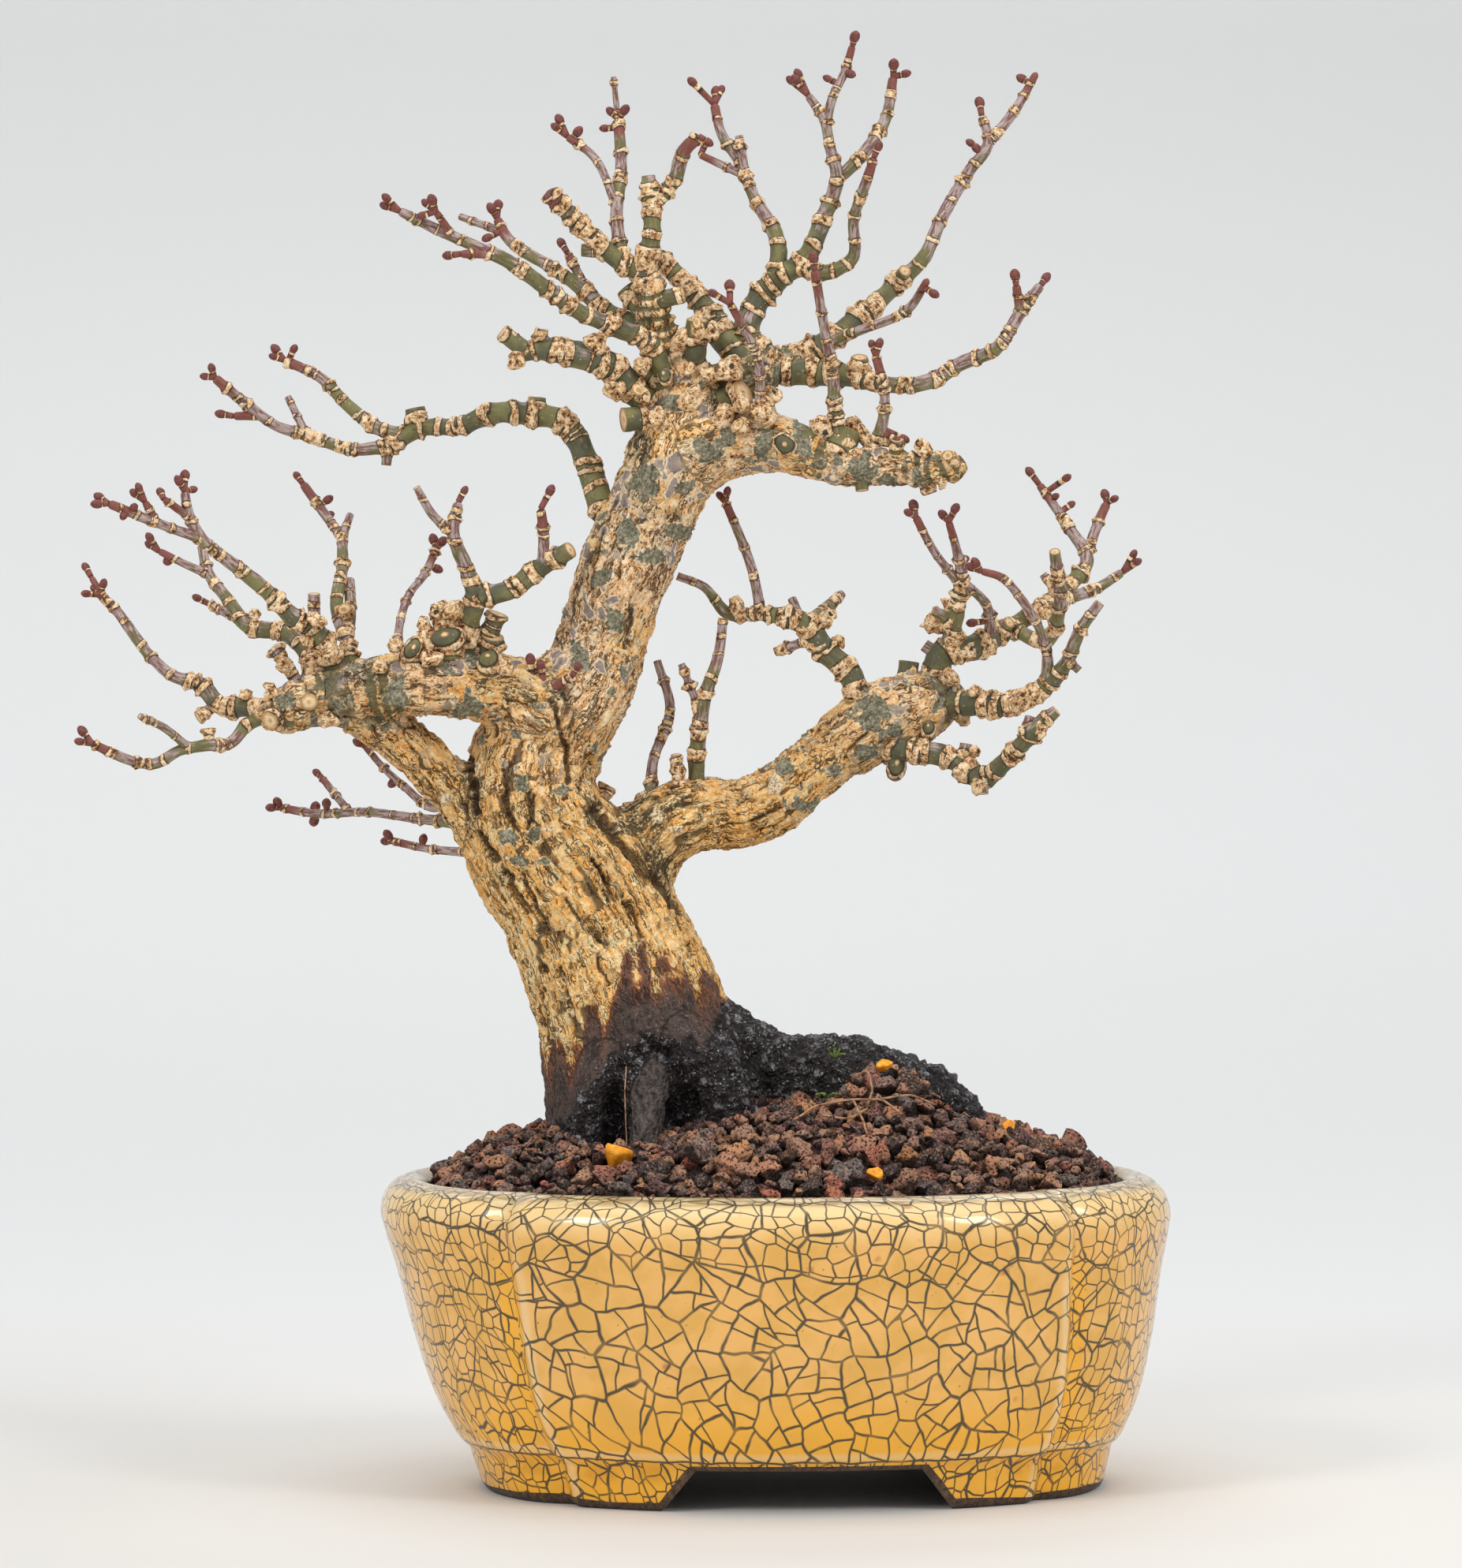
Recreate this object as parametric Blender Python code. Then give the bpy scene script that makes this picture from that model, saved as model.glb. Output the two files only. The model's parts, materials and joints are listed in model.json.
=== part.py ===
"""A leafless dwarf Japanese maple bonsai in a four-lobed glazed pot, in metres, +Z up.

The pot's long sides face -Y and +Y. The tree was measured in the plane of one front view, so its
routes are written as millimetres across and up in that plane, with a depth, and then carried into
the pot's own axes.
"""
import math
import random
from collections import namedtuple

import bmesh
import bpy
from mathutils import Vector

MM = 0.001
GAP = 0.3
SEED = 17

# The pot, in millimetres from the middle of its foot
POT_X = 34.2
RIM_LEAN = -3.8
RIM_Z = 59.5
RIM_HALF_WIDTH = 80.2
RIM_HALF_DEPTH = 61.4
OUTLINE_POWER = 2.2
GROOVE_ANGLE_FOOT = math.radians(32)
GROOVE_ANGLE_RIM = math.radians(38)
GROOVE_DEPTH = 2.6
GROOVE_WIDTH = 3.4
GROOVE_POWER = 1.4
SIDE_STEPS = 6
FRONT_STEPS = 7
UNDERSIDE_Z = 10.2
FLOOR_Z = 16.0
FOOT_INNER = 54.5
SLOT_TOP_Z = 8.6
SLOT_HALF_TOP = 22.3
SLOT_HALF_BOTTOM = 29.5
DRAIN_RADIUS = 8.0
DRAIN_SIDES = 20
DRAIN_X = 30.0
CUT_LENGTH = 160.0
FOOT_INNER_GROOVE = 1.0
INNER_GROOVE = 1.6

# Half-width and height of each turn of the pot's section, outside then inside
OUTER_SECTION = ((62.7, 0.0), (65.8, 8.0), (67.2, 10.2), (70.6, 17.0), (74.6, 30.0),
                 (77.7, 45.0), (79.7, 55.0), (RIM_HALF_WIDTH, RIM_Z), (78.4, 62.2), (75.2, 63.2),
                 (72.0, 62.4), (70.2, 60.4))
INNER_SECTION = ((71.2, 55.0), (70.6, 45.0), (66.0, 24.0), (60.0, FLOOR_Z))

# The gravel mound, and the holes in it
SOIL_CLEAR = 0.35
SOIL_TOP_EDGE_Z = 60.6
MOUND_EDGE_Z = 61.4
MOUND_RISE = 16.0
MOUND_CENTRE = (0.0, 4.0)
HEAP_PLACE = (22.0, -12.0)
HEAP_RISE = 10.0
HEAP_SPREAD = 8.5
GRAIN_RELIEF = 1.5
GRAIN_BEDDING = 0.12
SOIL_RINGS = 10
HOLE_SWELL = 1.11
HOLE_CLEAR = 0.5
HOLE_EXTRA = 4.0
HOLE_POINTS = {"trunk": 4, "big_root": 9, "front_root": 5, "skirt_left": 4, "skirt_right": 4,
               "rear_root": 4}
SEAT_MARGIN = 0.8

# Mesh over each drain hole, held by a wire clip
MESH_SIZE = 24.0
MESH_THICKNESS = 1.0
MESH_CELLS = 3
MESH_BAR = 2.0
CLIP_RADIUS = 0.5
CLIP_LEG_X = 5.6
CLIP_FOOT_X = 13.0
POCKET_MARGIN = 1.2
POCKET_TOP = 3.2

# The front view that the tree was measured in
VIEW_X = -12.6
VIEW_Z = 173.0
VIEW_DISTANCE = 1300.0
VIEW_TURN = math.radians(3.5)
SWAY = 1.3

# Bark flutes, and sides round the trunk and the holes for the roots
FLUTE = 0.03
TRUNK_SIDES = 20
HOLE_SIDES = 14

Branch = namedtuple("Branch", "name parent depths points buds")

# Across, up and thickness radius along the trunk
TRUNK = ((-31, 50, 18.5), (-31, 62, 18.8), (-31.5, 75, 18.8), (-32, 88, 19), (-33, 97, 19),
         (-36, 104.5, 18.2), (-38.5, 110, 17.6), (-43.5, 120, 17), (-50.5, 130, 15.8),
         (-53.5, 139, 14), (-51.5, 149, 13), (-46.5, 157, 11.3), (-41.5, 164, 9.8),
         (-39, 171, 9.2), (-36.4, 180, 9.2), (-32.5, 190, 9.6), (-27.5, 200, 9.3),
         (-24, 208, 9.5), (-21.5, 215, 8.8), (-20.5, 221, 6.5))

# Heavy limbs and roots, whose bark is fluted like the trunk's
LIMBS = (
    Branch("big_root", "trunk", (2, 0),
           ((-20, 88, 13), (-8, 84.5, 9.5), (2, 82.5, 8.7), (11, 82, 9.3), (18, 81, 7.5),
            (27, 79.5, 6), (34, 75, 4.5), (40, 69, 3), (45, 62, 2.2)), ()),
    Branch("front_root", None, (-13, -27),
           ((-29, 92, 3.4), (-28.9, 84, 3.2), (-29.5, 76, 3.1), (-30.3, 68, 2.8),
            (-31, 58, 2.2)), ()),
    Branch("skirt_left", None, (-15, -15),
           ((-33, 93, 4), (-38.5, 86, 4.2), (-40.5, 76, 4), (-41, 62, 3.5)), ()),
    Branch("skirt_right", None, (-12, -16),
           ((-24, 92, 5), (-17, 86, 5.5), (-13, 77, 5), (-11, 61, 4)), ()),
    Branch("rear_root", None, (10, 27),
           ((-30, 88, 8), (-27, 79, 6.5), (-24, 70, 5), (-22, 60, 3.6)), ()),
    Branch("right_limb", "trunk", (0, 12),
           ((-38, 122, 9), (-31, 129, 8.5), (-25, 134.5, 8), (-18, 136.4, 7.4), (-11, 136.4, 7.1),
            (-4, 139.2, 6.9), (3, 144.8, 6.3), (8.5, 149, 6.6), (14, 153, 7.4), (21, 156.8, 7.6),
            (27, 158.5, 6.4), (31, 159.6, 4.2)), ()),
    Branch("left_limb", "trunk", (-2, -8),
           ((-55, 128, 7), (-62, 133, 6), (-68.6, 140.4, 5), (-75.4, 147.7, 5), (-81, 152.7, 5),
            (-86, 156.6, 5.3), (-92, 160, 5.6), (-100, 158.6, 4.8), (-106.5, 156.2, 3)), ()),
    Branch("front_arm", "trunk", (-6, -12),
           ((-51, 158, 7.5), (-58, 161.5, 7.2), (-66, 162.7, 6.8), (-75, 163, 6.3),
            (-84, 162.5, 5.8), (-90, 161, 4.6)), ()),
    Branch("upper_limb", "trunk", (-3, -9),
           ((-20, 210, 8), (-11, 212, 7), (-3, 211.5, 5.5), (5, 208.5, 4.5), (12, 206.7, 3.8),
            (20, 206.5, 3.6), (27, 206.3, 3.2), (32.5, 206.8, 2.7)), ()),
    Branch("crown_right", "trunk", (0, 8),
           ((-20, 216, 6.5), (-13, 223, 5), (-6, 226.5, 4.2), (0, 228.5, 3.2)), ()),
    Branch("crown_left", "trunk", (0, -2),
           ((-21, 218, 6.5), (-24, 226, 4.6), (-27.5, 233, 4.2), (-28.8, 238, 3.6),
            (-29.3, 243, 3)), ()),
)

# Branches and twigs, each from its parent, with the places of its buds
TWIGS = (
    Branch("l1", "left_limb", (None, -22),
           ((-105, 156.5, 1.6), (-110.7, 154.4, 1.5), (-114.1, 150.8, 1.3), (-119.7, 150.2, 1.3),
            (-124.2, 149.3, 1.2), (-129.8, 146.5, 1.2), (-133.2, 146.8, 1.1), (-137.1, 148.2, 1.1),
            (-142.2, 150.6, 0.9)), ((-144.7, 151), (-144.1, 153))),
    Branch("l1_side", "l1", (None, -24),
           ((-122.5, 149.6, 1), (-127.6, 153.8, 0.9), (-132.6, 156.2, 0.7)), ()),
    Branch("l2", "left_limb", (None, 2),
           ((-104, 157, 2.2), (-109.6, 157.8, 2.1), (-116.3, 158.5, 2), (-120.3, 162.5, 1.7),
            (-125.9, 164.4, 1.3), (-130.4, 168.4, 1.2), (-134.3, 173.5, 1.2), (-137.1, 177.4, 1.1),
            (-140.5, 180.8, 1)), ((-143.3, 181), (-141.6, 181.9), (-139.9, 182.9))),
    Branch("l2_tip", "l2", (None, 3),
           ((-140, 180.4, 0.8), (-142.4, 184.5, 0.7)), ((-143.4, 186.3),)),
    Branch("l3", "left_limb", (None, -24),
           ((-91.1, 162, 2.6), (-93.9, 168.4, 2.2), (-96.2, 172.5, 2.1), (-101.7, 176.5, 2),
            (-105.6, 180.5, 1.7), (-111.3, 185.3, 1.6), (-115.2, 188.1, 1.4),
            (-120.3, 192.6, 1.3), (-122.5, 197.2, 1.1), (-123.4, 201.8, 1)),
           ((-124.5, 203.8), (-121.8, 202.1))),
    Branch("l3_left", "l3", (None, -28),
           ((-119.5, 192, 1.2), (-125.9, 194.2, 1.1), (-133.2, 197, 1.1), (-138.8, 199.3, 1)),
           ((-141, 199.2), (-140.6, 200.5), (-135.7, 196.9))),
    Branch("l3_fork", "l3_left", (None, -26),
           ((-129.2, 195.8, 0.9), (-131.5, 199.8, 0.8)), ((-133.4, 201.3), (-132.6, 202.4))),
    Branch("l3_mid", "l3", (None, -26),
           ((-122.2, 196.4, 1), (-127.6, 200.2, 0.8)), ((-128.2, 201.5),)),
    Branch("l4", "left_limb", (None, 12),
           ((-97, 160, 2.4), (-98, 168, 2), (-102.9, 172.9, 1.8), (-110.7, 174.5, 1.7),
            (-114.1, 179.1, 1.4), (-118.6, 185.3, 1.2), (-120, 191, 1)), ((-120.6, 192.8),)),
    Branch("l4_left", "l4", (None, 10),
           ((-118, 184.6, 1), (-123.1, 186.9, 0.9), (-128.7, 189.7, 0.8)),
           ((-130.4, 190.9), (-130.4, 192.3), (-126.7, 187.8))),
    Branch("l4_bud_twig", "l4", (None, 16),
           ((-110, 174.4, 1.1), (-118.4, 178.9, 0.9)), ((-120.8, 180.1),)),
    Branch("l5", "left_limb", (None, 18),
           ((-89, 160, 2), (-90.2, 170.1, 1.6), (-92.6, 178.5, 1.5), (-91.4, 186.4, 1.3),
            (-91.2, 192.8, 1.1), (-89.8, 197, 0.8)), ()),
    Branch("l5_left", "l5", (None, 22),
           ((-91.2, 192, 1.1), (-96.1, 198.7, 1.1), (-99.4, 203.3, 1)),
           ((-100.5, 204.8), (-94.4, 200))),
    Branch("l5_stub", "l5", (None, 12),
           ((-90.4, 172, 1.4), (-89.8, 178, 1.3), (-90, 183.6, 1.2)), ()),
    Branch("l6", "front_arm", (None, 26),
           ((-80, 163, 1.4), (-80.2, 172, 1), (-77.6, 181.3, 0.9), (-74.8, 184.9, 0.9),
            (-72.4, 190, 0.9)), ((-72.9, 191.9), (-71.2, 191.5), (-72.3, 186.1))),
    Branch("l7", "front_arm", (None, -18),
           ((-66.6, 165, 2.8), (-66, 174, 2.4), (-64.4, 180.4, 2.1), (-66.4, 186.4, 1.6),
            (-68.9, 193.1, 1.4), (-67.9, 199.6, 1.1)), ((-66.7, 201.8),)),
    Branch("l7_left", "l7", (None, -20),
           ((-68.8, 193, 1.1), (-73.1, 197, 1), (-76.4, 202.6, 0.8)), ()),
    Branch("l7_right", "l7", (None, -16),
           ((-64.6, 180, 2.2), (-57.4, 181.9, 2.2), (-51.2, 186.4, 2), (-45.1, 190, 1.8)), ()),
    Branch("l7_up", "l7_right", (None, -18),
           ((-50.8, 186.6, 1.3), (-50.6, 193, 1.2), (-51.2, 198.2, 1)), ((-49.3, 201.8),)),
    Branch("low_a", "left_limb", (None, 26),
           ((-64, 134, 1.6), (-77, 135.5, 1.1), (-86.6, 136.7, 1), (-96.7, 136.4, 1),
            (-104.2, 137.6, 0.9)), ((-105.9, 137.6), (-97.2, 135), (-94.7, 138.4))),
    Branch("low_a_fork", "low_a", (None, 28),
           ((-90, 136.6, 0.9), (-95.6, 143.6, 0.8)), ((-96.6, 144.6),)),
    Branch("low_b", "trunk", (None, 18),
           ((-57, 130, 1.4), (-73.1, 129.1, 0.9), (-81.3, 130.8, 0.9)),
           ((-82.2, 132), (-82.6, 130.8))),
    Branch("low_c", "left_limb", (None, 14),
           ((-71, 141, 1), (-77, 143.5, 0.8), (-83.2, 149.2, 0.8)), ((-84.9, 149.8),)),
    Branch("lb", "trunk", (None, 14),
           ((-32, 190, 3.2), (-38.8, 199, 3), (-41.9, 208, 2.7), (-46.4, 215.5, 2.5),
            (-54, 217.5, 2.4), (-61.6, 217.3, 2.2), (-68, 214.9, 2), (-75.1, 214.6, 1.9),
            (-82.4, 210.4, 1.7)), ()),
    Branch("lb1", "lb", (None, 10),
           ((-81.5, 210.9, 1.5), (-88.6, 210.2, 1.4), (-98.6, 213.1, 1.3), (-104.5, 214.9, 1.2),
            (-110.3, 219, 1.2), (-117.3, 224.8, 1.1)),
           ((-119.1, 225), (-117.8, 226.6))),
    Branch("lb1_low", "lb1", (None, 12),
           ((-107.5, 217, 1), (-113.5, 217, 0.9)), ((-115.9, 217.4),)),
    Branch("lb1_up", "lb1", (None, 16),
           ((-98.6, 213.1, 1), (-102.4, 220.8, 0.8)), ()),
    Branch("lb2", "lb", (None, 20),
           ((-78.5, 212.8, 1.6), (-84.9, 214.9, 1.5), (-90.4, 219.3, 1.4), (-95.7, 224.7, 1.2),
            (-103.1, 228.3, 1.1)), ((-105.2, 229), (-104.8, 230.4), (-101.2, 230.5))),
    Branch("ul1", "trunk", (None, -12),
           ((-24, 215, 3.4), (-31.1, 220.8, 3), (-36.5, 226.6, 2.9), (-44.6, 229.6, 3),
            (-52, 230.4, 2.3), (-55.4, 229.5, 1.8)), ()),
    Branch("ul1_up", "ul1", (None, -13), ((-54, 230, 2), (-59, 234, 1.8)), ()),
    Branch("ul2", "trunk", (None, -26),
           ((-22.5, 215, 2.8), (-26, 223.5, 2.5), (-29, 231.4, 2.1), (-35.8, 234.9, 1.9),
            (-42.8, 237.8, 1.8), (-49.6, 242.5, 1.7), (-56.9, 247.8, 1.6), (-65.7, 251.9, 1.3),
            (-72.2, 254.8, 1.2), (-79.8, 258.5, 1)), ((-82.5, 259.5), (-82.3, 261))),
    Branch("ul2_fork", "ul2", (None, -26),
           ((-69, 253.4, 0.9), (-72.4, 258.4, 0.8)), ((-74.3, 260), (-75.1, 257.6))),
    Branch("ul2_low", "ul2", (None, -24),
           ((-60.6, 249.7, 1), (-67.4, 249.8, 0.9)), ((-69.8, 249.5),)),
    Branch("ul3", "crown_left", (None, 14),
           ((-28, 234, 2.2), (-38, 238.5, 1.9), (-44, 243.7, 1.6), (-49.3, 247.2, 1.4),
            (-58.7, 254.2, 1.2), (-60, 257, 1)), ((-61.1, 258.9), (-59.8, 259.6), (-61.9, 253.1))),
    Branch("ul3_left", "ul3", (None, 18),
           ((-58.7, 254.2, 1), (-67.4, 257.3, 0.8)), ()),
    Branch("ul3_mid", "ul3", (None, 8),
           ((-41.7, 242.2, 1.1), (-45.8, 250.1, 0.9)), ((-46.9, 251.9),)),
    Branch("uc1", "crown_left", (None, -10),
           ((-29.3, 244.5, 2.2), (-35.2, 248.4, 2.1), (-40.5, 253.1, 1.9), (-46.4, 258.9, 1.9),
            (-49.6, 262.4, 1.9)), ((-48.4, 259.8),)),
    Branch("uc2", "uc1", (None, 8),
           ((-34.6, 248, 1.6), (-35.8, 257.7, 1.4), (-34.9, 266, 1.3), (-35.4, 277, 1.2)),
           ((-36.9, 278.5), (-34.2, 278.8), (-38.1, 275.2))),
    Branch("uc2_left", "uc2", (None, 6),
           ((-35.8, 259.5, 1), (-40.5, 269.5, 0.9), (-45.8, 273.6, 0.9)),
           ((-48.1, 275.4), (-47.3, 276.8), (-43.7, 274.4))),
    Branch("uc2_dead", "uc2", (None, 8),
           ((-35.5, 276.5, 0.7), (-36.4, 285.6, 0.6)), ()),
    Branch("uc3", "crown_left", (None, -4),
           ((-29.3, 242.5, 3), (-30.2, 246.5, 2.6), (-28.8, 252.5, 2.1), (-28.8, 260.1, 1.9),
            (-29.4, 265.6, 1.5)), ()),
    Branch("uc3_right", "uc3", (None, -6),
           ((-28.7, 259.4, 1.6), (-24.1, 264.8, 1.6), (-21.7, 271.2, 1.5), (-19.1, 273.6, 1.3)),
           ((-17.3, 272.4),)),
    Branch("cr1", "crown_right", (None, 14),
           ((-8, 225.6, 3.8), (-14.2, 233.1, 3.2), (-19.3, 240.8, 2.4), (-27.5, 249.5, 1.8)), ()),
    Branch("tm1", "crown_right", (None, 4),
           ((-4.5, 227, 3.6), (-9.6, 233.6, 3), (-7.6, 239.5, 2.7), (-2.9, 244.8, 2.5),
            (1.7, 248.2, 2.3), (6.3, 257.6, 1.8), (8.8, 265.5, 1.5), (7.3, 271.8, 1.2),
            (6.4, 276.5, 1.1), (2.9, 282, 0.9)), ((0.6, 284.9), (1, 286))),
    Branch("tm1_tip", "tm1", (None, 3),
           ((6.6, 276, 1.1), (8, 281.6, 1), (10.3, 286.4, 0.9), (12, 292, 0.8)),
           ((12.4, 293.6), (7, 285.2))),
    Branch("tm1_right", "tm1", (None, 16),
           ((8.6, 264.6, 1.4), (14.4, 270.4, 1.4), (18.6, 277, 1.3), (20.2, 285.6, 1)),
           ((20.3, 288), (22.6, 286.2))),
    Branch("tm1_low", "tm1", (None, -10),
           ((1, 247.6, 1.9), (6.5, 246, 1.7), (12, 249, 1.4), (12.2, 256.4, 1.2),
            (15.4, 266.3, 1.1), (16.3, 269.4, 0.9)), ((17.2, 271.4),)),
    Branch("tm1_rear", "tm1", (None, 22),
           ((-3.6, 244.2, 2), (-3.2, 252.3, 1.8), (-8, 261.4, 1.3), (-10.6, 267.8, 1.2),
            (-14.7, 274.5, 1.1), (-16, 280, 1)), ((-15.7, 282.6), (-20.4, 284.5))),
    Branch("tm1_rear_low", "tm1_rear", (None, 20),
           ((-9.8, 265.6, 1), (-19, 269.9, 0.8)), ((-17.7, 272.2),)),
    Branch("f1", "upper_limb", (None, -22),
           ((-7.5, 212, 1.3), (-7.2, 228.5, 1), (-12.8, 239.8, 0.9)),
           ((-16.2, 241.8), (-12.9, 243.3))),
    Branch("tr1", "upper_limb", (None, -20),
           ((10.2, 207.5, 1.6), (8.4, 219.3, 1.4), (7.9, 226.5, 1.3), (6.5, 233.6, 1.1),
            (4.3, 246.6, 1)), ((4.1, 248.9),)),
    Branch("tr2", "upper_limb", (None, -12),
           ((13.6, 207, 1.5), (17.8, 214.6, 1.3), (18.5, 221.4, 1.1), (16.7, 229.2, 1)),
           ((16, 231.4), (17.4, 231.6))),
    Branch("tr3", "crown_right", (None, -14),
           ((-5, 226.4, 3.2), (4, 225.6, 2.8), (12, 225, 2.4), (19, 223.4, 1.8), (27, 223.8, 1.7),
            (33.8, 227.5, 1.6), (41.2, 230.8, 1.4), (46.1, 238.2, 1.3), (50.2, 243.6, 1)),
           ((51.1, 244.9),)),
    Branch("tr3_left", "tr3", (None, -16),
           ((46, 238, 1.1), (45.1, 243.6, 0.9)), ((44.9, 245.4),)),
    Branch("tr4", "crown_right", (None, 22),
           ((-2, 227.8, 3), (5.8, 231.6, 2.5), (13.4, 236.7, 2.3), (20, 243, 2),
            (26.2, 248.9, 1.6), (30.4, 257.8, 1.4), (35.4, 266.3, 1.3), (39.5, 272.5, 1.2),
            (38.1, 277.8, 0.9)), ((37.7, 280.3), (37.1, 271))),
    Branch("tr4_right", "tr4", (None, 24),
           ((39.3, 272, 1.2), (44.6, 278.5, 1.1), (49.2, 286.4, 0.8)), ((46.3, 285.2),)),
    Branch("tr5", "tr4", (None, -4),
           ((6, 231.8, 1.3), (13.9, 234.5, 1.1), (23.6, 239, 1), (27.2, 244.6, 0.8)),
           ((28.4, 241.8),)),
    Branch("ra", "right_limb", (None, 8),
           ((13.5, 153, 3), (11.6, 164.5, 2.7), (6.5, 169.5, 2.6), (2.6, 174.6, 2.5),
            (-6, 176.9, 1.5), (-13, 176.9, 1.4), (-18.3, 182.5, 1), (-23.5, 184.6, 0.9)), ()),
    Branch("ra_fork", "ra", (None, 14), ((3, 174.5, 2), (9.9, 181, 1)), ()),
    Branch("ra_up", "ra", (None, 4),
           ((-6.5, 176.9, 1.2), (-8.3, 185.7, 1.1), (-11.8, 195, 1), (-13.8, 199.6, 0.9)),
           ((-14.8, 200.8), (-13.4, 201.6))),
    Branch("ra_straight", "right_limb", (None, 2),
           ((-19.5, 137, 2), (-19.5, 149, 1.8), (-18, 159.8, 1.5), (-15.2, 168.4, 1.2),
            (-14.2, 176, 1)), ()),
    Branch("rb", "right_limb", (None, 12),
           ((-28.9, 134, 1.5), (-28.4, 147, 1.2), (-25, 157.6, 1.1), (-27.6, 167.4, 0.9)), ()),
    Branch("rc", "right_limb", (None, 24),
           ((29, 159, 3.3), (30.2, 168.6, 3), (36.8, 170.3, 2.8), (44.5, 174.5, 2.1),
            (53.4, 179.4, 1.6), (60.9, 181.8, 1.2), (66.8, 185.4, 1)),
           ((68.6, 187.8), (69.7, 187.4))),
    Branch("rc2", "rc", (None, 34),
           ((49, 177.2, 1.8), (55.4, 182.2, 1.8), (59.5, 187.6, 1.6), (55.8, 194.5, 1.2),
            (49.8, 203.2, 0.9)), ((48, 205.6), (55.3, 204.4))),
    Branch("rc2_right", "rc2", (None, 36),
           ((59.2, 188.2, 1.3), (62.4, 196.8, 1.1), (63.6, 199.4, 1)), ((63.2, 201), (65, 200.2))),
    Branch("rd", "rc", (None, -6),
           ((44, 174, 1.7), (51.6, 171.6, 1.6), (53.9, 178, 1.5), (53, 189.6, 1.2)), ()),
    Branch("re", "right_limb", (None, -10),
           ((27, 158.4, 3.2), (35, 158.7, 2.7), (43.5, 158.6, 2.4), (51, 162.2, 2.1),
            (55, 166.4, 1.6), (58.4, 174, 1.3), (62.2, 179.2, 1.1)), ()),
    Branch("re_left", "re", (None, -12),
           ((51.6, 162.8, 1.6), (51.3, 169.8, 1.1), (46.3, 179.8, 1), (42.2, 184.3, 0.9),
            (38, 185.6, 0.8)), ((36.2, 186.4), (37, 187.2))),
    Branch("rf", "right_limb", (None, -12),
           ((15, 151, 3), (23.4, 149.3, 2.6), (32.2, 147.5, 2.3), (38.1, 143.6, 2.2),
            (45, 149, 1.9), (51.3, 155.6, 1.7), (53.4, 157.3, 1.3)), ()),
    Branch("rg", "rc", (None, -6),
           ((31.2, 169.4, 1.9), (33.4, 178.6, 1.7), (34.2, 184, 1.4), (33, 190.3, 1),
            (31.5, 195.6, 0.8)), ((30.4, 196.9), (32.8, 198.2), (34.6, 188))),
    Branch("rg_left", "rg", (None, -8),
           ((34, 182.6, 1.1), (28.4, 189.8, 0.9), (24.8, 196.6, 0.9)),
           ((23.4, 197.4), (24.4, 198.8))),
    Branch("rg_right", "rc", (None, 2),
           ((40, 171.8, 1.4), (39.2, 178.6, 1.1), (35, 183, 1)), ()),
)

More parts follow.
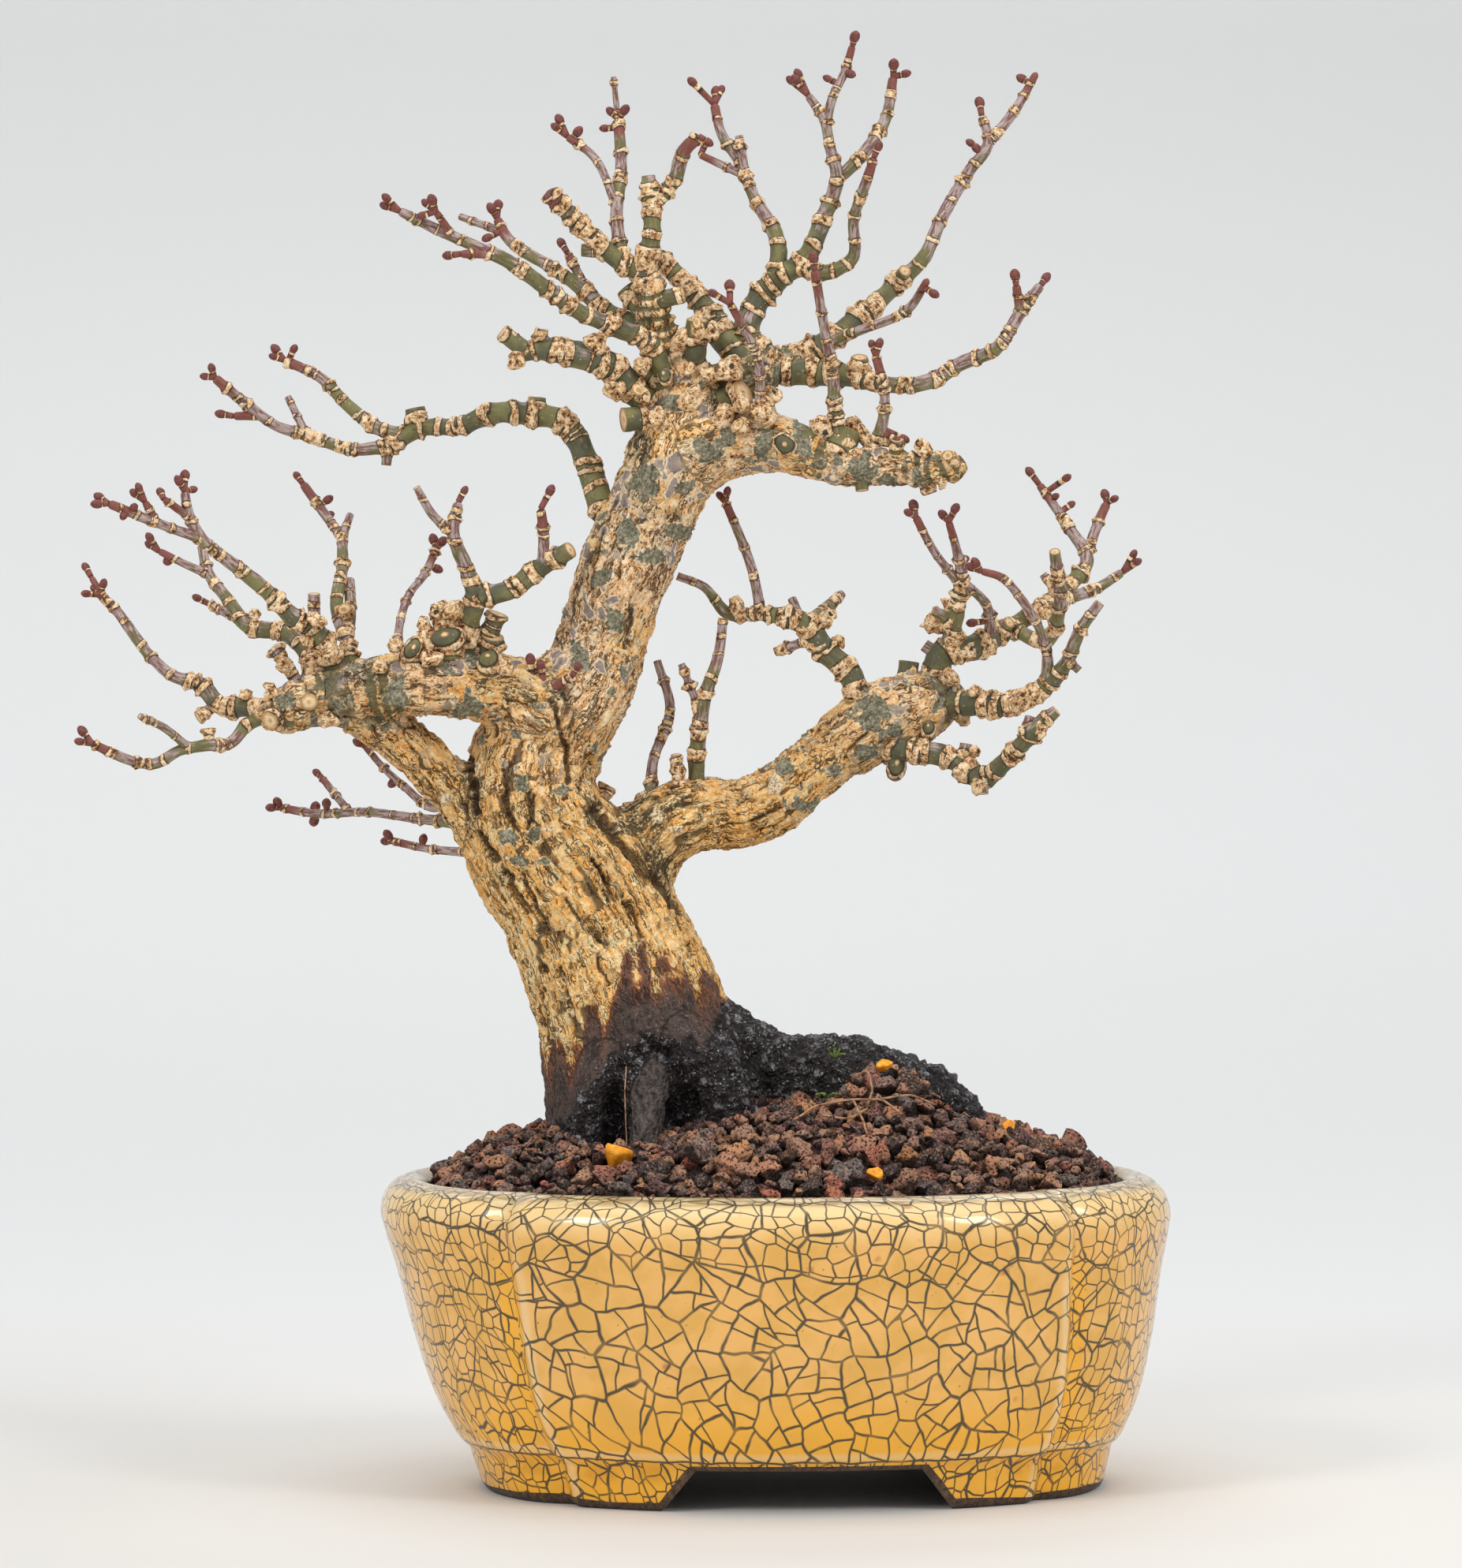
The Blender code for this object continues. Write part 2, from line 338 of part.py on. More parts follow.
# Short cut stubs and corky knobs: parent, root across and up, tip across and up, radius, depth step
STUBS = (
    ("front_arm", -70, 166, -70.9, 173.4, 2.7, -2), ("front_arm", -78, 165, -79, 171, 2.4, -3),
    ("front_arm", -61.5, 164, -62, 169.6, 3.2, -5), ("front_arm", -66, 168, -60, 177, 2, -1),
    ("left_limb", -90, 160, -87, 166.6, 2.2, -3), ("l1", -118.5, 150.2, -118.6, 153.6, 0.9, 0),
    ("l2", -116.9, 158.6, -120.7, 155.8, 1.1, 0), ("left_limb", -98, 159, -105.1, 170.1, 1.3, 3),
    ("lb", -76, 214.4, -76.8, 218.6, 2.2, 0), ("lb", -52, 217, -51.9, 220.6, 1.8, 0),
    ("lb", -82.2, 210.6, -82.5, 207, 1.1, 0), ("ul1", -48, 230.6, -52.4, 234, 1.3, -1),
    ("trunk", -24, 218, -34.5, 216.2, 2.6, -7), ("trunk", -22, 219, -31.8, 227, 1.6, -4),
    ("trunk", -21, 219, -19.5, 236.5, 2.4, -3), ("trunk", -20, 216, -10, 221.5, 3.2, -4),
    ("trunk", -19, 213, -2.5, 211, 3, 4), ("crown_left", -28, 236, -33.8, 243, 2.4, 1),
    ("crown_left", -28.6, 240, -22.3, 241.6, 1.8, -1), ("uc1", -37.5, 250.4, -42.9, 250.6, 1.4, 0),
    ("upper_limb", 26, 206.3, 27.7, 201.3, 1.5, 0), ("upper_limb", 13.5, 206.8, 14, 201.9, 1.4, 0),
    ("upper_limb", 8, 208, 10.9, 214.6, 3.4, -1), ("upper_limb", 20.6, 206.8, 21, 212.4, 1.5, -2),
    ("upper_limb", 3, 209.6, 2.7, 214.4, 3, -1), ("tr3", 13, 225, 13.4, 229, 1.7, -1),
    ("tr4", 21, 243.8, 22.6, 246.4, 1.5, -3), ("right_limb", 22, 157.4, 23.4, 167.2, 2.3, 2),
    ("right_limb", 20, 156, 20.4, 143.6, 2.7, -3), ("ra", 2, 174.8, -0.3, 180, 1, 2),
    ("ra", 2.6, 170.6, -3.6, 169.2, 1, 0), ("ra_straight", -18.8, 156, -22.7, 166.8, 0.8, 0),
    ("right_limb", -22.5, 135.4, -23.8, 148.4, 1.1, -4), ("rf", 38.1, 143.6, 38.1, 140.4, 1.6, 0),
    ("rf", 34.4, 146.2, 35.1, 150.6, 1.4, 0), ("rf", 46.6, 151, 48.2, 156, 1.3, 0),
    ("rc", 41.5, 173, 43.9, 175.2, 1.4, -3), ("rc", 30.2, 168, 26.6, 170.6, 1.4, 0),
    ("rg", 32.6, 175.4, 28.4, 177.6, 1.2, 0), ("rd", 53.6, 181, 50.6, 185, 0.9, 0),
    ("re", 55.8, 167.6, 58, 165.4, 0.9, 0), ("trunk", -33, 134, -37.7, 142, 1.6, 10),
    ("l3", -96.8, 173.4, -97.2, 181, 1.3, 0), ("tm1_rear", -9.6, 265.2, -11, 273.6, 0.9, 0),
)

# Yellow grains lying in the gravel: across, depth, length and height
YELLOW_GRAINS = (("front_left", -36.0, -34.0, 5.6, 5.2), ("root_top", 18.4, -13.0, 3.5, 2.6),
                 ("right", 44.0, -2.0, 3.2, 3.2), ("front_right", 16.6, -43.0, 3.4, 2.8))


def clear_scene():
    """Remove whatever the file opened with."""
    for item in list(bpy.data.objects):
        bpy.data.objects.remove(item, do_unlink=True)
    for item in list(bpy.data.collections):
        bpy.data.collections.remove(item)


def new_collection(name):
    """Return a new collection linked to the scene."""
    collection = bpy.data.collections.new(name)
    bpy.context.scene.collection.children.link(collection)
    return collection


def new_material(name, colour, roughness, metallic=0.0):
    """Return a Principled material."""
    material = bpy.data.materials.new(name)
    material.use_nodes = True
    shader = material.node_tree.nodes["Principled BSDF"]
    shader.inputs["Base Color"].default_value = (*colour, 1.0)
    shader.inputs["Roughness"].default_value = roughness
    shader.inputs["Metallic"].default_value = metallic
    return material


def add_mesh(name, mesh, collection):
    """Link a mesh as an object in a collection."""
    item = bpy.data.objects.new(name, mesh)
    collection.objects.link(item)
    return item


def finish(item, material, crease=math.radians(40)):
    """Give a piece its one material and smooth shading between its creases."""
    item.data.materials.clear()
    item.data.materials.append(material)
    item.data.shade_smooth()
    item.data.set_sharp_from_angle(angle=crease)
    return item


def mesh_from(bm, name):
    """Turn a bmesh into a mesh with its faces pointing out."""
    bmesh.ops.recalc_face_normals(bm, faces=bm.faces)
    mesh = bpy.data.meshes.new(name)
    bm.to_mesh(mesh)
    bm.free()
    return mesh


def loft(name, rings, centres=(None, None)):
    """Skin closed rings of alike counts; an end is a fan when it has a centre, or one flat face."""
    bm = bmesh.new()
    rows = [[bm.verts.new(point) for point in ring] for ring in rings]
    for low, high in zip(rows, rows[1:]):
        for index in range(len(low)):
            after = (index + 1) % len(low)
            bm.faces.new((low[index], low[after], high[after], high[index]))
    for row, centre in ((rows[0], centres[0]), (rows[-1], centres[1])):
        if centre is None:
            bm.faces.new(row)
            continue
        middle = bm.verts.new(centre)
        for index in range(len(row)):
            bm.faces.new((row[index], row[(index + 1) % len(row)], middle))
    return mesh_from(bm, name)


def evaluated_copy(item, name):
    """Return the mesh of an object with its modifiers applied."""
    graph = bpy.context.evaluated_depsgraph_get()
    mesh = bpy.data.meshes.new_from_object(item.evaluated_get(graph))
    mesh.name = name
    return mesh


def apply_boolean(item, operation, operand=None, collection=None):
    """Join or cut an object by another object, or by all the objects of a collection."""
    cut = item.modifiers.new("Boolean", "BOOLEAN")
    cut.operation = operation
    cut.solver = "MANIFOLD"
    if collection is not None:
        cut.operand_type = "COLLECTION"
        cut.collection = collection
    else:
        cut.object = operand
    mesh = evaluated_copy(item, item.data.name)
    item.modifiers.remove(cut)
    item.data = mesh


def keep_largest_body(mesh):
    """Drop the loose scraps that a cut leaves."""
    bm = bmesh.new()
    bm.from_mesh(mesh)
    unseen = set(bm.verts)
    bodies = []
    while unseen:
        body = {unseen.pop()}
        reached = list(body)
        while reached:
            vert = reached.pop()
            for other in [edge.other_vert(vert) for edge in vert.link_edges]:
                if other in unseen:
                    unseen.discard(other)
                    body.add(other)
                    reached.append(other)
        bodies.append(body)
    bodies.sort(key=len)
    for body in bodies[:-1]:
        bmesh.ops.delete(bm, geom=list(body), context="VERTS")
    bm.to_mesh(mesh)
    bm.free()


def lean(height):
    """The pot leans a little to the left, in step with its height."""
    return RIM_LEAN * height / RIM_Z


def outline_directions(groove_angle):
    """Directions of one quarter of the pot's outline, closer together at the groove."""
    ease = 1.35
    side = [groove_angle * (1 - (1 - step / SIDE_STEPS) ** ease) for step in range(SIDE_STEPS)]
    rest = math.pi / 2 - groove_angle
    front = [groove_angle + rest * (step / FRONT_STEPS) ** ease for step in range(FRONT_STEPS)]
    return side + front


def lobed_ring(half_width, height, inset=0.0, groove=GROOVE_DEPTH):
    """One level of the four-lobed pot: an oval pinched at four grooves."""
    half_depth = half_width - (RIM_HALF_WIDTH - RIM_HALF_DEPTH)
    turn = min(height / RIM_Z, 1.0)
    groove_angle = GROOVE_ANGLE_FOOT + (GROOVE_ANGLE_RIM - GROOVE_ANGLE_FOOT) * turn
    quarter = outline_directions(groove_angle)
    directions = quarter + [math.pi - angle for angle in reversed(quarter[1:])]
    directions.insert(len(quarter), math.pi / 2)
    directions.append(math.pi)
    directions += [math.pi + angle for angle in directions[1:-1]]
    ring = []
    for angle in directions:
        across = abs(math.cos(angle)) / half_width
        along = abs(math.sin(angle)) / half_depth
        radius = (across ** OUTLINE_POWER + along ** OUTLINE_POWER) ** (-1 / OUTLINE_POWER)
        folded = math.atan2(abs(math.sin(angle)), abs(math.cos(angle)))
        away = abs(folded - groove_angle) * radius / GROOVE_WIDTH
        radius -= groove * math.exp(-away ** GROOVE_POWER) + inset
        ring.append(Vector((POT_X + lean(height) + radius * math.cos(angle),
                            radius * math.sin(angle), height)) * MM)
    return ring


def build_pot(parts, cutters, material):
    """A lipped pot on a foot ring that is open at the front and back, with two drain holes."""
    rings = [lobed_ring(FOOT_INNER, UNDERSIDE_Z, groove=FOOT_INNER_GROOVE),
             lobed_ring(FOOT_INNER, 0.0, groove=FOOT_INNER_GROOVE)]
    rings += [lobed_ring(half, height) for half, height in OUTER_SECTION]
    rings += [lobed_ring(half, height, groove=INNER_GROOVE) for half, height in INNER_SECTION]
    centres = (Vector((POT_X, 0, UNDERSIDE_Z)) * MM,
               Vector((POT_X + lean(FLOOR_Z), 0, FLOOR_Z)) * MM)
    pot = add_mesh("pot", loft("pot", rings, centres), parts)
    for cutter in foot_slot(cutters), drain_hole(-1, cutters), drain_hole(1, cutters):
        apply_boolean(pot, "DIFFERENCE", operand=cutter)
    return finish(pot, material)


def foot_slot(cutters):
    """The slot through the foot ring, from front to back, wider at the ground."""
    bm = bmesh.new()
    bmesh.ops.create_cube(bm, size=1)
    for vert in bm.verts:
        half = SLOT_HALF_TOP if vert.co.z > 0 else SLOT_HALF_BOTTOM
        height = SLOT_TOP_Z if vert.co.z > 0 else -1.0
        vert.co = Vector((POT_X + 2 * vert.co.x * half, vert.co.y * CUT_LENGTH, height)) * MM
    return as_cutter("foot_slot", mesh_from(bm, "foot_slot"), cutters)


def drain_hole(side, cutters):
    """One of the two round holes through the floor."""
    bm = bmesh.new()
    bmesh.ops.create_cone(bm, cap_ends=True, segments=DRAIN_SIDES, radius1=DRAIN_RADIUS * MM,
                          radius2=DRAIN_RADIUS * MM, depth=FLOOR_Z * MM)
    bmesh.ops.translate(bm, verts=bm.verts,
                        vec=Vector((POT_X + side * DRAIN_X, 0, UNDERSIDE_Z + MESH_BAR)) * MM)
    return as_cutter("drain_hole", mesh_from(bm, "drain_hole"), cutters)


def as_cutter(name, mesh, cutters):
    """Keep a cutting shape out of the renders."""
    item = add_mesh(name, mesh, cutters)
    item.hide_render = True
    item.display_type = "WIRE"
    return item


def build_drain_mesh(name, side, parts, material):
    """A square of plastic mesh lying on the floor over a drain hole."""
    bm = bmesh.new()
    cell = (MESH_SIZE - MESH_BAR) / MESH_CELLS
    edges = [0.0]
    for index in range(MESH_CELLS):
        edges += [index * cell + MESH_BAR, (index + 1) * cell]
    edges.append(MESH_SIZE)
    low = FLOOR_Z + GAP
    grid = [[bm.verts.new(Vector((POT_X + side * DRAIN_X + x - MESH_SIZE / 2,
                                  y - MESH_SIZE / 2, low)) * MM) for x in edges] for y in edges]
    faces = []
    for row in range(len(edges) - 1):
        for column in range(len(edges) - 1):
            if row % 2 and column % 2:
                continue
            faces.append(bm.faces.new((grid[row][column], grid[row][column + 1],
                                       grid[row + 1][column + 1], grid[row + 1][column])))
    raised = bmesh.ops.extrude_face_region(bm, geom=faces)["geom"]
    bmesh.ops.translate(bm, verts=[item for item in raised if isinstance(item, bmesh.types.BMVert)],
                        vec=(0, 0, MESH_THICKNESS * MM))
    return finish(add_mesh(name, mesh_from(bm, name), parts), material)


def tube_mesh(name, points, radii, sides):
    """A tapering closed tube along points, from a bevelled curve."""
    curve = bpy.data.curves.new(name, "CURVE")
    curve.dimensions = "3D"
    curve.bevel_depth = 1.0
    curve.bevel_resolution = (sides - 4) // 2
    curve.use_fill_caps = True
    spline = curve.splines.new("POLY")
    spline.points.add(len(points) - 1)
    for spot, point, radius in zip(spline.points, points, radii):
        spot.co = (*point, 1)
        spot.radius = radius
    item = bpy.data.objects.new(name, curve)
    bpy.context.scene.collection.objects.link(item)
    bpy.context.view_layer.update()
    mesh = evaluated_copy(item, name)
    bpy.data.objects.remove(item, do_unlink=True)
    bpy.data.curves.remove(curve)
    bm = bmesh.new()
    bm.from_mesh(mesh)
    bmesh.ops.remove_doubles(bm, verts=bm.verts, dist=1e-6)
    bmesh.ops.recalc_face_normals(bm, faces=bm.faces)
    bm.to_mesh(mesh)
    bm.free()
    return mesh


def build_clip(name, side, parts, material):
    """A bent wire over the mesh, down through the hole and out under the floor."""
    middle = POT_X + side * DRAIN_X
    top = FLOOR_Z + MESH_THICKNESS + 2 * GAP + CLIP_RADIUS
    foot = UNDERSIDE_Z - GAP - CLIP_RADIUS
    route = [(-CLIP_FOOT_X, foot), (-CLIP_LEG_X, foot), (-CLIP_LEG_X, top), (CLIP_LEG_X, top),
             (CLIP_LEG_X, foot), (CLIP_FOOT_X, foot)]
    points = [Vector((middle + x, 0, z)) * MM for x, z in route]
    mesh = tube_mesh(name, points, [CLIP_RADIUS * MM] * len(points), 6)
    return finish(add_mesh(name, mesh, parts), material)


def place(across, up, depth):
    """Carry a spot in the front view, at a depth behind the pot's middle, to the pot's axes."""
    depth += SWAY * math.sin(across / 4.6 + up / 5.9)
    nearer = 1 + depth / VIEW_DISTANCE
    x = VIEW_X + (across - VIEW_X) * nearer
    z = VIEW_Z + (up - VIEW_Z) * nearer
    turned_x = x * math.cos(VIEW_TURN) + depth * math.sin(VIEW_TURN)
    turned_y = depth * math.cos(VIEW_TURN) - x * math.sin(VIEW_TURN)
    return Vector((POT_X + turned_x, turned_y, z)) * MM


def nearest_on(route, across, up):
    """The spot of a route of (across, up, radius, depth) that lies nearest in the front view."""
    best = None
    for start, end in zip(route, route[1:]):
        run = Vector((end[0] - start[0], end[1] - start[1]))
        reach = Vector((across - start[0], up - start[1]))
        share = min(max(reach.dot(run) / max(run.length_squared, 1e-9), 0.0), 1.0)
        spot = [a + (b - a) * share for a, b in zip(start, end)]
        distance = math.hypot(across - spot[0], up - spot[1])
        if best is None or distance < best[0]:
            best = (distance, spot)
    return best[1]


def with_depths(points, start, end):
    """Add a depth to each point, in step with the distance along the route."""
    lengths = [0.0]
    for a, b in zip(points, points[1:]):
        lengths.append(lengths[-1] + math.hypot(b[0] - a[0], b[1] - a[1]))
    total = lengths[-1]
    return [(x, z, r, start + (end - start) * at / total)
            for (x, z, r), at in zip(points, lengths)]


def all_routes():
    """Work out every branch as (across, up, radius, depth), children starting inside parents."""
    routes = {"trunk": with_depths(TRUNK, 0.0, 0.0)}
    for branch in LIMBS:
        routes[branch.name] = with_depths(branch.points, *branch.depths)
    for branch in TWIGS:
        first = branch.points[0]
        root = nearest_on(routes[branch.parent], first[0], first[1])
        route = with_depths(branch.points, root[3], branch.depths[1])
        if math.hypot(first[0] - root[0], first[1] - root[1]) > 0.4 * root[2]:
            route.insert(0, (root[0], root[1], first[2], root[3]))
        routes[branch.name] = route
    return routes


def bark_loft(name, route, sides, flute):
    """A heavy limb: rings square to its run, with the shallow flutes of old bark."""
    points = [place(x, z, depth) for x, z, radius, depth in route]
    rings = []
    normal = None
    for index, point in enumerate(points):
        ahead = points[min(index + 1, len(points) - 1)]
        behind = points[max(index - 1, 0)]
        along = (ahead - behind).normalized()
        if normal is None:
            normal = along.cross(Vector((0, 1, 0))).normalized()
        normal = (normal - along * normal.dot(along)).normalized()
        other = along.cross(normal)
        radius = route[index][2] * MM
        ring = []
        for step in range(sides):
            angle = 2 * math.pi * step / sides
            wave = math.cos(3 * angle + index * 0.35) + 0.7 * math.cos(7 * angle - index * 0.5)
            reach = radius * (1 + flute * wave)
            ring.append(point + reach * (math.cos(angle) * normal + math.sin(angle) * other))
        rings.append(ring)
    return loft(name, rings, (points[0], points[-1]))


def bud_mesh(name, root, tip):
    """A pointed bud of four sides on a short neck that is sunk in its twig."""
    along = (tip - root).normalized()
    across = along.cross(Vector((0.3, 1, 0.2))).normalized()
    other = along.cross(across)
    span = (tip - root).length
    levels = [(-0.2 * MM, 0.5), (max(span - 1.0 * MM, 0.6 * MM), 1.15)]
    if span > 3 * MM:
        levels.insert(1, (span - 2.2 * MM, 0.55))
    rings = []
    for at, radius in levels:
        rings.append([root + along * at + radius * MM * (math.cos(turn) * across
                                                         + math.sin(turn) * other)
                      for turn in (0, math.pi / 2, math.pi, 3 * math.pi / 2)])
    return loft(name, rings, (None, root + along * (span + 1.5 * MM)))


def build_tree(parts, material):
    """Roots, trunk, branches, stubs and buds, joined into the one piece that grew."""
    routes = all_routes()
    growth = new_collection("growth")
    for branch in LIMBS:
        sides = 10 if branch.points[0][2] > 6 else 8
        add_mesh(branch.name, bark_loft(branch.name, routes[branch.name], sides, FLUTE), growth)
    for branch in TWIGS:
        route = routes[branch.name]
        sides = 8 if branch.points[0][2] > 2.4 else 6 if branch.points[0][2] > 1.1 else 4
        points = [place(x, z, depth) for x, z, radius, depth in route]
        add_mesh(branch.name, tube_mesh(branch.name, points, [spot[2] * MM for spot in route], sides),
                 growth)
        for index, (x, z) in enumerate(branch.buds):
            root = nearest_on(route, x, z)
            name = f"{branch.name}_bud_{index}"
            step = 0.8 if index % 2 else -0.8
            add_mesh(name, bud_mesh(name, place(root[0], root[1], root[3]),
                                    place(x, z, root[3] + step)), growth)
    for index, (parent, x0, z0, x1, z1, radius, step) in enumerate(STUBS):
        root = nearest_on(routes[parent], x0, z0)
        points = [place(root[0], root[1], root[3]), place(x1, z1, root[3] + step)]
        sides = 6 if radius > 1.7 else 4
        add_mesh(f"stub_{index}", tube_mesh(f"stub_{index}", points, [radius * MM] * 2, sides), growth)
    trunk = bark_loft("maple_tree", routes["trunk"], TRUNK_SIDES, FLUTE)
    tree = add_mesh("maple_tree", trunk, parts)
    apply_boolean(tree, "UNION", collection=growth)
    for item in list(growth.objects):
        bpy.data.objects.remove(item, do_unlink=True)
    bpy.data.collections.remove(growth)
    finish(tree, material)
    return routes


def mound_height(x, y):
    """Height of the gravel at a place from the middle of the mound, in millimetres."""
    half_width, half_depth = INNER_SECTION[0][0] - 1.4, 51.5
    away = math.hypot(x / half_width, y / half_depth)
    power = 2.3 + 1.4 * (x / half_width) ** 2
    heap = math.hypot(x - HEAP_PLACE[0], y - HEAP_PLACE[1]) / HEAP_SPREAD
    return (MOUND_EDGE_Z + MOUND_RISE * (1 - min(away, 1.0) ** power)
            + HEAP_RISE * math.exp(-heap ** 2))


def build_soil(parts, cutters, material, routes):
    """The gravel fill, mounded round the roots, with plain holes for what stands in it."""
    draw = random.Random(SEED)
    rings = [lobed_ring(half, max(height, FLOOR_Z + SOIL_CLEAR), inset=SOIL_CLEAR,
                        groove=INNER_GROOVE) for half, height in reversed(INNER_SECTION)]
    edge = lobed_ring(OUTER_SECTION[-1][0], SOIL_TOP_EDGE_Z, inset=SOIL_CLEAR + 0.1)
    rings.append(edge)
    middle = Vector((POT_X + lean(RIM_Z) + MOUND_CENTRE[0], MOUND_CENTRE[1], 0)) * MM
    for step in range(SOIL_RINGS):
        share = 1 - (step + 0.45) / SOIL_RINGS
        ring = []
        for index, corner in enumerate(edge):
            spot = middle.lerp(Vector((corner.x, corner.y, 0)), share)
            away = (spot - Vector((POT_X + lean(RIM_Z), 0, 0)) * MM) / MM
            rough = draw.uniform(-GRAIN_RELIEF, GRAIN_RELIEF) if step else 0.0
            slide = draw.uniform(-0.25, 0.25) * GRAIN_RELIEF * share
            ring.append(Vector((spot.x + slide * MM, spot.y + slide * MM,
                                (mound_height(away.x, away.y) + rough) * MM)))
        rings.append(ring)
    top = Vector((middle.x, middle.y, (MOUND_EDGE_Z + MOUND_RISE) * MM))
    bottom = Vector((POT_X + lean(FLOOR_Z), 0, FLOOR_Z + SOIL_CLEAR)) * MM
    soil = add_mesh("soil", loft("soil", rings, (bottom, top)), parts)
    for cutter in soil_cutters(cutters, routes):
        apply_boolean(soil, "DIFFERENCE", operand=cutter)
    keep_largest_body(soil.data)
    return finish(soil, material)


def soil_cutters(cutters, routes):
    """Holes for the trunk and roots, pockets for the drain mesh and seats for the yellow grains."""
    found = []
    for name, count in HOLE_POINTS.items():
        route = routes[name][:count]
        grown = [(x, z, r * HOLE_SWELL + HOLE_CLEAR, depth) for x, z, r, depth in route]
        x, z, r, depth = grown[0] if name == "trunk" else grown[-1]
        past = (x, z - HOLE_EXTRA, r, depth)
        grown = [past] + grown if name == "trunk" else grown + [past]
        sides = TRUNK_SIDES if name == "trunk" else HOLE_SIDES
        found.append(as_cutter(f"hole_{name}", bark_loft(f"hole_{name}", grown, sides, 0.0), cutters))
    for side in (-1, 1):
        bm = bmesh.new()
        bmesh.ops.create_cube(bm, size=1)
        for vert in bm.verts:
            vert.co = Vector((POT_X + side * DRAIN_X + vert.co.x * (MESH_SIZE + POCKET_MARGIN),
                              vert.co.y * (MESH_SIZE + POCKET_MARGIN),
                              FLOOR_Z + (POCKET_TOP if vert.co.z > 0 else -1.0))) * MM
        found.append(as_cutter("mesh_pocket", mesh_from(bm, "mesh_pocket"), cutters))
    for name, across, depth, length, height in YELLOW_GRAINS:
        mesh = grain_mesh(f"seat_{name}", across, depth, length, height, SEAT_MARGIN)
        found.append(as_cutter(f"seat_{name}", mesh, cutters))
    return found


def grain_mesh(name, across, depth, length, height, margin=0.0):
    """One angular grain, bedded in the top of the gravel, or its seat when it has a margin."""
    bm = bmesh.new()
    bmesh.ops.create_icosphere(bm, subdivisions=1, radius=0.5)
    spot = place(across, MOUND_EDGE_Z, depth) / MM
    level = mound_height(spot.x - POT_X - lean(RIM_Z), spot.y) + GRAIN_BEDDING * height
    for vert in bm.verts:
        vert.co = Vector((spot.x + vert.co.x * (length + margin),
                          spot.y + vert.co.y * (0.85 * length + margin),
                          level + vert.co.z * (height + margin))) * MM
    return mesh_from(bm, name)


def main():
    """Build every piece."""
    clear_scene()
    parts = new_collection("maple_bonsai")
    cutters = new_collection("cutters")
    bark = new_material("bark", (0.36, 0.25, 0.15), 0.85)
    glaze = new_material("glaze", (0.78, 0.52, 0.20), 0.25)
    gravel = new_material("lava_gravel", (0.09, 0.045, 0.035), 0.95)
    yellow = new_material("yellow_grain", (0.85, 0.42, 0.05), 0.6)
    plastic = new_material("plastic_mesh", (0.03, 0.03, 0.03), 0.6)
    wire = new_material("wire", (0.55, 0.5, 0.45), 0.4, 1.0)
    build_pot(parts, cutters, glaze)
    routes = build_tree(parts, bark)
    build_soil(parts, cutters, gravel, routes)
    for name, across, depth, length, height in YELLOW_GRAINS:
        mesh = grain_mesh(f"yellow_grain_{name}", across, depth, length, height)
        finish(add_mesh(f"yellow_grain_{name}", mesh, parts), yellow)
    for name, side in (("left", -1), ("right", 1)):
        build_drain_mesh(f"drain_mesh_{name}", side, parts, plastic)
        build_clip(f"mesh_clip_{name}", side, parts, wire)


main()
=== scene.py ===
"""Looks of a leafless dwarf Japanese maple bonsai in a crackle-glazed pot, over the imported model."""
import itertools
import json
import math
from collections import namedtuple

import bmesh
import bpy
import numpy as np
from bpy.props import FloatProperty, FloatVectorProperty, IntProperty, PointerProperty
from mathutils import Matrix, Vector

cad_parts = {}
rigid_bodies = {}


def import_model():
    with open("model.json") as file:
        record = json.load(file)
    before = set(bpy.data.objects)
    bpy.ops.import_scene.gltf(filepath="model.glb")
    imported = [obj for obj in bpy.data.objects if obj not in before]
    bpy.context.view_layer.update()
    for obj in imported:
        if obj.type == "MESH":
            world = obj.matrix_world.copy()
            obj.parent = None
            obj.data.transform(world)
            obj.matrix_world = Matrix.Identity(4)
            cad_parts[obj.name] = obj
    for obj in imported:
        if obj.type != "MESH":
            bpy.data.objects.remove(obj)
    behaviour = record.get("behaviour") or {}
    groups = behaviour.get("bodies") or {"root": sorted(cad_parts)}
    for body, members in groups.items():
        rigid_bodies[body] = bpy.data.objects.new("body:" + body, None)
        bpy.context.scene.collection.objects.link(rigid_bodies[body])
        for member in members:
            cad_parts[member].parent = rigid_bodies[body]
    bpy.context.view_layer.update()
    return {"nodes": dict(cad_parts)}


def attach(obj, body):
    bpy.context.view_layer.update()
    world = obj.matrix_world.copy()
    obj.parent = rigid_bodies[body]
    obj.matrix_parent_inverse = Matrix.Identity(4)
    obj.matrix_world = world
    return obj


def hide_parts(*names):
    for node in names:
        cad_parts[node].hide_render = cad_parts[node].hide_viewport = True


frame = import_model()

bl_info = {
    "name": "Maple bonsai looks",
    "version": (1, 0, 0),
    "blender": (4, 5, 0),
    "location": "3D View > Sidebar > Bonsai",
    "description": "Bark, twigs, buds, gravel and glaze for a potted maple",
    "category": "Object",
}

MM = 0.001
BODY = "root"

# The camera, in metres, and its lens in millimetres
CAMERA_PLACE = (-0.0577, -1.2968, 0.173)
CAMERA_AIM = (0.0216, 0.0008, 0.1424)
CAMERA_LENS = 147.1

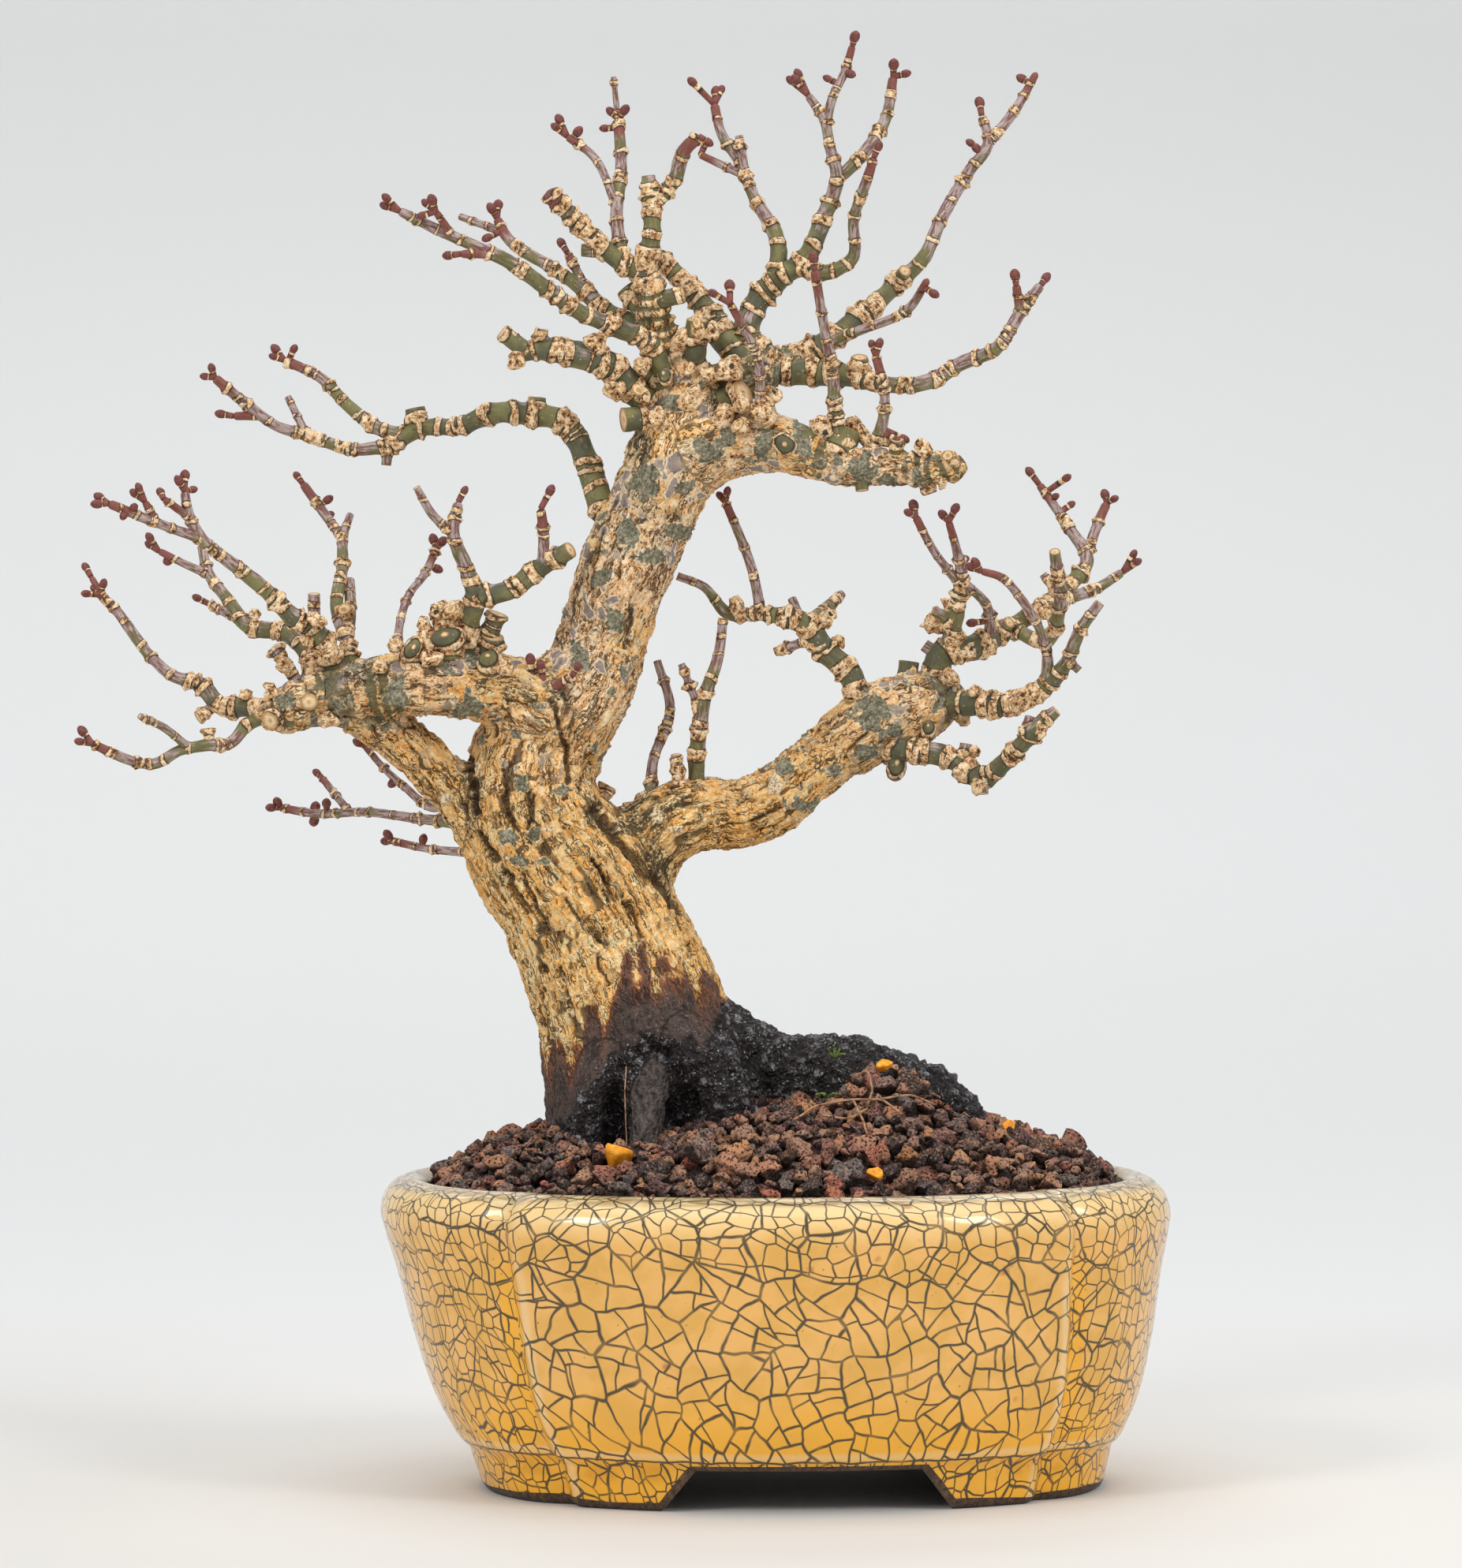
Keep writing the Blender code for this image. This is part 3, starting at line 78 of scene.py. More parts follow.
# The pot, in millimetres from the middle of its foot
POT_X = 34.2
RIM_LEAN = -3.8
RIM_Z = 59.5
RIM_HALF_WIDTH = 80.2
RIM_HALF_DEPTH = 61.4
OUTLINE_POWER = 2.2
GROOVE_ANGLE_FOOT = math.radians(32)
GROOVE_ANGLE_RIM = math.radians(38)
GROOVE_DEPTH = 2.6
INNER_GROOVE = 1.6
FOOT_GROOVE = 1.0
GROOVE_FRONT_WIDTH = 2.7
GROOVE_SIDE_WIDTH = 4.2
GROOVE_POWER = 1.4
SHOULDER_RISE, SHOULDER_AWAY, SHOULDER_WIDTH = 0.5, 4.6, 2.2
UNDERSIDE_Z = 10.2
FLOOR_Z = 16.0
FOOT_INNER = 54.5
SLOT_TOP_Z = 8.6
SLOT_HALF_TOP = 22.3
SLOT_HALF_BOTTOM = 29.5
DRAIN_RADIUS = 8.0
DRAIN_X = 30.0
CUT_LENGTH = 160.0
POT_SIDES = 400
WALL_THICKNESS = 3.2
LIP_Z = 57.5
LIP_HALF_WIDTH = 80.1
INSIDE_TOP_Z = 61.0
FOOT_LINE_Z = 10.2

# A level at the middle of the wall: its half-width and height
WALL_MIDDLE = (76.0, 38.0)

# Half-width and height of each turn of the pot's section, outside then inside
OUTER_SECTION = ((61.8, 0.0), (62.6, 0.5), (64.0, 4.0), (64.9, 7.0), (65.3, 8.6), (66.3, 9.7),
                 (67.4, 10.8), (68.6, 13.0), (70.6, 17.0), (74.6, 30.0), (77.7, 45.0),
                 (79.4, 52.0), (80.1, 55.8), (79.8, 58.2), (78.8, 60.3), (77.2, 61.9),
                 (75.0, 62.9), (73.0, 63.1), (71.4, 62.3), (70.5, 60.6))
INNER_SECTION = ((70.9, 57.0), (70.6, 45.0), (66.0, 24.0), (60.0, FLOOR_Z))

# The gravel mound
MOUND_EDGE_Z = 61.4
MOUND_RISE = 16.0
MOUND_HALF_WIDTH = 69.8
MOUND_HALF_DEPTH = 51.5
HEAP_PLACE = (22.0, -12.0)
HEAP_RISE = 10.0
HEAP_SPREAD = 8.5
GRAIN_BEDDING = 0.12
ROOT_DIP = (-29.0, -17.0)
DIP_SPREAD = (14.0, 9.0)
DIP_DEPTH = 5.0

# The front view that the tree was measured in
VIEW_X = -12.6
VIEW_Z = 173.0
VIEW_DISTANCE = 1300.0
VIEW_TURN = math.radians(3.5)
SWAY = 1.3

Twig = namedtuple("Twig", "name parent depth points buds", defaults=((),))

# Across, up and thickness radius along the trunk
TRUNK = ((-31, 50, 18.5), (-31, 62, 18.8), (-31.5, 75, 18.8), (-32, 88, 19), (-33, 97, 19),
         (-36, 104.5, 18.2), (-38.5, 110, 17.6), (-43.5, 120, 17), (-50.5, 130, 15.8),
         (-53.5, 139, 14), (-51.5, 149, 13), (-46.5, 157, 11.3), (-41.5, 164, 9.8),
         (-39, 171, 9.2), (-36.4, 180, 9.2), (-32.5, 190, 9.6), (-27.5, 200, 9.3),
         (-24, 208, 9.5), (-21.5, 215, 8.8), (-20.5, 221, 6.5))

# Heavy limbs and roots: depth at the foot and the tip, then points like the trunk's
LIMBS = (
    ("big_root", (2, 0), ((-20, 88, 13), (-8, 84.5, 9.5), (2, 82.5, 8.7), (11, 82, 9.3), (18, 81, 7.5),
     (27, 79.5, 6), (34, 75, 4.5), (40, 69, 3), (45, 62, 2.2))),
    ("front_root", (-13, -27), ((-29, 92, 3.4), (-28.9, 84, 3.2), (-29.5, 76, 3.1), (-30.3, 68, 2.8),
     (-31, 58, 2.2))),
    ("skirt_left", (-15, -15), ((-33, 93, 4), (-38.5, 86, 4.2), (-40.5, 76, 4), (-41, 62, 3.5))),
    ("skirt_right", (-12, -16), ((-24, 92, 5), (-17, 86, 5.5), (-13, 77, 5), (-11, 61, 4))),
    ("rear_root", (10, 27), ((-30, 88, 8), (-27, 79, 6.5), (-24, 70, 5), (-22, 60, 3.6))),
    ("right_limb", (0, 12), ((-38, 122, 9), (-31, 129, 8.5), (-25, 134.5, 8), (-18, 136.4, 7.4),
     (-11, 136.4, 7.1), (-4, 139.2, 6.9), (3, 144.8, 6.3), (8.5, 149, 6.6), (14, 153, 7.4),
     (21, 156.8, 7.6), (27, 158.5, 6.4), (31, 159.6, 4.2))),
    ("left_limb", (-2, -8), ((-55, 128, 7), (-62, 133, 6), (-68.6, 140.4, 5), (-75.4, 147.7, 5),
     (-81, 152.7, 5), (-86, 156.6, 5.3), (-92, 160, 5.6), (-100, 158.6, 4.8), (-106.5, 156.2, 3))),
    ("front_arm", (-6, -12), ((-51, 158, 7.5), (-58, 161.5, 7.2), (-66, 162.7, 6.8), (-75, 163, 6.3),
     (-84, 162.5, 5.8), (-90, 161, 4.6))),
    ("upper_limb", (-3, -9), ((-20, 210, 8), (-11, 212, 7), (-3, 211.5, 5.5), (5, 208.5, 4.5),
     (12, 206.7, 3.8), (20, 206.5, 3.6), (27, 206.3, 3.2), (32.5, 206.8, 2.7))),
    ("crown_right", (0, 8), ((-20, 216, 6.5), (-13, 223, 5), (-6, 226.5, 4.2), (0, 228.5, 3.2))),
    ("crown_left", (0, -2), ((-21, 218, 6.5), (-24, 226, 4.6), (-27.5, 233, 4.2), (-28.8, 238, 3.6),
     (-29.3, 243, 3))))

# Branches and twigs: parent, depth at the tip, points, and across and up for each bud
TWIGS = tuple(Twig(*row) for row in (
    ("l1", "left_limb", -22, ((-105, 156.5, 1.6), (-110.7, 154.4, 1.5), (-114.1, 150.8, 1.3),
     (-119.7, 150.2, 1.3), (-124.2, 149.3, 1.2), (-129.8, 146.5, 1.2), (-133.2, 146.8, 1.1),
     (-137.1, 148.2, 1.1), (-142.2, 150.6, 0.9)), ((-144.7, 151), (-144.1, 153))),
    ("l1_side", "l1", -24, ((-122.5, 149.6, 1), (-127.6, 153.8, 0.9), (-132.6, 156.2, 0.7))),
    ("l2", "left_limb", 2, ((-104, 157, 2.2), (-109.6, 157.8, 2.1), (-116.3, 158.5, 2),
     (-120.3, 162.5, 1.7), (-125.9, 164.4, 1.3), (-130.4, 168.4, 1.2), (-134.3, 173.5, 1.2),
     (-137.1, 177.4, 1.1), (-140.5, 180.8, 1)), ((-143.3, 181), (-141.6, 181.9), (-139.9, 182.9))),
    ("l2_tip", "l2", 3, ((-140, 180.4, 0.8), (-142.4, 184.5, 0.7)), ((-143.4, 186.3),)),
    ("l3", "left_limb", -24, ((-91.1, 162, 2.6), (-93.9, 168.4, 2.2), (-96.2, 172.5, 2.1),
     (-101.7, 176.5, 2), (-105.6, 180.5, 1.7), (-111.3, 185.3, 1.6), (-115.2, 188.1, 1.4),
     (-120.3, 192.6, 1.3), (-122.5, 197.2, 1.1), (-123.4, 201.8, 1)), ((-124.5, 203.8),
     (-121.8, 202.1))),
    ("l3_left", "l3", -28, ((-119.5, 192, 1.2), (-125.9, 194.2, 1.1), (-133.2, 197, 1.1),
     (-138.8, 199.3, 1)), ((-141, 199.2), (-140.6, 200.5), (-135.7, 196.9))),
    ("l3_fork", "l3_left", -26, ((-129.2, 195.8, 0.9), (-131.5, 199.8, 0.8)), ((-133.4, 201.3),
     (-132.6, 202.4))),
    ("l3_mid", "l3", -26, ((-122.2, 196.4, 1), (-127.6, 200.2, 0.8)), ((-128.2, 201.5),)),
    ("l4", "left_limb", 12, ((-97, 160, 2.4), (-98, 168, 2), (-102.9, 172.9, 1.8),
     (-110.7, 174.5, 1.7), (-114.1, 179.1, 1.4), (-118.6, 185.3, 1.2), (-120, 191, 1)),
     ((-120.6, 192.8),)),
    ("l4_left", "l4", 10, ((-118, 184.6, 1), (-123.1, 186.9, 0.9), (-128.7, 189.7, 0.8)),
     ((-130.4, 190.9), (-130.4, 192.3), (-126.7, 187.8))),
    ("l4_bud_twig", "l4", 16, ((-110, 174.4, 1.1), (-118.4, 178.9, 0.9)), ((-120.8, 180.1),)),
    ("l5", "left_limb", 18, ((-89, 160, 2), (-90.2, 170.1, 1.6), (-92.6, 178.5, 1.5),
     (-91.4, 186.4, 1.3), (-91.2, 192.8, 1.1), (-89.8, 197, 0.8))),
    ("l5_left", "l5", 22, ((-91.2, 192, 1.1), (-96.1, 198.7, 1.1), (-99.4, 203.3, 1)),
     ((-100.5, 204.8), (-94.4, 200))),
    ("l5_stub", "l5", 12, ((-90.4, 172, 1.4), (-89.8, 178, 1.3), (-90, 183.6, 1.2))),
    ("l6", "front_arm", 26, ((-80, 163, 1.4), (-80.2, 172, 1), (-77.6, 181.3, 0.9),
     (-74.8, 184.9, 0.9), (-72.4, 190, 0.9)), ((-72.9, 191.9), (-71.2, 191.5), (-72.3, 186.1))),
    ("l7", "front_arm", -18, ((-66.6, 165, 2.8), (-66, 174, 2.4), (-64.4, 180.4, 2.1),
     (-66.4, 186.4, 1.6), (-68.9, 193.1, 1.4), (-67.9, 199.6, 1.1)), ((-66.7, 201.8),)),
    ("l7_left", "l7", -20, ((-68.8, 193, 1.1), (-73.1, 197, 1), (-76.4, 202.6, 0.8))),
    ("l7_right", "l7", -16, ((-64.6, 180, 2.2), (-57.4, 181.9, 2.2), (-51.2, 186.4, 2),
     (-45.1, 190, 1.8))),
    ("l7_up", "l7_right", -18, ((-50.8, 186.6, 1.3), (-50.6, 193, 1.2), (-51.2, 198.2, 1)),
     ((-49.3, 201.8),)),
    ("low_a", "left_limb", 26, ((-64, 134, 1.6), (-77, 135.5, 1.1), (-86.6, 136.7, 1),
     (-96.7, 136.4, 1), (-104.2, 137.6, 0.9)), ((-105.9, 137.6), (-97.2, 135), (-94.7, 138.4))),
    ("low_a_fork", "low_a", 28, ((-90, 136.6, 0.9), (-95.6, 143.6, 0.8)), ((-96.6, 144.6),)),
    ("low_b", "trunk", 18, ((-57, 130, 1.4), (-73.1, 129.1, 0.9), (-81.3, 130.8, 0.9)), ((-82.2, 132),
     (-82.6, 130.8))),
    ("low_c", "left_limb", 14, ((-71, 138, 1), (-79.4, 142.3, 0.9), (-83.4, 146, 0.8),
     (-86.8, 150, 0.8)), ((-88.2, 150.8),)),
    ("lb", "trunk", 14, ((-32, 190, 3.2), (-38.8, 199, 3), (-41.9, 208, 2.7), (-46.4, 215.5, 2.5),
     (-54, 217.5, 2.4), (-61.6, 217.3, 2.2), (-68, 214.9, 2), (-75.1, 214.6, 1.9),
     (-82.4, 210.4, 1.7))),
    ("lb1", "lb", 10, ((-81.5, 210.9, 1.5), (-88.6, 210.2, 1.4), (-98.6, 213.1, 1.3),
     (-104.5, 214.9, 1.2), (-110.3, 219, 1.2), (-117.3, 224.8, 1.1)), ((-119.1, 225),
     (-117.8, 226.6))),
    ("lb1_low", "lb1", 12, ((-107.5, 217, 1), (-113.5, 217, 0.9)), ((-115.9, 217.4),)),
    ("lb1_up", "lb1", 16, ((-98.6, 213.1, 1), (-102.4, 220.8, 0.8))),
    ("lb2", "lb", 20, ((-78.5, 212.8, 1.6), (-84.9, 214.9, 1.5), (-90.4, 219.3, 1.4),
     (-95.7, 224.7, 1.2), (-103.1, 228.3, 1.1)), ((-105.2, 229), (-104.8, 230.4), (-101.2, 230.5))),
    ("ul1", "trunk", -12, ((-24, 215, 3.4), (-31.1, 220.8, 3), (-36.5, 226.6, 2.9), (-44.6, 229.6, 3),
     (-52, 230.4, 2.3), (-55.4, 229.5, 1.8))),
    ("ul1_up", "ul1", -13, ((-54, 230, 2), (-59, 234, 1.8))),
    ("ul2", "trunk", -26, ((-22.5, 215, 2.8), (-26, 223.5, 2.5), (-29, 231.4, 2.1),
     (-35.8, 234.9, 1.9), (-42.8, 237.8, 1.8), (-49.6, 242.5, 1.7), (-56.9, 247.8, 1.6),
     (-65.7, 251.9, 1.3), (-72.2, 254.8, 1.2), (-79.8, 258.5, 1)), ((-82.5, 259.5), (-82.3, 261))),
    ("ul2_fork", "ul2", -26, ((-69, 253.4, 0.9), (-72.4, 258.4, 0.8)), ((-74.3, 260), (-75.1, 257.6))),
    ("ul2_low", "ul2", -24, ((-60.6, 249.7, 1), (-67.4, 249.8, 0.9)), ((-69.8, 249.5),)),
    ("ul3", "crown_left", 14, ((-28, 234, 2.2), (-38, 238.5, 1.9), (-44, 243.7, 1.6),
     (-49.3, 247.2, 1.4), (-58.7, 254.2, 1.2), (-60, 257, 1)), ((-61.1, 258.9), (-59.8, 259.6),
     (-61.9, 253.1))),
    ("ul3_left", "ul3", 18, ((-58.7, 254.2, 1), (-67.4, 257.3, 0.8))),
    ("ul3_mid", "ul3", 8, ((-41.7, 242.2, 1.1), (-45.8, 250.1, 0.9)), ((-46.9, 251.9),)),
    ("uc1", "crown_left", -10, ((-29.3, 244.5, 2.2), (-35.2, 248.4, 2.1), (-40.5, 253.1, 1.9),
     (-46.4, 258.9, 1.9), (-49.6, 262.4, 1.9)), ((-48.4, 259.8),)),
    ("uc2", "uc1", 8, ((-34.6, 248, 1.6), (-35.8, 257.7, 1.4), (-34.9, 266, 1.3), (-35.4, 277, 1.2)),
     ((-36.9, 278.5), (-34.2, 278.8), (-38.1, 275.2))),
    ("uc2_left", "uc2", 6, ((-35.8, 259.5, 1), (-40.5, 269.5, 0.9), (-45.8, 273.6, 0.9)),
     ((-48.1, 275.4), (-47.3, 276.8), (-43.7, 274.4))),
    ("uc2_dead", "uc2", 8, ((-35.5, 276.5, 0.7), (-36.4, 285.6, 0.6))),
    ("uc3", "crown_left", -4, ((-29.3, 242.5, 3), (-30.2, 246.5, 2.6), (-28.8, 252.5, 2.1),
     (-28.8, 260.1, 1.9), (-29.4, 265.6, 1.5))),
    ("uc3_right", "uc3", -6, ((-28.7, 259.4, 1.6), (-24.1, 264.8, 1.6), (-21.7, 271.2, 1.5),
     (-19.1, 273.6, 1.3)), ((-17.3, 272.4),)),
    ("cr1", "crown_right", 14, ((-8, 225.6, 3.8), (-14.2, 233.1, 3.2), (-19.3, 240.8, 2.4),
     (-27.5, 249.5, 1.8))),
    ("tm1", "crown_right", 4, ((-4.5, 227, 3.6), (-9.6, 233.6, 3), (-7.6, 239.5, 2.7),
     (-2.9, 244.8, 2.5), (1.7, 248.2, 2.3), (6.3, 257.6, 1.8), (8.8, 265.5, 1.5), (7.3, 271.8, 1.2),
     (6.4, 276.5, 1.1), (2.9, 282, 0.9)), ((0.6, 284.9), (1, 286))),
    ("tm1_tip", "tm1", 3, ((6.6, 276, 1.1), (8, 281.6, 1), (10.3, 286.4, 0.9), (12, 292, 0.8)),
     ((12.4, 293.6), (7, 285.2))),
    ("tm1_right", "tm1", 16, ((8.6, 264.6, 1.4), (14.4, 270.4, 1.4), (18.6, 277, 1.3),
     (20.2, 285.6, 1)), ((20.3, 288), (22.6, 286.2))),
    ("tm1_low", "tm1", -10, ((1, 247.6, 1.9), (6.5, 246, 1.7), (12, 249, 1.4), (12.2, 256.4, 1.2),
     (15.4, 266.3, 1.1), (16.3, 269.4, 0.9)), ((17.2, 271.4),)),
    ("tm1_rear", "tm1", 22, ((-3.6, 244.2, 2), (-3.2, 252.3, 1.8), (-8, 261.4, 1.3),
     (-10.6, 267.8, 1.2), (-14.7, 274.5, 1.1), (-16, 280, 1)), ((-15.7, 282.6), (-20.4, 284.5))),
    ("tm1_rear_low", "tm1_rear", 20, ((-9.8, 265.6, 1), (-19, 269.9, 0.8)), ((-17.7, 272.2),)),
    ("f1", "upper_limb", -22, ((-7.5, 212, 1.3), (-7.2, 228.5, 1), (-12.8, 239.8, 0.9)),
     ((-16.2, 241.8), (-12.9, 243.3))),
    ("tr1", "upper_limb", -20, ((10.2, 207.5, 1.6), (8.4, 219.3, 1.4), (7.9, 226.5, 1.3),
     (6.5, 233.6, 1.1), (4.3, 246.6, 1)), ((4.1, 248.9),)),
    ("tr2", "upper_limb", -12, ((13.6, 207, 1.5), (17.8, 214.6, 1.3), (18.5, 221.4, 1.1),
     (16.7, 229.2, 1)), ((16, 231.4), (17.4, 231.6))),
    ("tr3", "crown_right", -14, ((-5, 226.4, 3.2), (4, 225.6, 2.8), (12, 225, 2.4), (19, 223.4, 1.8),
     (27, 223.8, 1.7), (33.8, 227.5, 1.6), (41.2, 230.8, 1.4), (46.1, 238.2, 1.3), (50.2, 243.6, 1)),
     ((51.1, 244.9),)),
    ("tr3_left", "tr3", -16, ((46, 238, 1.1), (45.1, 243.6, 0.9)), ((44.9, 245.4),)),
    ("tr4", "crown_right", 22, ((-2, 227.8, 3), (5.8, 231.6, 2.5), (13.4, 236.7, 2.3), (20, 243, 2),
     (26.2, 248.9, 1.6), (30.4, 257.8, 1.4), (35.4, 266.3, 1.3), (39.5, 272.5, 1.2),
     (38.1, 277.8, 0.9)), ((37.7, 280.3), (37.1, 271))),
    ("tr4_right", "tr4", 24, ((39.3, 272, 1.2), (44.6, 278.5, 1.1), (49.2, 286.4, 0.8)),
     ((46.3, 285.2),)),
    ("tr5", "tr4", -4, ((6, 231.8, 1.3), (13.9, 234.5, 1.1), (23.6, 239, 1), (27.2, 244.6, 0.8)),
     ((28.4, 241.8),)),
    ("ra", "right_limb", 8, ((13.5, 153, 3), (11.6, 164.5, 2.7), (6.5, 169.5, 2.6), (2.6, 174.6, 2.5),
     (-6, 176.9, 1.5), (-13, 176.9, 1.4), (-18.3, 182.5, 1), (-23.5, 184.6, 0.9))),
    ("ra_fork", "ra", 14, ((3, 174.5, 2), (9.9, 181, 1))),
    ("ra_up", "ra", 4, ((-6.5, 176.9, 1.2), (-8.3, 185.7, 1.1), (-11.8, 195, 1), (-13.8, 199.6, 0.9)),
     ((-14.8, 200.8), (-13.4, 201.6))),
    ("ra_straight", "right_limb", 2, ((-19.5, 137, 2), (-19.5, 149, 1.8), (-18, 159.8, 1.5),
     (-15.2, 168.4, 1.2), (-14.2, 176, 1))),
    ("rb", "right_limb", 12, ((-28.9, 134, 1.5), (-28.4, 147, 1.2), (-25, 157.6, 1.1),
     (-27.6, 167.4, 0.9))),
    ("rc", "right_limb", 24, ((29, 159, 3.3), (30.2, 168.6, 3), (36.8, 170.3, 2.8), (44.5, 174.5, 2.1),
     (53.4, 179.4, 1.6), (60.9, 181.8, 1.2), (66.8, 185.4, 1)), ((68.6, 187.8), (69.7, 187.4))),
    ("rc2", "rc", 34, ((49, 177.2, 1.8), (55.4, 182.2, 1.8), (59.5, 187.6, 1.6), (55.8, 194.5, 1.2),
     (49.8, 203.2, 0.9)), ((48, 205.6), (55.3, 204.4))),
    ("rc2_right", "rc2", 36, ((59.2, 188.2, 1.3), (62.4, 196.8, 1.1), (63.6, 199.4, 1)), ((63.2, 201),
     (65, 200.2))),
    ("rd", "rc", -6, ((44, 174, 1.7), (51.6, 171.6, 1.6), (53.9, 178, 1.5), (53, 189.6, 1.2))),
    ("re", "right_limb", -10, ((27, 158.4, 3.2), (35, 158.7, 2.7), (43.5, 158.6, 2.4),
     (51, 162.2, 2.1), (55, 166.4, 1.6), (58.4, 174, 1.3), (62.2, 179.2, 1.1))),
    ("re_left", "re", -12, ((51.6, 162.8, 1.6), (51.3, 169.8, 1.1), (46.3, 179.8, 1),
     (42.2, 184.3, 0.9), (38, 185.6, 0.8)), ((36.2, 186.4), (37, 187.2))),
    ("rf", "right_limb", -12, ((15, 151, 3), (23.4, 149.3, 2.6), (32.2, 147.5, 2.3),
     (38.1, 143.6, 2.2), (45, 149, 1.9), (51.3, 155.6, 1.7), (53.4, 157.3, 1.3))),
    ("rg", "rc", -6, ((31.2, 169.4, 1.9), (33.4, 178.6, 1.7), (34.2, 184, 1.4), (33, 190.3, 1),
     (31.5, 195.6, 0.8)), ((30.4, 196.9), (32.8, 198.2), (34.6, 188))),
    ("rg_left", "rg", -8, ((34, 182.6, 1.1), (28.4, 189.8, 0.9), (24.8, 196.6, 0.9)), ((23.4, 197.4),
     (24.4, 198.8))),
    ("rg_right", "rc", 2, ((40, 171.8, 1.4), (39.2, 178.6, 1.1), (35, 183, 1))),
    ("knee_shoot", "front_arm", -13.5, ((-57, 161.4, 1.2), (-52, 161.9, 1.2), (-47.6, 162.6, 1.1),
     (-44.8, 164.4, 0.9)), ((-43.8, 166),))))

# Short cut stubs and corky knobs: parent, root across and up, tip across and up, radius, depth step
STUBS = (
    ("front_arm", -70, 164, -69.9, 170.6, 3.1, -4), ("front_arm", -78, 163, -77.5, 168.6, 2.5, -4),
    ("front_arm", -62.5, 166, -61, 172.4, 2.4, -2), ("front_arm", -66, 168, -60, 177, 2, -1),
    ("left_limb", -90, 160, -87, 166.6, 2.2, -3), ("l1", -118.5, 150.2, -118.6, 153.6, 0.9, 0),
    ("l2", -116.9, 158.6, -120.7, 155.8, 1.1, 0), ("left_limb", -98, 159, -105.1, 170.1, 1.3, 3),
    ("lb", -76, 214.4, -76.8, 218.6, 2.2, 0), ("lb", -52, 217, -51.9, 220.6, 1.8, 0),
    ("lb", -82.2, 210.6, -82.5, 207, 1.1, 0), ("ul1", -48, 230.6, -52.4, 234, 1.3, -1),
    ("trunk", -24, 218, -34.5, 216.2, 2.6, -7), ("trunk", -22, 219, -31.8, 227, 1.6, -4),
    ("trunk", -21, 219, -19.5, 236.5, 2.4, -3), ("trunk", -20, 216, -10, 221.5, 3.2, -4),
    ("trunk", -19, 213, -2.5, 211, 3, 4), ("crown_left", -28, 236, -33.8, 243, 2.4, 1),
    ("crown_left", -28.6, 240, -22.3, 241.6, 1.8, -1), ("uc1", -37.5, 250.4, -42.9, 250.6, 1.4, 0),
    ("upper_limb", 26, 206.3, 27.7, 201.3, 1.5, 0), ("upper_limb", 13.5, 206.8, 14, 201.9, 1.4, 0),
    ("upper_limb", 8, 208, 10.9, 214.6, 3.4, -1), ("upper_limb", 20.6, 206.8, 21, 212.4, 1.5, -2),
    ("upper_limb", 3, 209.6, 2.7, 214.4, 3, -1), ("tr3", 13, 225, 13.4, 229, 1.7, -1),
    ("tr4", 21, 243.8, 22.6, 246.4, 1.5, -3), ("right_limb", 22, 157.4, 23.4, 167.2, 2.3, 2),
    ("right_limb", 20, 156, 20.6, 146.6, 2.6, -3), ("ra", 2, 174.8, -0.3, 180, 1, 2),
    ("ra", 2.6, 170.6, -3.6, 169.2, 1, 0), ("ra_straight", -18.8, 156, -22.7, 166.8, 0.8, 0),
    ("right_limb", -22.5, 135.4, -23.8, 148.4, 1.1, -4), ("rf", 38.1, 143.6, 38.1, 140.4, 1.6, 0),
    ("rf", 34.4, 146.2, 35.1, 150.6, 1.4, 0), ("rf", 46.6, 151, 48.2, 156, 1.3, 0),
    ("rc", 41.5, 173, 43.9, 175.2, 1.4, -3), ("rc", 30.2, 168, 26.6, 170.6, 1.4, 0),
    ("rg", 32.6, 175.4, 28.4, 177.6, 1.2, 0), ("rd", 53.6, 181, 50.6, 185, 0.9, 0),
    ("re", 55.8, 167.6, 58, 165.4, 0.9, 0), ("trunk", -33, 134, -37.7, 142, 1.6, 10),
    ("l3", -96.8, 173.4, -97.2, 181, 1.3, 0), ("tm1_rear", -9.6, 265.2, -11, 273.6, 0.9, 0),
    ("left_limb", -104, 157, -106.2, 155.2, 1.9, -5), ("left_limb", -98, 158, -98.2, 159, 1.9, -6),
)

# Yellow grains lying in the gravel: across, depth, length and height
YELLOW_GRAINS = (("front_left", -36.0, -34.0, 5.6, 5.2), ("root_top", 18.4, -13.0, 3.5, 2.6),
                 ("right", 44.0, -2.0, 3.2, 3.2), ("front_right", 16.6, -43.0, 3.4, 2.8))

# Buds on no twig's own list, across and up
LOOSE_BUDS = (
    (-123.3, 204.9), (-133.7, 198.4), (-93.9, 197), (-104.6, 138.6), (-97, 137.6), (-75.1, 131.1),
    (-81.2, 142.7), (-73.1, 260.6), (-0.4, 284.8), (11.4, 286.2), (-14.7, 282.9), (35.9, 272.2),
    (68.9, 188.9), (53, 200.6), (56.2, 199), (36.3, 175.1), (19.5, 243.8), (20.8, 212.2),
    (22.3, 212.4), (-53.3, 167.6), (-51.2, 166.4))

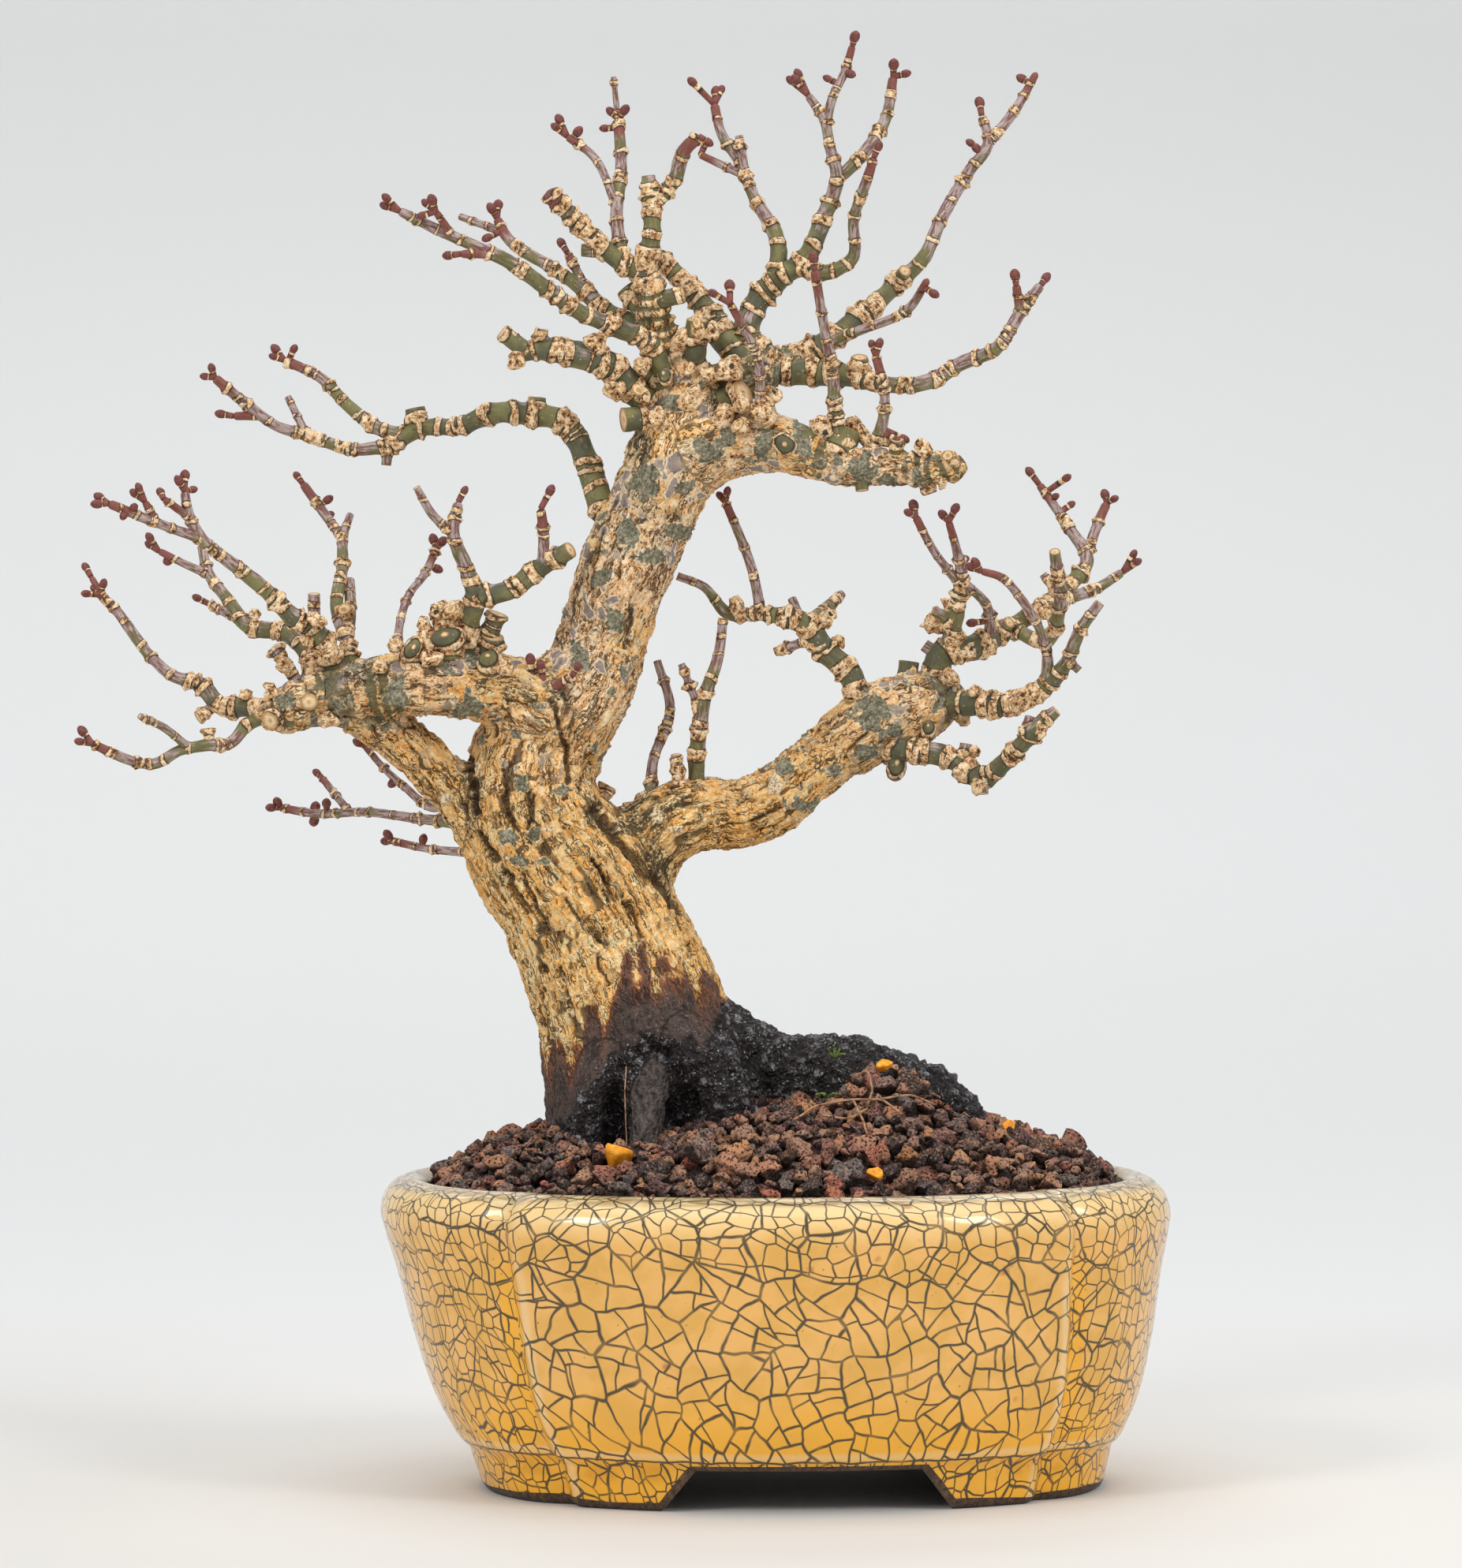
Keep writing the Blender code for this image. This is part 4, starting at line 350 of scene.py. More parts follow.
# Bark that has stayed smooth and grey-green: across, up, half-width and half-height
SMOOTH_PATCHES = (
    (-18, 210, 4.6, 3.2), (14.2, 206.2, 2.8, 3.8), (16.4, 156.8, 4.4, 4.8), (14, 149.4, 3, 2),
    (10.3, 144.4, 3, 2.2), (-30, 203.5, 3.4, 4), (-33.5, 193, 2.4, 3.4), (-22.5, 193.5, 3.4, 1.8),
    (-28.5, 188.6, 2.6, 1.6), (-36.4, 176, 2.4, 3.6), (-23, 174, 1.8, 1.8), (-24.2, 169, 2, 1.6),
    (-19.6, 168.2, 2, 2), (-17, 163.5, 2.2, 2.6), (-47, 140.8, 2, 1.3), (-57.4, 132, 2.2, 1.8),
    (-52.6, 132.2, 2, 1.8), (-56, 126.8, 2.6, 1.3), (-50.6, 126.6, 1.8, 1.2), (2, 138, 5, 1.8),
    (-2, 146, 2.4, 2.4), (-7, 147, 3, 1.6), (1.8, 212.8, 2.9, 4), (-2, 224.3, 4, 4.4),
    (-6.3, 211.5, 2.2, 3.2), (-13, 212.8, 1.8, 2.6), (-24.5, 219.4, 4, 2), (-66, 158.4, 4, 2.4),
    (-80, 160.6, 3, 3.6), (-55, 143, 1.6, 2.4), (9, 208.4, 1.4, 2), (25, 205, 1.6, 1.8),
    (-95, 155, 4.6, 1.8), (-43, 168, 2, 3.4), (-64, 168.6, 2.6, 2))

# Where the pale bark ends and turns brown on the trunk, and where the brown turns black: across and up
STAIN_LINE = (
    (-60, 84), (-50.4, 87), (-47.3, 90), (-43.7, 92), (-41.6, 95), (-38, 97), (-36, 104), (-34, 107),
    (-31, 107.5), (-27.6, 104.7), (-25, 107), (-21, 103.6), (-16, 104), (-8, 103))
SOAK_LINE = (
    (-60, 70), (-47.8, 74.5), (-43.7, 78.6), (-41, 83), (-38.5, 87), (-33.8, 89.6), (-28.6, 91),
    (-22.4, 91), (-17.7, 90), (-15.5, 95), (-13.5, 100), (-10, 104), (0, 112))

# Deep furrows in the bark: depth, half-width, then points across and up
FURROWS = (
    (2.2, 0.9, (-66.5, 150), (-65.7, 145), (-64.8, 139.6), (-64.4, 134), (-62.3, 129.4),
     (-57.8, 123.2)),
    (2, 1.1, (-40.3, 137.3), (-35.8, 131.1), (-31.3, 126.6), (-26.3, 121), (-22.9, 117)),
    (1.3, 0.6, (-46.5, 119.3), (-43.7, 114.8), (-39.2, 110.2)),
    (1.4, 0.6, (-40.3, 127.2), (-35.8, 121), (-31.9, 115.9), (-30.2, 111.4)),
    (1.2, 0.55, (-31.3, 127.2), (-26.8, 121.5), (-22.9, 114.2), (-20, 108)),
    (1.2, 0.6, (-52.2, 141.3), (-53.3, 135.7), (-53.9, 130.6)),
    (1.3, 0.6, (-60.6, 154.3), (-59.5, 146.4), (-58.6, 138.5), (-56.1, 132.8)),
    (1.3, 0.6, (-47.3, 105.2), (-45.2, 98.4), (-43.1, 90.5)),
    (1.2, 0.5, (-40, 107), (-37.6, 101.6)),
    (1.1, 0.5, (-52.5, 104.2), (-50.4, 96.4), (-49.6, 89.6)),
    (1.5, 0.8, (-48.2, 157.7), (-46, 149.8), (-45.4, 141.9)),
    (1.2, 0.5, (-55.5, 124), (-51.8, 116.5), (-49.6, 109)))

# Large single grains: across, up, width, height and tint
MARKED_GRAINS = (
    (-19, 66, 9, 5, 0.02), (23, 65, 5, 5, 0.9), (-11, 66, 5, 5, 0.86), (-5, 63, 4.6, 4, 0.7),
    (40, 63, 4.6, 4, 0.7), (57, 71, 5, 7, 0.45), (-58, 71, 5, 5, 0.4), (-61, 69.5, 4.6, 4, 0.9),
    (-71, 66, 5, 4, 0.55))

# Fine roots lying on the gravel, across and up; the thread beside the front root, with depths
ROOTLETS = (
    ((0, 72), (5, 75), (12, 76), (18, 76), (22, 73)), ((3, 79), (5, 81)), ((12, 85), (15, 82),
    (16, 78), (15, 75)), ((28, 80), (33, 77)), ((38, 75), (42, 77)), ((12, 76), (14, 72), (15, 69)),
    ((6, 73), (11, 72), (15, 74)), ((18, 76), (24, 77), (29, 75)))

THREAD = ((-33.9, 85.0, -20.5), (-34.2, 80.0, -20.8), (-34.0, 73.0, -21.5), (-33.6, 66.0, -22))

# The green sprig beside the big root: its foot, and how far each blade reaches
SPRIG_FOOT = (8.5, 86.4, -5.5)
SPRIG_BLADES = ((-1.6, -0.6, 2.4), (-0.4, -0.9, 3.0), (0.9, -0.4, 2.2), (1.9, -1, 1.2))

CORKY, CUT, HEALED = range(3)

# Knobs: what they sit on, then across, up, radius, how far in front, and their kind if not corky
KNOBS = (
    ("front_arm", ((-69.9, 171.5, 3.4, 5, HEALED), (-77.5, 169.6, 2.7, 5, HEALED),
     (-61.4, 166.7, 3.4, 6.5, HEALED), (-71.6, 174.4, 2.6, 3), (-68.2, 174.6, 2.3, 3),
     (-74.6, 171.6, 2.2, 4), (-71.8, 177.4, 1.9, 4), (-69, 177.8, 1.7, 5, CUT), (-66.6, 176.8, 2, 3),
     (-74.6, 174.3, 2.1, 4), (-80.6, 170.8, 1.5, 6, CUT), (-58.6, 166.3, 1.5, 9, CUT),
     (-84, 166, 1.9, 5), (-66, 171, 2.3, 4), (-73.5, 168, 2.2, 6))),
    ("left_limb", ((-105.8, 161.2, 1.5, 2), (-103.4, 166.6, 1.9, 0), (-94.6, 155.8, 2, 4),
     (-90.4, 163.6, 2, 5))),
    ("l2", ((-120.7, 163.9, 1.3, 0), (-111, 160.4, 1.2, 1))),
    ("l3", ((-96.4, 175.7, 1.9, 2), (-98.6, 171.6, 1.8, 1))),
    ("l5", ((-91.4, 177.2, 1.7, 1, CUT),)),
    ("l4", ((-109.3, 176.6, 1.3, 0),)),
    ("lb", ((-52.9, 219.6, 1.5, 0),)),
    ("ul1", ((-56.9, 232.4, 1.9, 0), (-56.5, 228.2, 1.6, 1), (-51.4, 233.4, 1.4, 1, CUT),
     (-40, 231.8, 2, 2), (-36.4, 222.4, 1.8, 2))),
    ("trunk", ((-30.6, 221.3, 1.9, 8, CUT), (-21.1, 226.3, 1.6, 6, CUT), (-30.6, 227.4, 1.7, 7, CUT),
     (-25.9, 224.6, 2.2, 7, HEALED), (-22.6, 232.4, 2.7, 3), (-19.4, 235.6, 2, 4, CUT),
     (-16.6, 234.4, 1.7, 3), (-13, 226.3, 2.4, 4), (-16.8, 225.2, 1.7, 5), (-20.4, 220.6, 2.6, 8),
     (-27.4, 216.4, 2.2, 8))),
    ("upper_limb", ((-10.4, 218.9, 2.5, 5), (-10.7, 214.9, 1.6, 7.5, CUT), (-6.3, 217.6, 2.5, 5),
     (-2, 211.4, 2.6, 5, HEALED), (-4.3, 221, 2, 3), (-14.4, 217, 2.2, 6), (10.5, 212.2, 1.9, 2, CUT),
     (14.6, 212.6, 1.9, 1), (18.1, 212.2, 1.4, 1, CUT), (11.9, 215.2, 1.7, 1), (5.4, 213.6, 2.6, 2),
     (26.6, 210.2, 1.6, 1), (31.8, 208.4, 2.1, 2, CUT), (30.4, 203.4, 1.3, 2))),
    ("right_limb", ((20.9, 146, 2.9, 2, HEALED), (27.4, 153.2, 2.3, 6, HEALED), (24, 165, 1.9, 1, CUT),
     (31.4, 164, 2.3, 2), (34.2, 155.6, 1.5, 1), (17.6, 162.8, 1.6, 2))),
    ("rc", ((32.9, 172.4, 1.7, 3, CUT), (35.2, 169.6, 2.4, 1), (38.6, 170.8, 2.2, 1),
     (40.9, 174.8, 1.8, 1), (29.8, 176.2, 2.6, 1), (27.4, 174.6, 1.4, 1), (31.4, 178.6, 1.9, 0))),
    ("rf", ((36.9, 149, 1.7, 1), (37.6, 142.6, 2.2, 1), (50.4, 153.4, 1.8, 1))),
    ("re", ((36.9, 161.2, 1.6, 2), (44.9, 159.4, 1.7, 2))),
    ("ra", ((9.2, 171.5, 1.2, 1), (-11.4, 178.4, 1.7, 1), (5.4, 170, 2, 1), (7, 176.2, 1.9, 1),
     (1.6, 173.8, 1.6, 1))))


class Settings(bpy.types.PropertyGroup):
    """Sizes and colours that a user would change."""

    wood_voxel: FloatProperty(
        name="Wood fineness", description="Grid on which the heavy wood is joined",
        default=0.00053, min=0.0003, max=0.002, unit="LENGTH")
    crack_depth: FloatProperty(
        name="Crack depth", description="Depth of the cracks in the old bark",
        default=0.00075, min=0.0, max=0.003, unit="LENGTH")
    cork_rise: FloatProperty(
        name="Cork rise", description="Height of the cork rings on the twigs, as a share",
        default=1.0, min=0.0, max=2.0, subtype="FACTOR")
    bud_length: FloatProperty(
        name="Bud length", description="Length of a winter bud",
        default=0.0024, min=0.001, max=0.006, unit="LENGTH")
    grain_size: FloatProperty(
        name="Grain size", description="Width of a middling lava grain",
        default=0.0046, min=0.002, max=0.008, unit="LENGTH")
    gravel_seed: IntProperty(
        name="Gravel seed", description="Start of the random draw for the grains", default=5)
    crackle_size: FloatProperty(
        name="Crackle size", description="Width of a plate between cracks in the glaze",
        default=0.0066, min=0.003, max=0.03, unit="LENGTH")
    bark_tan: FloatVectorProperty(
        name="Bark tan", description="Colour of the ridges of the old bark",
        default=(0.92, 0.42, 0.10), subtype="COLOR", min=0.0, max=1.0)
    bark_cream: FloatVectorProperty(
        name="Bark cream", description="Colour of the weathered tops of the bark",
        default=(1.0, 0.565, 0.18), subtype="COLOR", min=0.0, max=1.0)
    bark_crack: FloatVectorProperty(
        name="Bark crack", description="Colour inside the cracks",
        default=(0.042, 0.021, 0.009), subtype="COLOR", min=0.0, max=1.0)
    twig_green: FloatVectorProperty(
        name="Twig green", description="Colour of the smooth skin of younger wood",
        default=(0.14, 0.118, 0.046), subtype="COLOR", min=0.0, max=1.0)
    twig_grey: FloatVectorProperty(
        name="Twig grey", description="Colour of the bloom on the outer twigs",
        default=(0.49, 0.39, 0.36), subtype="COLOR", min=0.0, max=1.0)
    bud_red: FloatVectorProperty(
        name="Bud red", description="Colour of the buds and the twig tips",
        default=(0.13, 0.03, 0.028), subtype="COLOR", min=0.0, max=1.0)
    glaze_yellow: FloatVectorProperty(
        name="Glaze yellow", description="Colour of the glaze on the walls",
        default=(0.80, 0.435, 0.09), subtype="COLOR", min=0.0, max=1.0)
    glaze_amber: FloatVectorProperty(
        name="Glaze amber", description="Colour where the glaze has run thick",
        default=(0.97, 0.48, 0.03), subtype="COLOR", min=0.0, max=1.0)
    floor_white: FloatVectorProperty(
        name="Floor white", description="Colour of the studio floor",
        default=(0.80, 0.765, 0.71), subtype="COLOR", min=0.0, max=1.0)


def settings():
    """Return the values that a user may change."""
    return bpy.context.scene.maple_bonsai


def scatter(cells, seed):
    """Return a repeatable number from 0 to 1 for each whole-number place."""
    x, y, z = cells.astype(np.uint32).T
    mixed = x * np.uint32(374761393) + y * np.uint32(668265263) + z * np.uint32(2246822519)
    mixed += np.uint32(seed * 2654435761 % 2 ** 32)
    mixed = (mixed ^ mixed >> np.uint32(13)) * np.uint32(1274126177)
    return (mixed ^ mixed >> np.uint32(16)) / 2 ** 32


# Turns the grid that noise is drawn on, so that it doesn't run along a limb
NOISE_TURN = np.array(((0.36, 0.48, -0.80), (-0.80, 0.60, 0.0), (0.48, 0.64, 0.60)))


def noise(spots, seed):
    """Return smooth noise from 0 to 1 at an array of places."""
    spots = spots @ NOISE_TURN
    base = np.floor(spots)
    part = spots - base
    part = part * part * (3 - 2 * part)
    total = 0
    for corner in itertools.product((0, 1), repeat=3):
        share = np.prod(np.where(corner, part, 1 - part), axis=1)
        total = total + share * scatter(base.astype(np.int64) + corner, seed)
    return total


def cells(spots, seed):
    """Return the nearest and second distances, and the number, of the cell round each place."""
    base = np.floor(spots).astype(np.int64)
    first = np.full(len(spots), 9.0)
    second = first.copy()
    number = np.zeros(len(spots))
    for shift in itertools.product((-1, 0, 1), repeat=3):
        cell = base + shift
        middle = cell + np.stack([scatter(cell, seed + axis) for axis in range(3)], axis=1)
        away = np.linalg.norm(middle - spots, axis=1)
        closer = away < first
        second = np.where(closer, first, np.minimum(second, away))
        number = np.where(closer, scatter(cell, seed + 7), number)
        first = np.where(closer, away, first)
    return first, second, number


def ramp(value, low, high):
    """Rise smoothly from 0 to 1 between two values."""
    share = np.clip((value - low) / (high - low), 0, 1)
    return share * share * (3 - 2 * share)


def place(spots):
    """Carry (across, up, depth) in the front view to the pot's axes, in millimetres."""
    across, up, depth = np.asarray(spots, float).T
    depth = depth + SWAY * np.sin(across / 4.6 + up / 5.9)
    nearer = 1 + depth / VIEW_DISTANCE
    x = VIEW_X + (across - VIEW_X) * nearer
    z = VIEW_Z + (up - VIEW_Z) * nearer
    turned_x = x * math.cos(VIEW_TURN) + depth * math.sin(VIEW_TURN)
    turned_y = depth * math.cos(VIEW_TURN) - x * math.sin(VIEW_TURN)
    return np.stack([POT_X + turned_x, turned_y, z], axis=1)


def front_view(spots):
    """Return across, up and depth in the front view of places in the pot's axes."""
    x, y = spots[:, 0] - POT_X, spots[:, 1]
    depth = y * math.cos(VIEW_TURN) + x * math.sin(VIEW_TURN)
    across = x * math.cos(VIEW_TURN) - y * math.sin(VIEW_TURN)
    nearer = 1 + depth / VIEW_DISTANCE
    return VIEW_X + (across - VIEW_X) / nearer, VIEW_Z + (spots[:, 2] - VIEW_Z) / nearer, depth


def nearest_on(route, across, up):
    """Return the spot of a route that lies nearest in the front view, and how far off it is."""
    best = None
    for start, end in zip(route, route[1:]):
        run = Vector((end[0] - start[0], end[1] - start[1]))
        reach = Vector((across - start[0], up - start[1]))
        share = min(max(reach.dot(run) / max(run.length_squared, 1e-9), 0.0), 1.0)
        spot = [a + (b - a) * share for a, b in zip(start, end)]
        distance = math.hypot(across - spot[0], up - spot[1])
        if best is None or distance < best[0]:
            best = (distance, spot)
    return best[1], best[0]


def with_depths(points, start, end):
    """Add a depth to each point, in step with the distance along the route."""
    lengths = [0.0]
    for a, b in zip(points, points[1:]):
        lengths.append(lengths[-1] + math.hypot(b[0] - a[0], b[1] - a[1]))
    return [(x, z, r, start + (end - start) * at / lengths[-1])
            for (x, z, r), at in zip(points, lengths)]


def all_routes():
    """Work out every branch as (across, up, radius, depth), children starting inside parents."""
    routes = {"trunk": with_depths(TRUNK, 0.0, 0.0)}
    for name, depths, points in LIMBS:
        routes[name] = with_depths(points, *depths)
    for twig in TWIGS:
        x, z, radius = twig.points[0]
        root, away = nearest_on(routes[twig.parent], x, z)
        route = with_depths(twig.points, root[3], twig.depth)
        if away > 0.4 * root[2]:
            route.insert(0, (root[0], root[1], radius, root[3]))
        routes[twig.name] = route
    return routes


def smooth_through(knots, spans, step):
    """Places about a step apart on a smooth curve through the knots."""
    slopes = np.diff(knots, axis=0) / spans[:, None]
    tangents = np.vstack([slopes[:1], slopes[1:], slopes[-1:]])
    if len(knots) > 2:
        before, after = spans[:-1, None], spans[1:, None]
        tangents[1:-1] = (slopes[1:] * before + slopes[:-1] * after) / (before + after)
    found = []
    for index, span in enumerate(spans):
        count = max(int(math.ceil(span / step)), 1)
        t = (np.arange(count) / count)[:, None]
        found.append((2 * t ** 3 - 3 * t ** 2 + 1) * knots[index]
                     + (t ** 3 - 2 * t ** 2 + t) * span * tangents[index]
                     + (3 * t ** 2 - 2 * t ** 3) * knots[index + 1]
                     + (t ** 3 - t ** 2) * span * tangents[index + 1])
    return np.vstack(found + [knots[-1:]])


def rounded(route, step):
    """Carry a route to the pot's axes and round its corners: points, radii and lengths along."""
    knots = np.array([(x, z, depth, radius) for x, z, radius, depth in route], float)
    spans = np.maximum(np.linalg.norm(np.diff(knots[:, :3], axis=0), axis=1), 1e-6)
    found = smooth_through(knots, spans, step)
    points = place(found[:, :3])
    steps = np.linalg.norm(np.diff(points, axis=0), axis=1)
    return points, np.maximum(found[:, 3], 0.3), np.concatenate([[0], np.cumsum(steps)])


def frames(points):
    """Return two directions square to the run at each point, turned as little as possible."""
    ahead = np.vstack([points[1:], points[-1:]]) - np.vstack([points[:1], points[:-1]])
    ahead /= np.linalg.norm(ahead, axis=1)[:, None]
    side = np.cross(ahead[0], (0.13, 1.0, 0.21))
    sides = []
    for run in ahead:
        side = side - run * side.dot(run)
        side = side / np.linalg.norm(side)
        sides.append(side)
    sides = np.array(sides)
    return sides, np.cross(ahead, sides), ahead


class Gather:
    """Closed shapes, with values at their vertices, gathered into one mesh."""

    def __init__(self):
        self.spots, self.faces, self.values, self.count = [], [], {}, 0

    def add(self, spots, faces, **values):
        """Add a shape in millimetres, with one value or vector for each vertex."""
        self.spots.append(spots)
        self.faces += [tuple(corner + self.count for corner in face) for face in faces]
        for name, value in values.items():
            self.values.setdefault(name, []).append(value)
        self.count += len(spots)

    def piece(self, name):
        """Make the object."""
        mesh = bpy.data.meshes.new(name)
        mesh.from_pydata((np.vstack(self.spots) * MM).tolist(), [], self.faces)
        for key, values in self.values.items():
            keep_values(mesh, key, np.concatenate(values))
        return add_object(name, mesh)


def keep_values(mesh, name, values):
    """Keep a number or a vector at each vertex, for the materials."""
    kind, slot = ("FLOAT", "value") if values.ndim == 1 else ("FLOAT_VECTOR", "vector")
    mesh.attributes.new(name, kind, "POINT").data.foreach_set(slot, values.astype(np.float32).ravel())


def add_object(name, mesh):
    """Link a mesh to the scene as an object."""
    item = bpy.data.objects.new(name, mesh)
    bpy.context.scene.collection.objects.link(item)
    return item


def spots_of(mesh):
    """Return the vertices of a mesh in millimetres."""
    spots = np.empty(len(mesh.vertices) * 3, np.float32)
    mesh.vertices.foreach_get("co", spots)
    return spots.reshape(-1, 3).astype(float) / MM


def normals_of(mesh):
    """Return the outward direction at each vertex of a mesh."""
    normals = np.empty(len(mesh.vertices) * 3, np.float32)
    mesh.vertex_normals.foreach_get("vector", normals)
    return normals.reshape(-1, 3)


def move_to(mesh, spots):
    """Put the vertices of a mesh at places in millimetres."""
    mesh.vertices.foreach_set("co", (spots * MM).astype(np.float32).ravel())
    mesh.update()


def plain_mesh(item):
    """Turn an object with modifiers into one with a plain mesh."""
    graph = bpy.context.evaluated_depsgraph_get()
    mesh = bpy.data.meshes.new_from_object(item.evaluated_get(graph))
    item.modifiers.clear()
    item.data = mesh
    return item


def finish_piece(item, material, slot, *nodes):
    """Smooth a piece, give it its material, and tie it to the frame."""
    item.data.materials.clear()
    item.data.materials.append(material)
    item.data.polygons.foreach_set("material_index", [0] * len(item.data.polygons))
    item.data.shade_smooth()
    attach(item, BODY)
    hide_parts(*nodes)
    return item


def ring_round(turn, side, other):
    """Directions square to a run, all the way round each of its points."""
    return np.cos(turn)[None, :, None] * side[:, None] + np.sin(turn)[None, :, None] * other[:, None]


def tube_faces(rings, sides):
    """Faces of a closed tube whose two end vertices come last."""
    faces = []
    for ring in range(rings - 1):
        low = ring * sides
        for side in range(sides):
            after = (side + 1) % sides
            faces.append((low + side, low + after, low + sides + after, low + sides + side))
    start, end, last = rings * sides, rings * sides + 1, (rings - 1) * sides
    for side in range(sides):
        after = (side + 1) % sides
        faces.append((after, side, start))
        faces.append((last + side, last + after, end))
    return faces


class Value:
    """A socket of a material, with arithmetic that adds Math nodes."""

    def __init__(self, finish, socket):
        self.finish, self.socket = finish, socket

    def maths(self, operation, *others):
        """Add a Math node that starts from this value."""
        inputs = dict(enumerate((self,) + others))
        return self.finish.node("ShaderNodeMath", {"operation": operation}, inputs)

    def __add__(self, other):
        return self.maths("ADD", other)

    def __mul__(self, other):
        return self.maths("MULTIPLY", other)

    def __sub__(self, other):
        return self.maths("SUBTRACT", other)

    def __rsub__(self, other):
        return self.finish.node("ShaderNodeMath", {"operation": "SUBTRACT"}, {0: other, 1: self})

    def __gt__(self, other):
        return self.maths("GREATER_THAN", other)

    def __lt__(self, other):
        return self.maths("LESS_THAN", other)

    def __abs__(self):
        return self.maths("ABSOLUTE")

    __radd__ = __add__
    __rmul__ = __mul__

    def most(self, other):
        """The larger of two values."""
        return self.maths("MAXIMUM", other)


def add_node(tree, kind, choices=None, inputs=None):
    """Add a node: its choices first, then values or links for its sockets."""
    node = tree.nodes.new(kind)
    for key, value in (choices or {}).items():
        if key == "stops":
            ramp_stops(node.color_ramp, value)
        else:
            setattr(node, key, value)
    for key, value in (inputs or {}).items():
        value = getattr(value, "socket", value)
        if isinstance(value, bpy.types.NodeSocket):
            tree.links.new(value, node.inputs[key])
        else:
            node.inputs[key].default_value = value
    return node


# Cells that give the distance to their edge, and cells in a plane
EDGES = {"feature": "DISTANCE_TO_EDGE"}
FLAT = {"voronoi_dimensions": "2D"}


class Finish:
    """A material made of nodes."""

    def __init__(self, name, **constants):
        self.material = bpy.data.materials.new(name)
        self.material.use_nodes = True
        self.tree = self.material.node_tree
        self.shader = self.tree.nodes["Principled BSDF"]
        for key, value in constants.items():
            self.shader.inputs[key.replace("_", " ")].default_value = value

    def node(self, kind, choices=None, inputs=None, output=0):
        """Add a node and return one of its outputs."""
        return Value(self, add_node(self.tree, kind, choices, inputs).outputs[output])

    def tools(self):
        """The methods that a finish uses most."""
        return self.band, self.blend, self.clouds, self.colours, self.attribute

    def object_place(self):
        """The place on the object, in millimetres."""
        return self.scaled(self.node("ShaderNodeTexCoord", output=3), (1 / MM,) * 3)

    def attribute(self, name, vector=False):
        """A number or a vector kept at the vertices."""
        return self.node("ShaderNodeAttribute", {"attribute_name": name}, output=1 if vector else 2)

    def scaled(self, vector, by):
        """A vector times three numbers."""
        return self.node("ShaderNodeVectorMath", {"operation": "MULTIPLY"}, {0: vector, 1: by})

    def moved(self, vector, by):
        """A vector plus another."""
        return self.node("ShaderNodeVectorMath", {"operation": "ADD"}, {0: vector, 1: by})

    def parts(self, vector):
        """The three numbers of a vector."""
        first = self.node("ShaderNodeSeparateXYZ", inputs={0: vector})
        node = first.socket.node
        return tuple(Value(self, node.outputs[index]) for index in range(3))

    def joined(self, x, y, z=0.0):
        """A vector from three numbers."""
        return self.node("ShaderNodeCombineXYZ", inputs={0: x, 1: y, 2: z})

    def clouds(self, vector, size, detail=2.0, rough=0.5, output=0):
        """Noise whose blobs are about the given size across, in the units of the vector."""
        return self.node("ShaderNodeTexNoise", inputs={
            "Vector": vector, "Scale": 1 / size, "Detail": detail, "Roughness": rough}, output=output)

    def cells(self, vector, size, loose=1.0, choices=None, output=0):
        """A pattern of cells about the given size across, in the units of the vector."""
        return self.node("ShaderNodeTexVoronoi", choices, {
            "Vector": vector, "Scale": 1 / size, "Randomness": loose}, output)

    def band(self, value, low, high, bottom=0.0, top=1.0):
        """Pass smoothly from one number to another as a value rises."""
        return self.node("ShaderNodeMapRange", {"interpolation_type": "SMOOTHSTEP"}, {
            "Value": value, "From Min": low, "From Max": high, "To Min": bottom, "To Max": top})

    def blend(self, share, first, second, way="MIX"):
        """Mix two colours, each a colour or a link."""
        first, second = [tuple(c) + (1.0,) if not isinstance(c, Value) and len(c) == 3 else c
                         for c in (first, second)]
        return self.node("ShaderNodeMix", {"data_type": "RGBA", "blend_type": way},
                         {0: share, 6: first, 7: second}, output=2)

    def layers(self, colour, *layers):
        """Lay colours over one another, each given with its share first."""
        for share, over in layers:
            colour = self.blend(share, colour, over)
        return colour

    def colours(self, value, *stops):
        """Run through colours, given as (place, colour), as a value rises."""
        return self.node("ShaderNodeValToRGB", {"stops": stops}, {0: value})

    def bump(self, height, distance, strength=1.0):
        """Low relief, in millimetres, for the Normal socket."""
        return self.node("ShaderNodeBump", inputs={
            "Height": height, "Distance": distance * MM, "Strength": strength})

    def done(self, **links):
        """Link the sockets that vary over the surface."""
        for key, value in links.items():
            self.tree.links.new(value.socket, self.shader.inputs[key.replace("_", " ")])
        return self.material


def ramp_stops(ramp_node, stops):
    """Set the stops of a colour ramp."""
    while len(ramp_node.elements) > 1:
        ramp_node.elements.remove(ramp_node.elements[-1])
    for index, (at, colour) in enumerate(stops):
        element = ramp_node.elements[0] if index == 0 else ramp_node.elements.new(at)
        element.position = at
        element.color = tuple(colour) + (1.0,)



WOOD_STEP = 3.0
WOOD_SIDES = 26
CROTCH_FILL = 1.3
TWIG_STEP = 0.5
SPLIT_Z = 110.0

# Places looked up at a time, and the distance that stands for far away
CHUNK = 20000
FAR = 99.0

# Where the crown's piece of the twigs begins, and the middle of the tree
CROWN_UP, CROWN_UP_LEFT, CROWN_LEFT, TREE_MIDDLE = 203, 208, -60, -30


def solid_routes(routes):
    """Return the rounded routes of the trunk, the heavy limbs and the big roots."""
    return {name: rounded(routes[name], WOOD_STEP) for name in ("trunk", *(row[0] for row in LIMBS))}


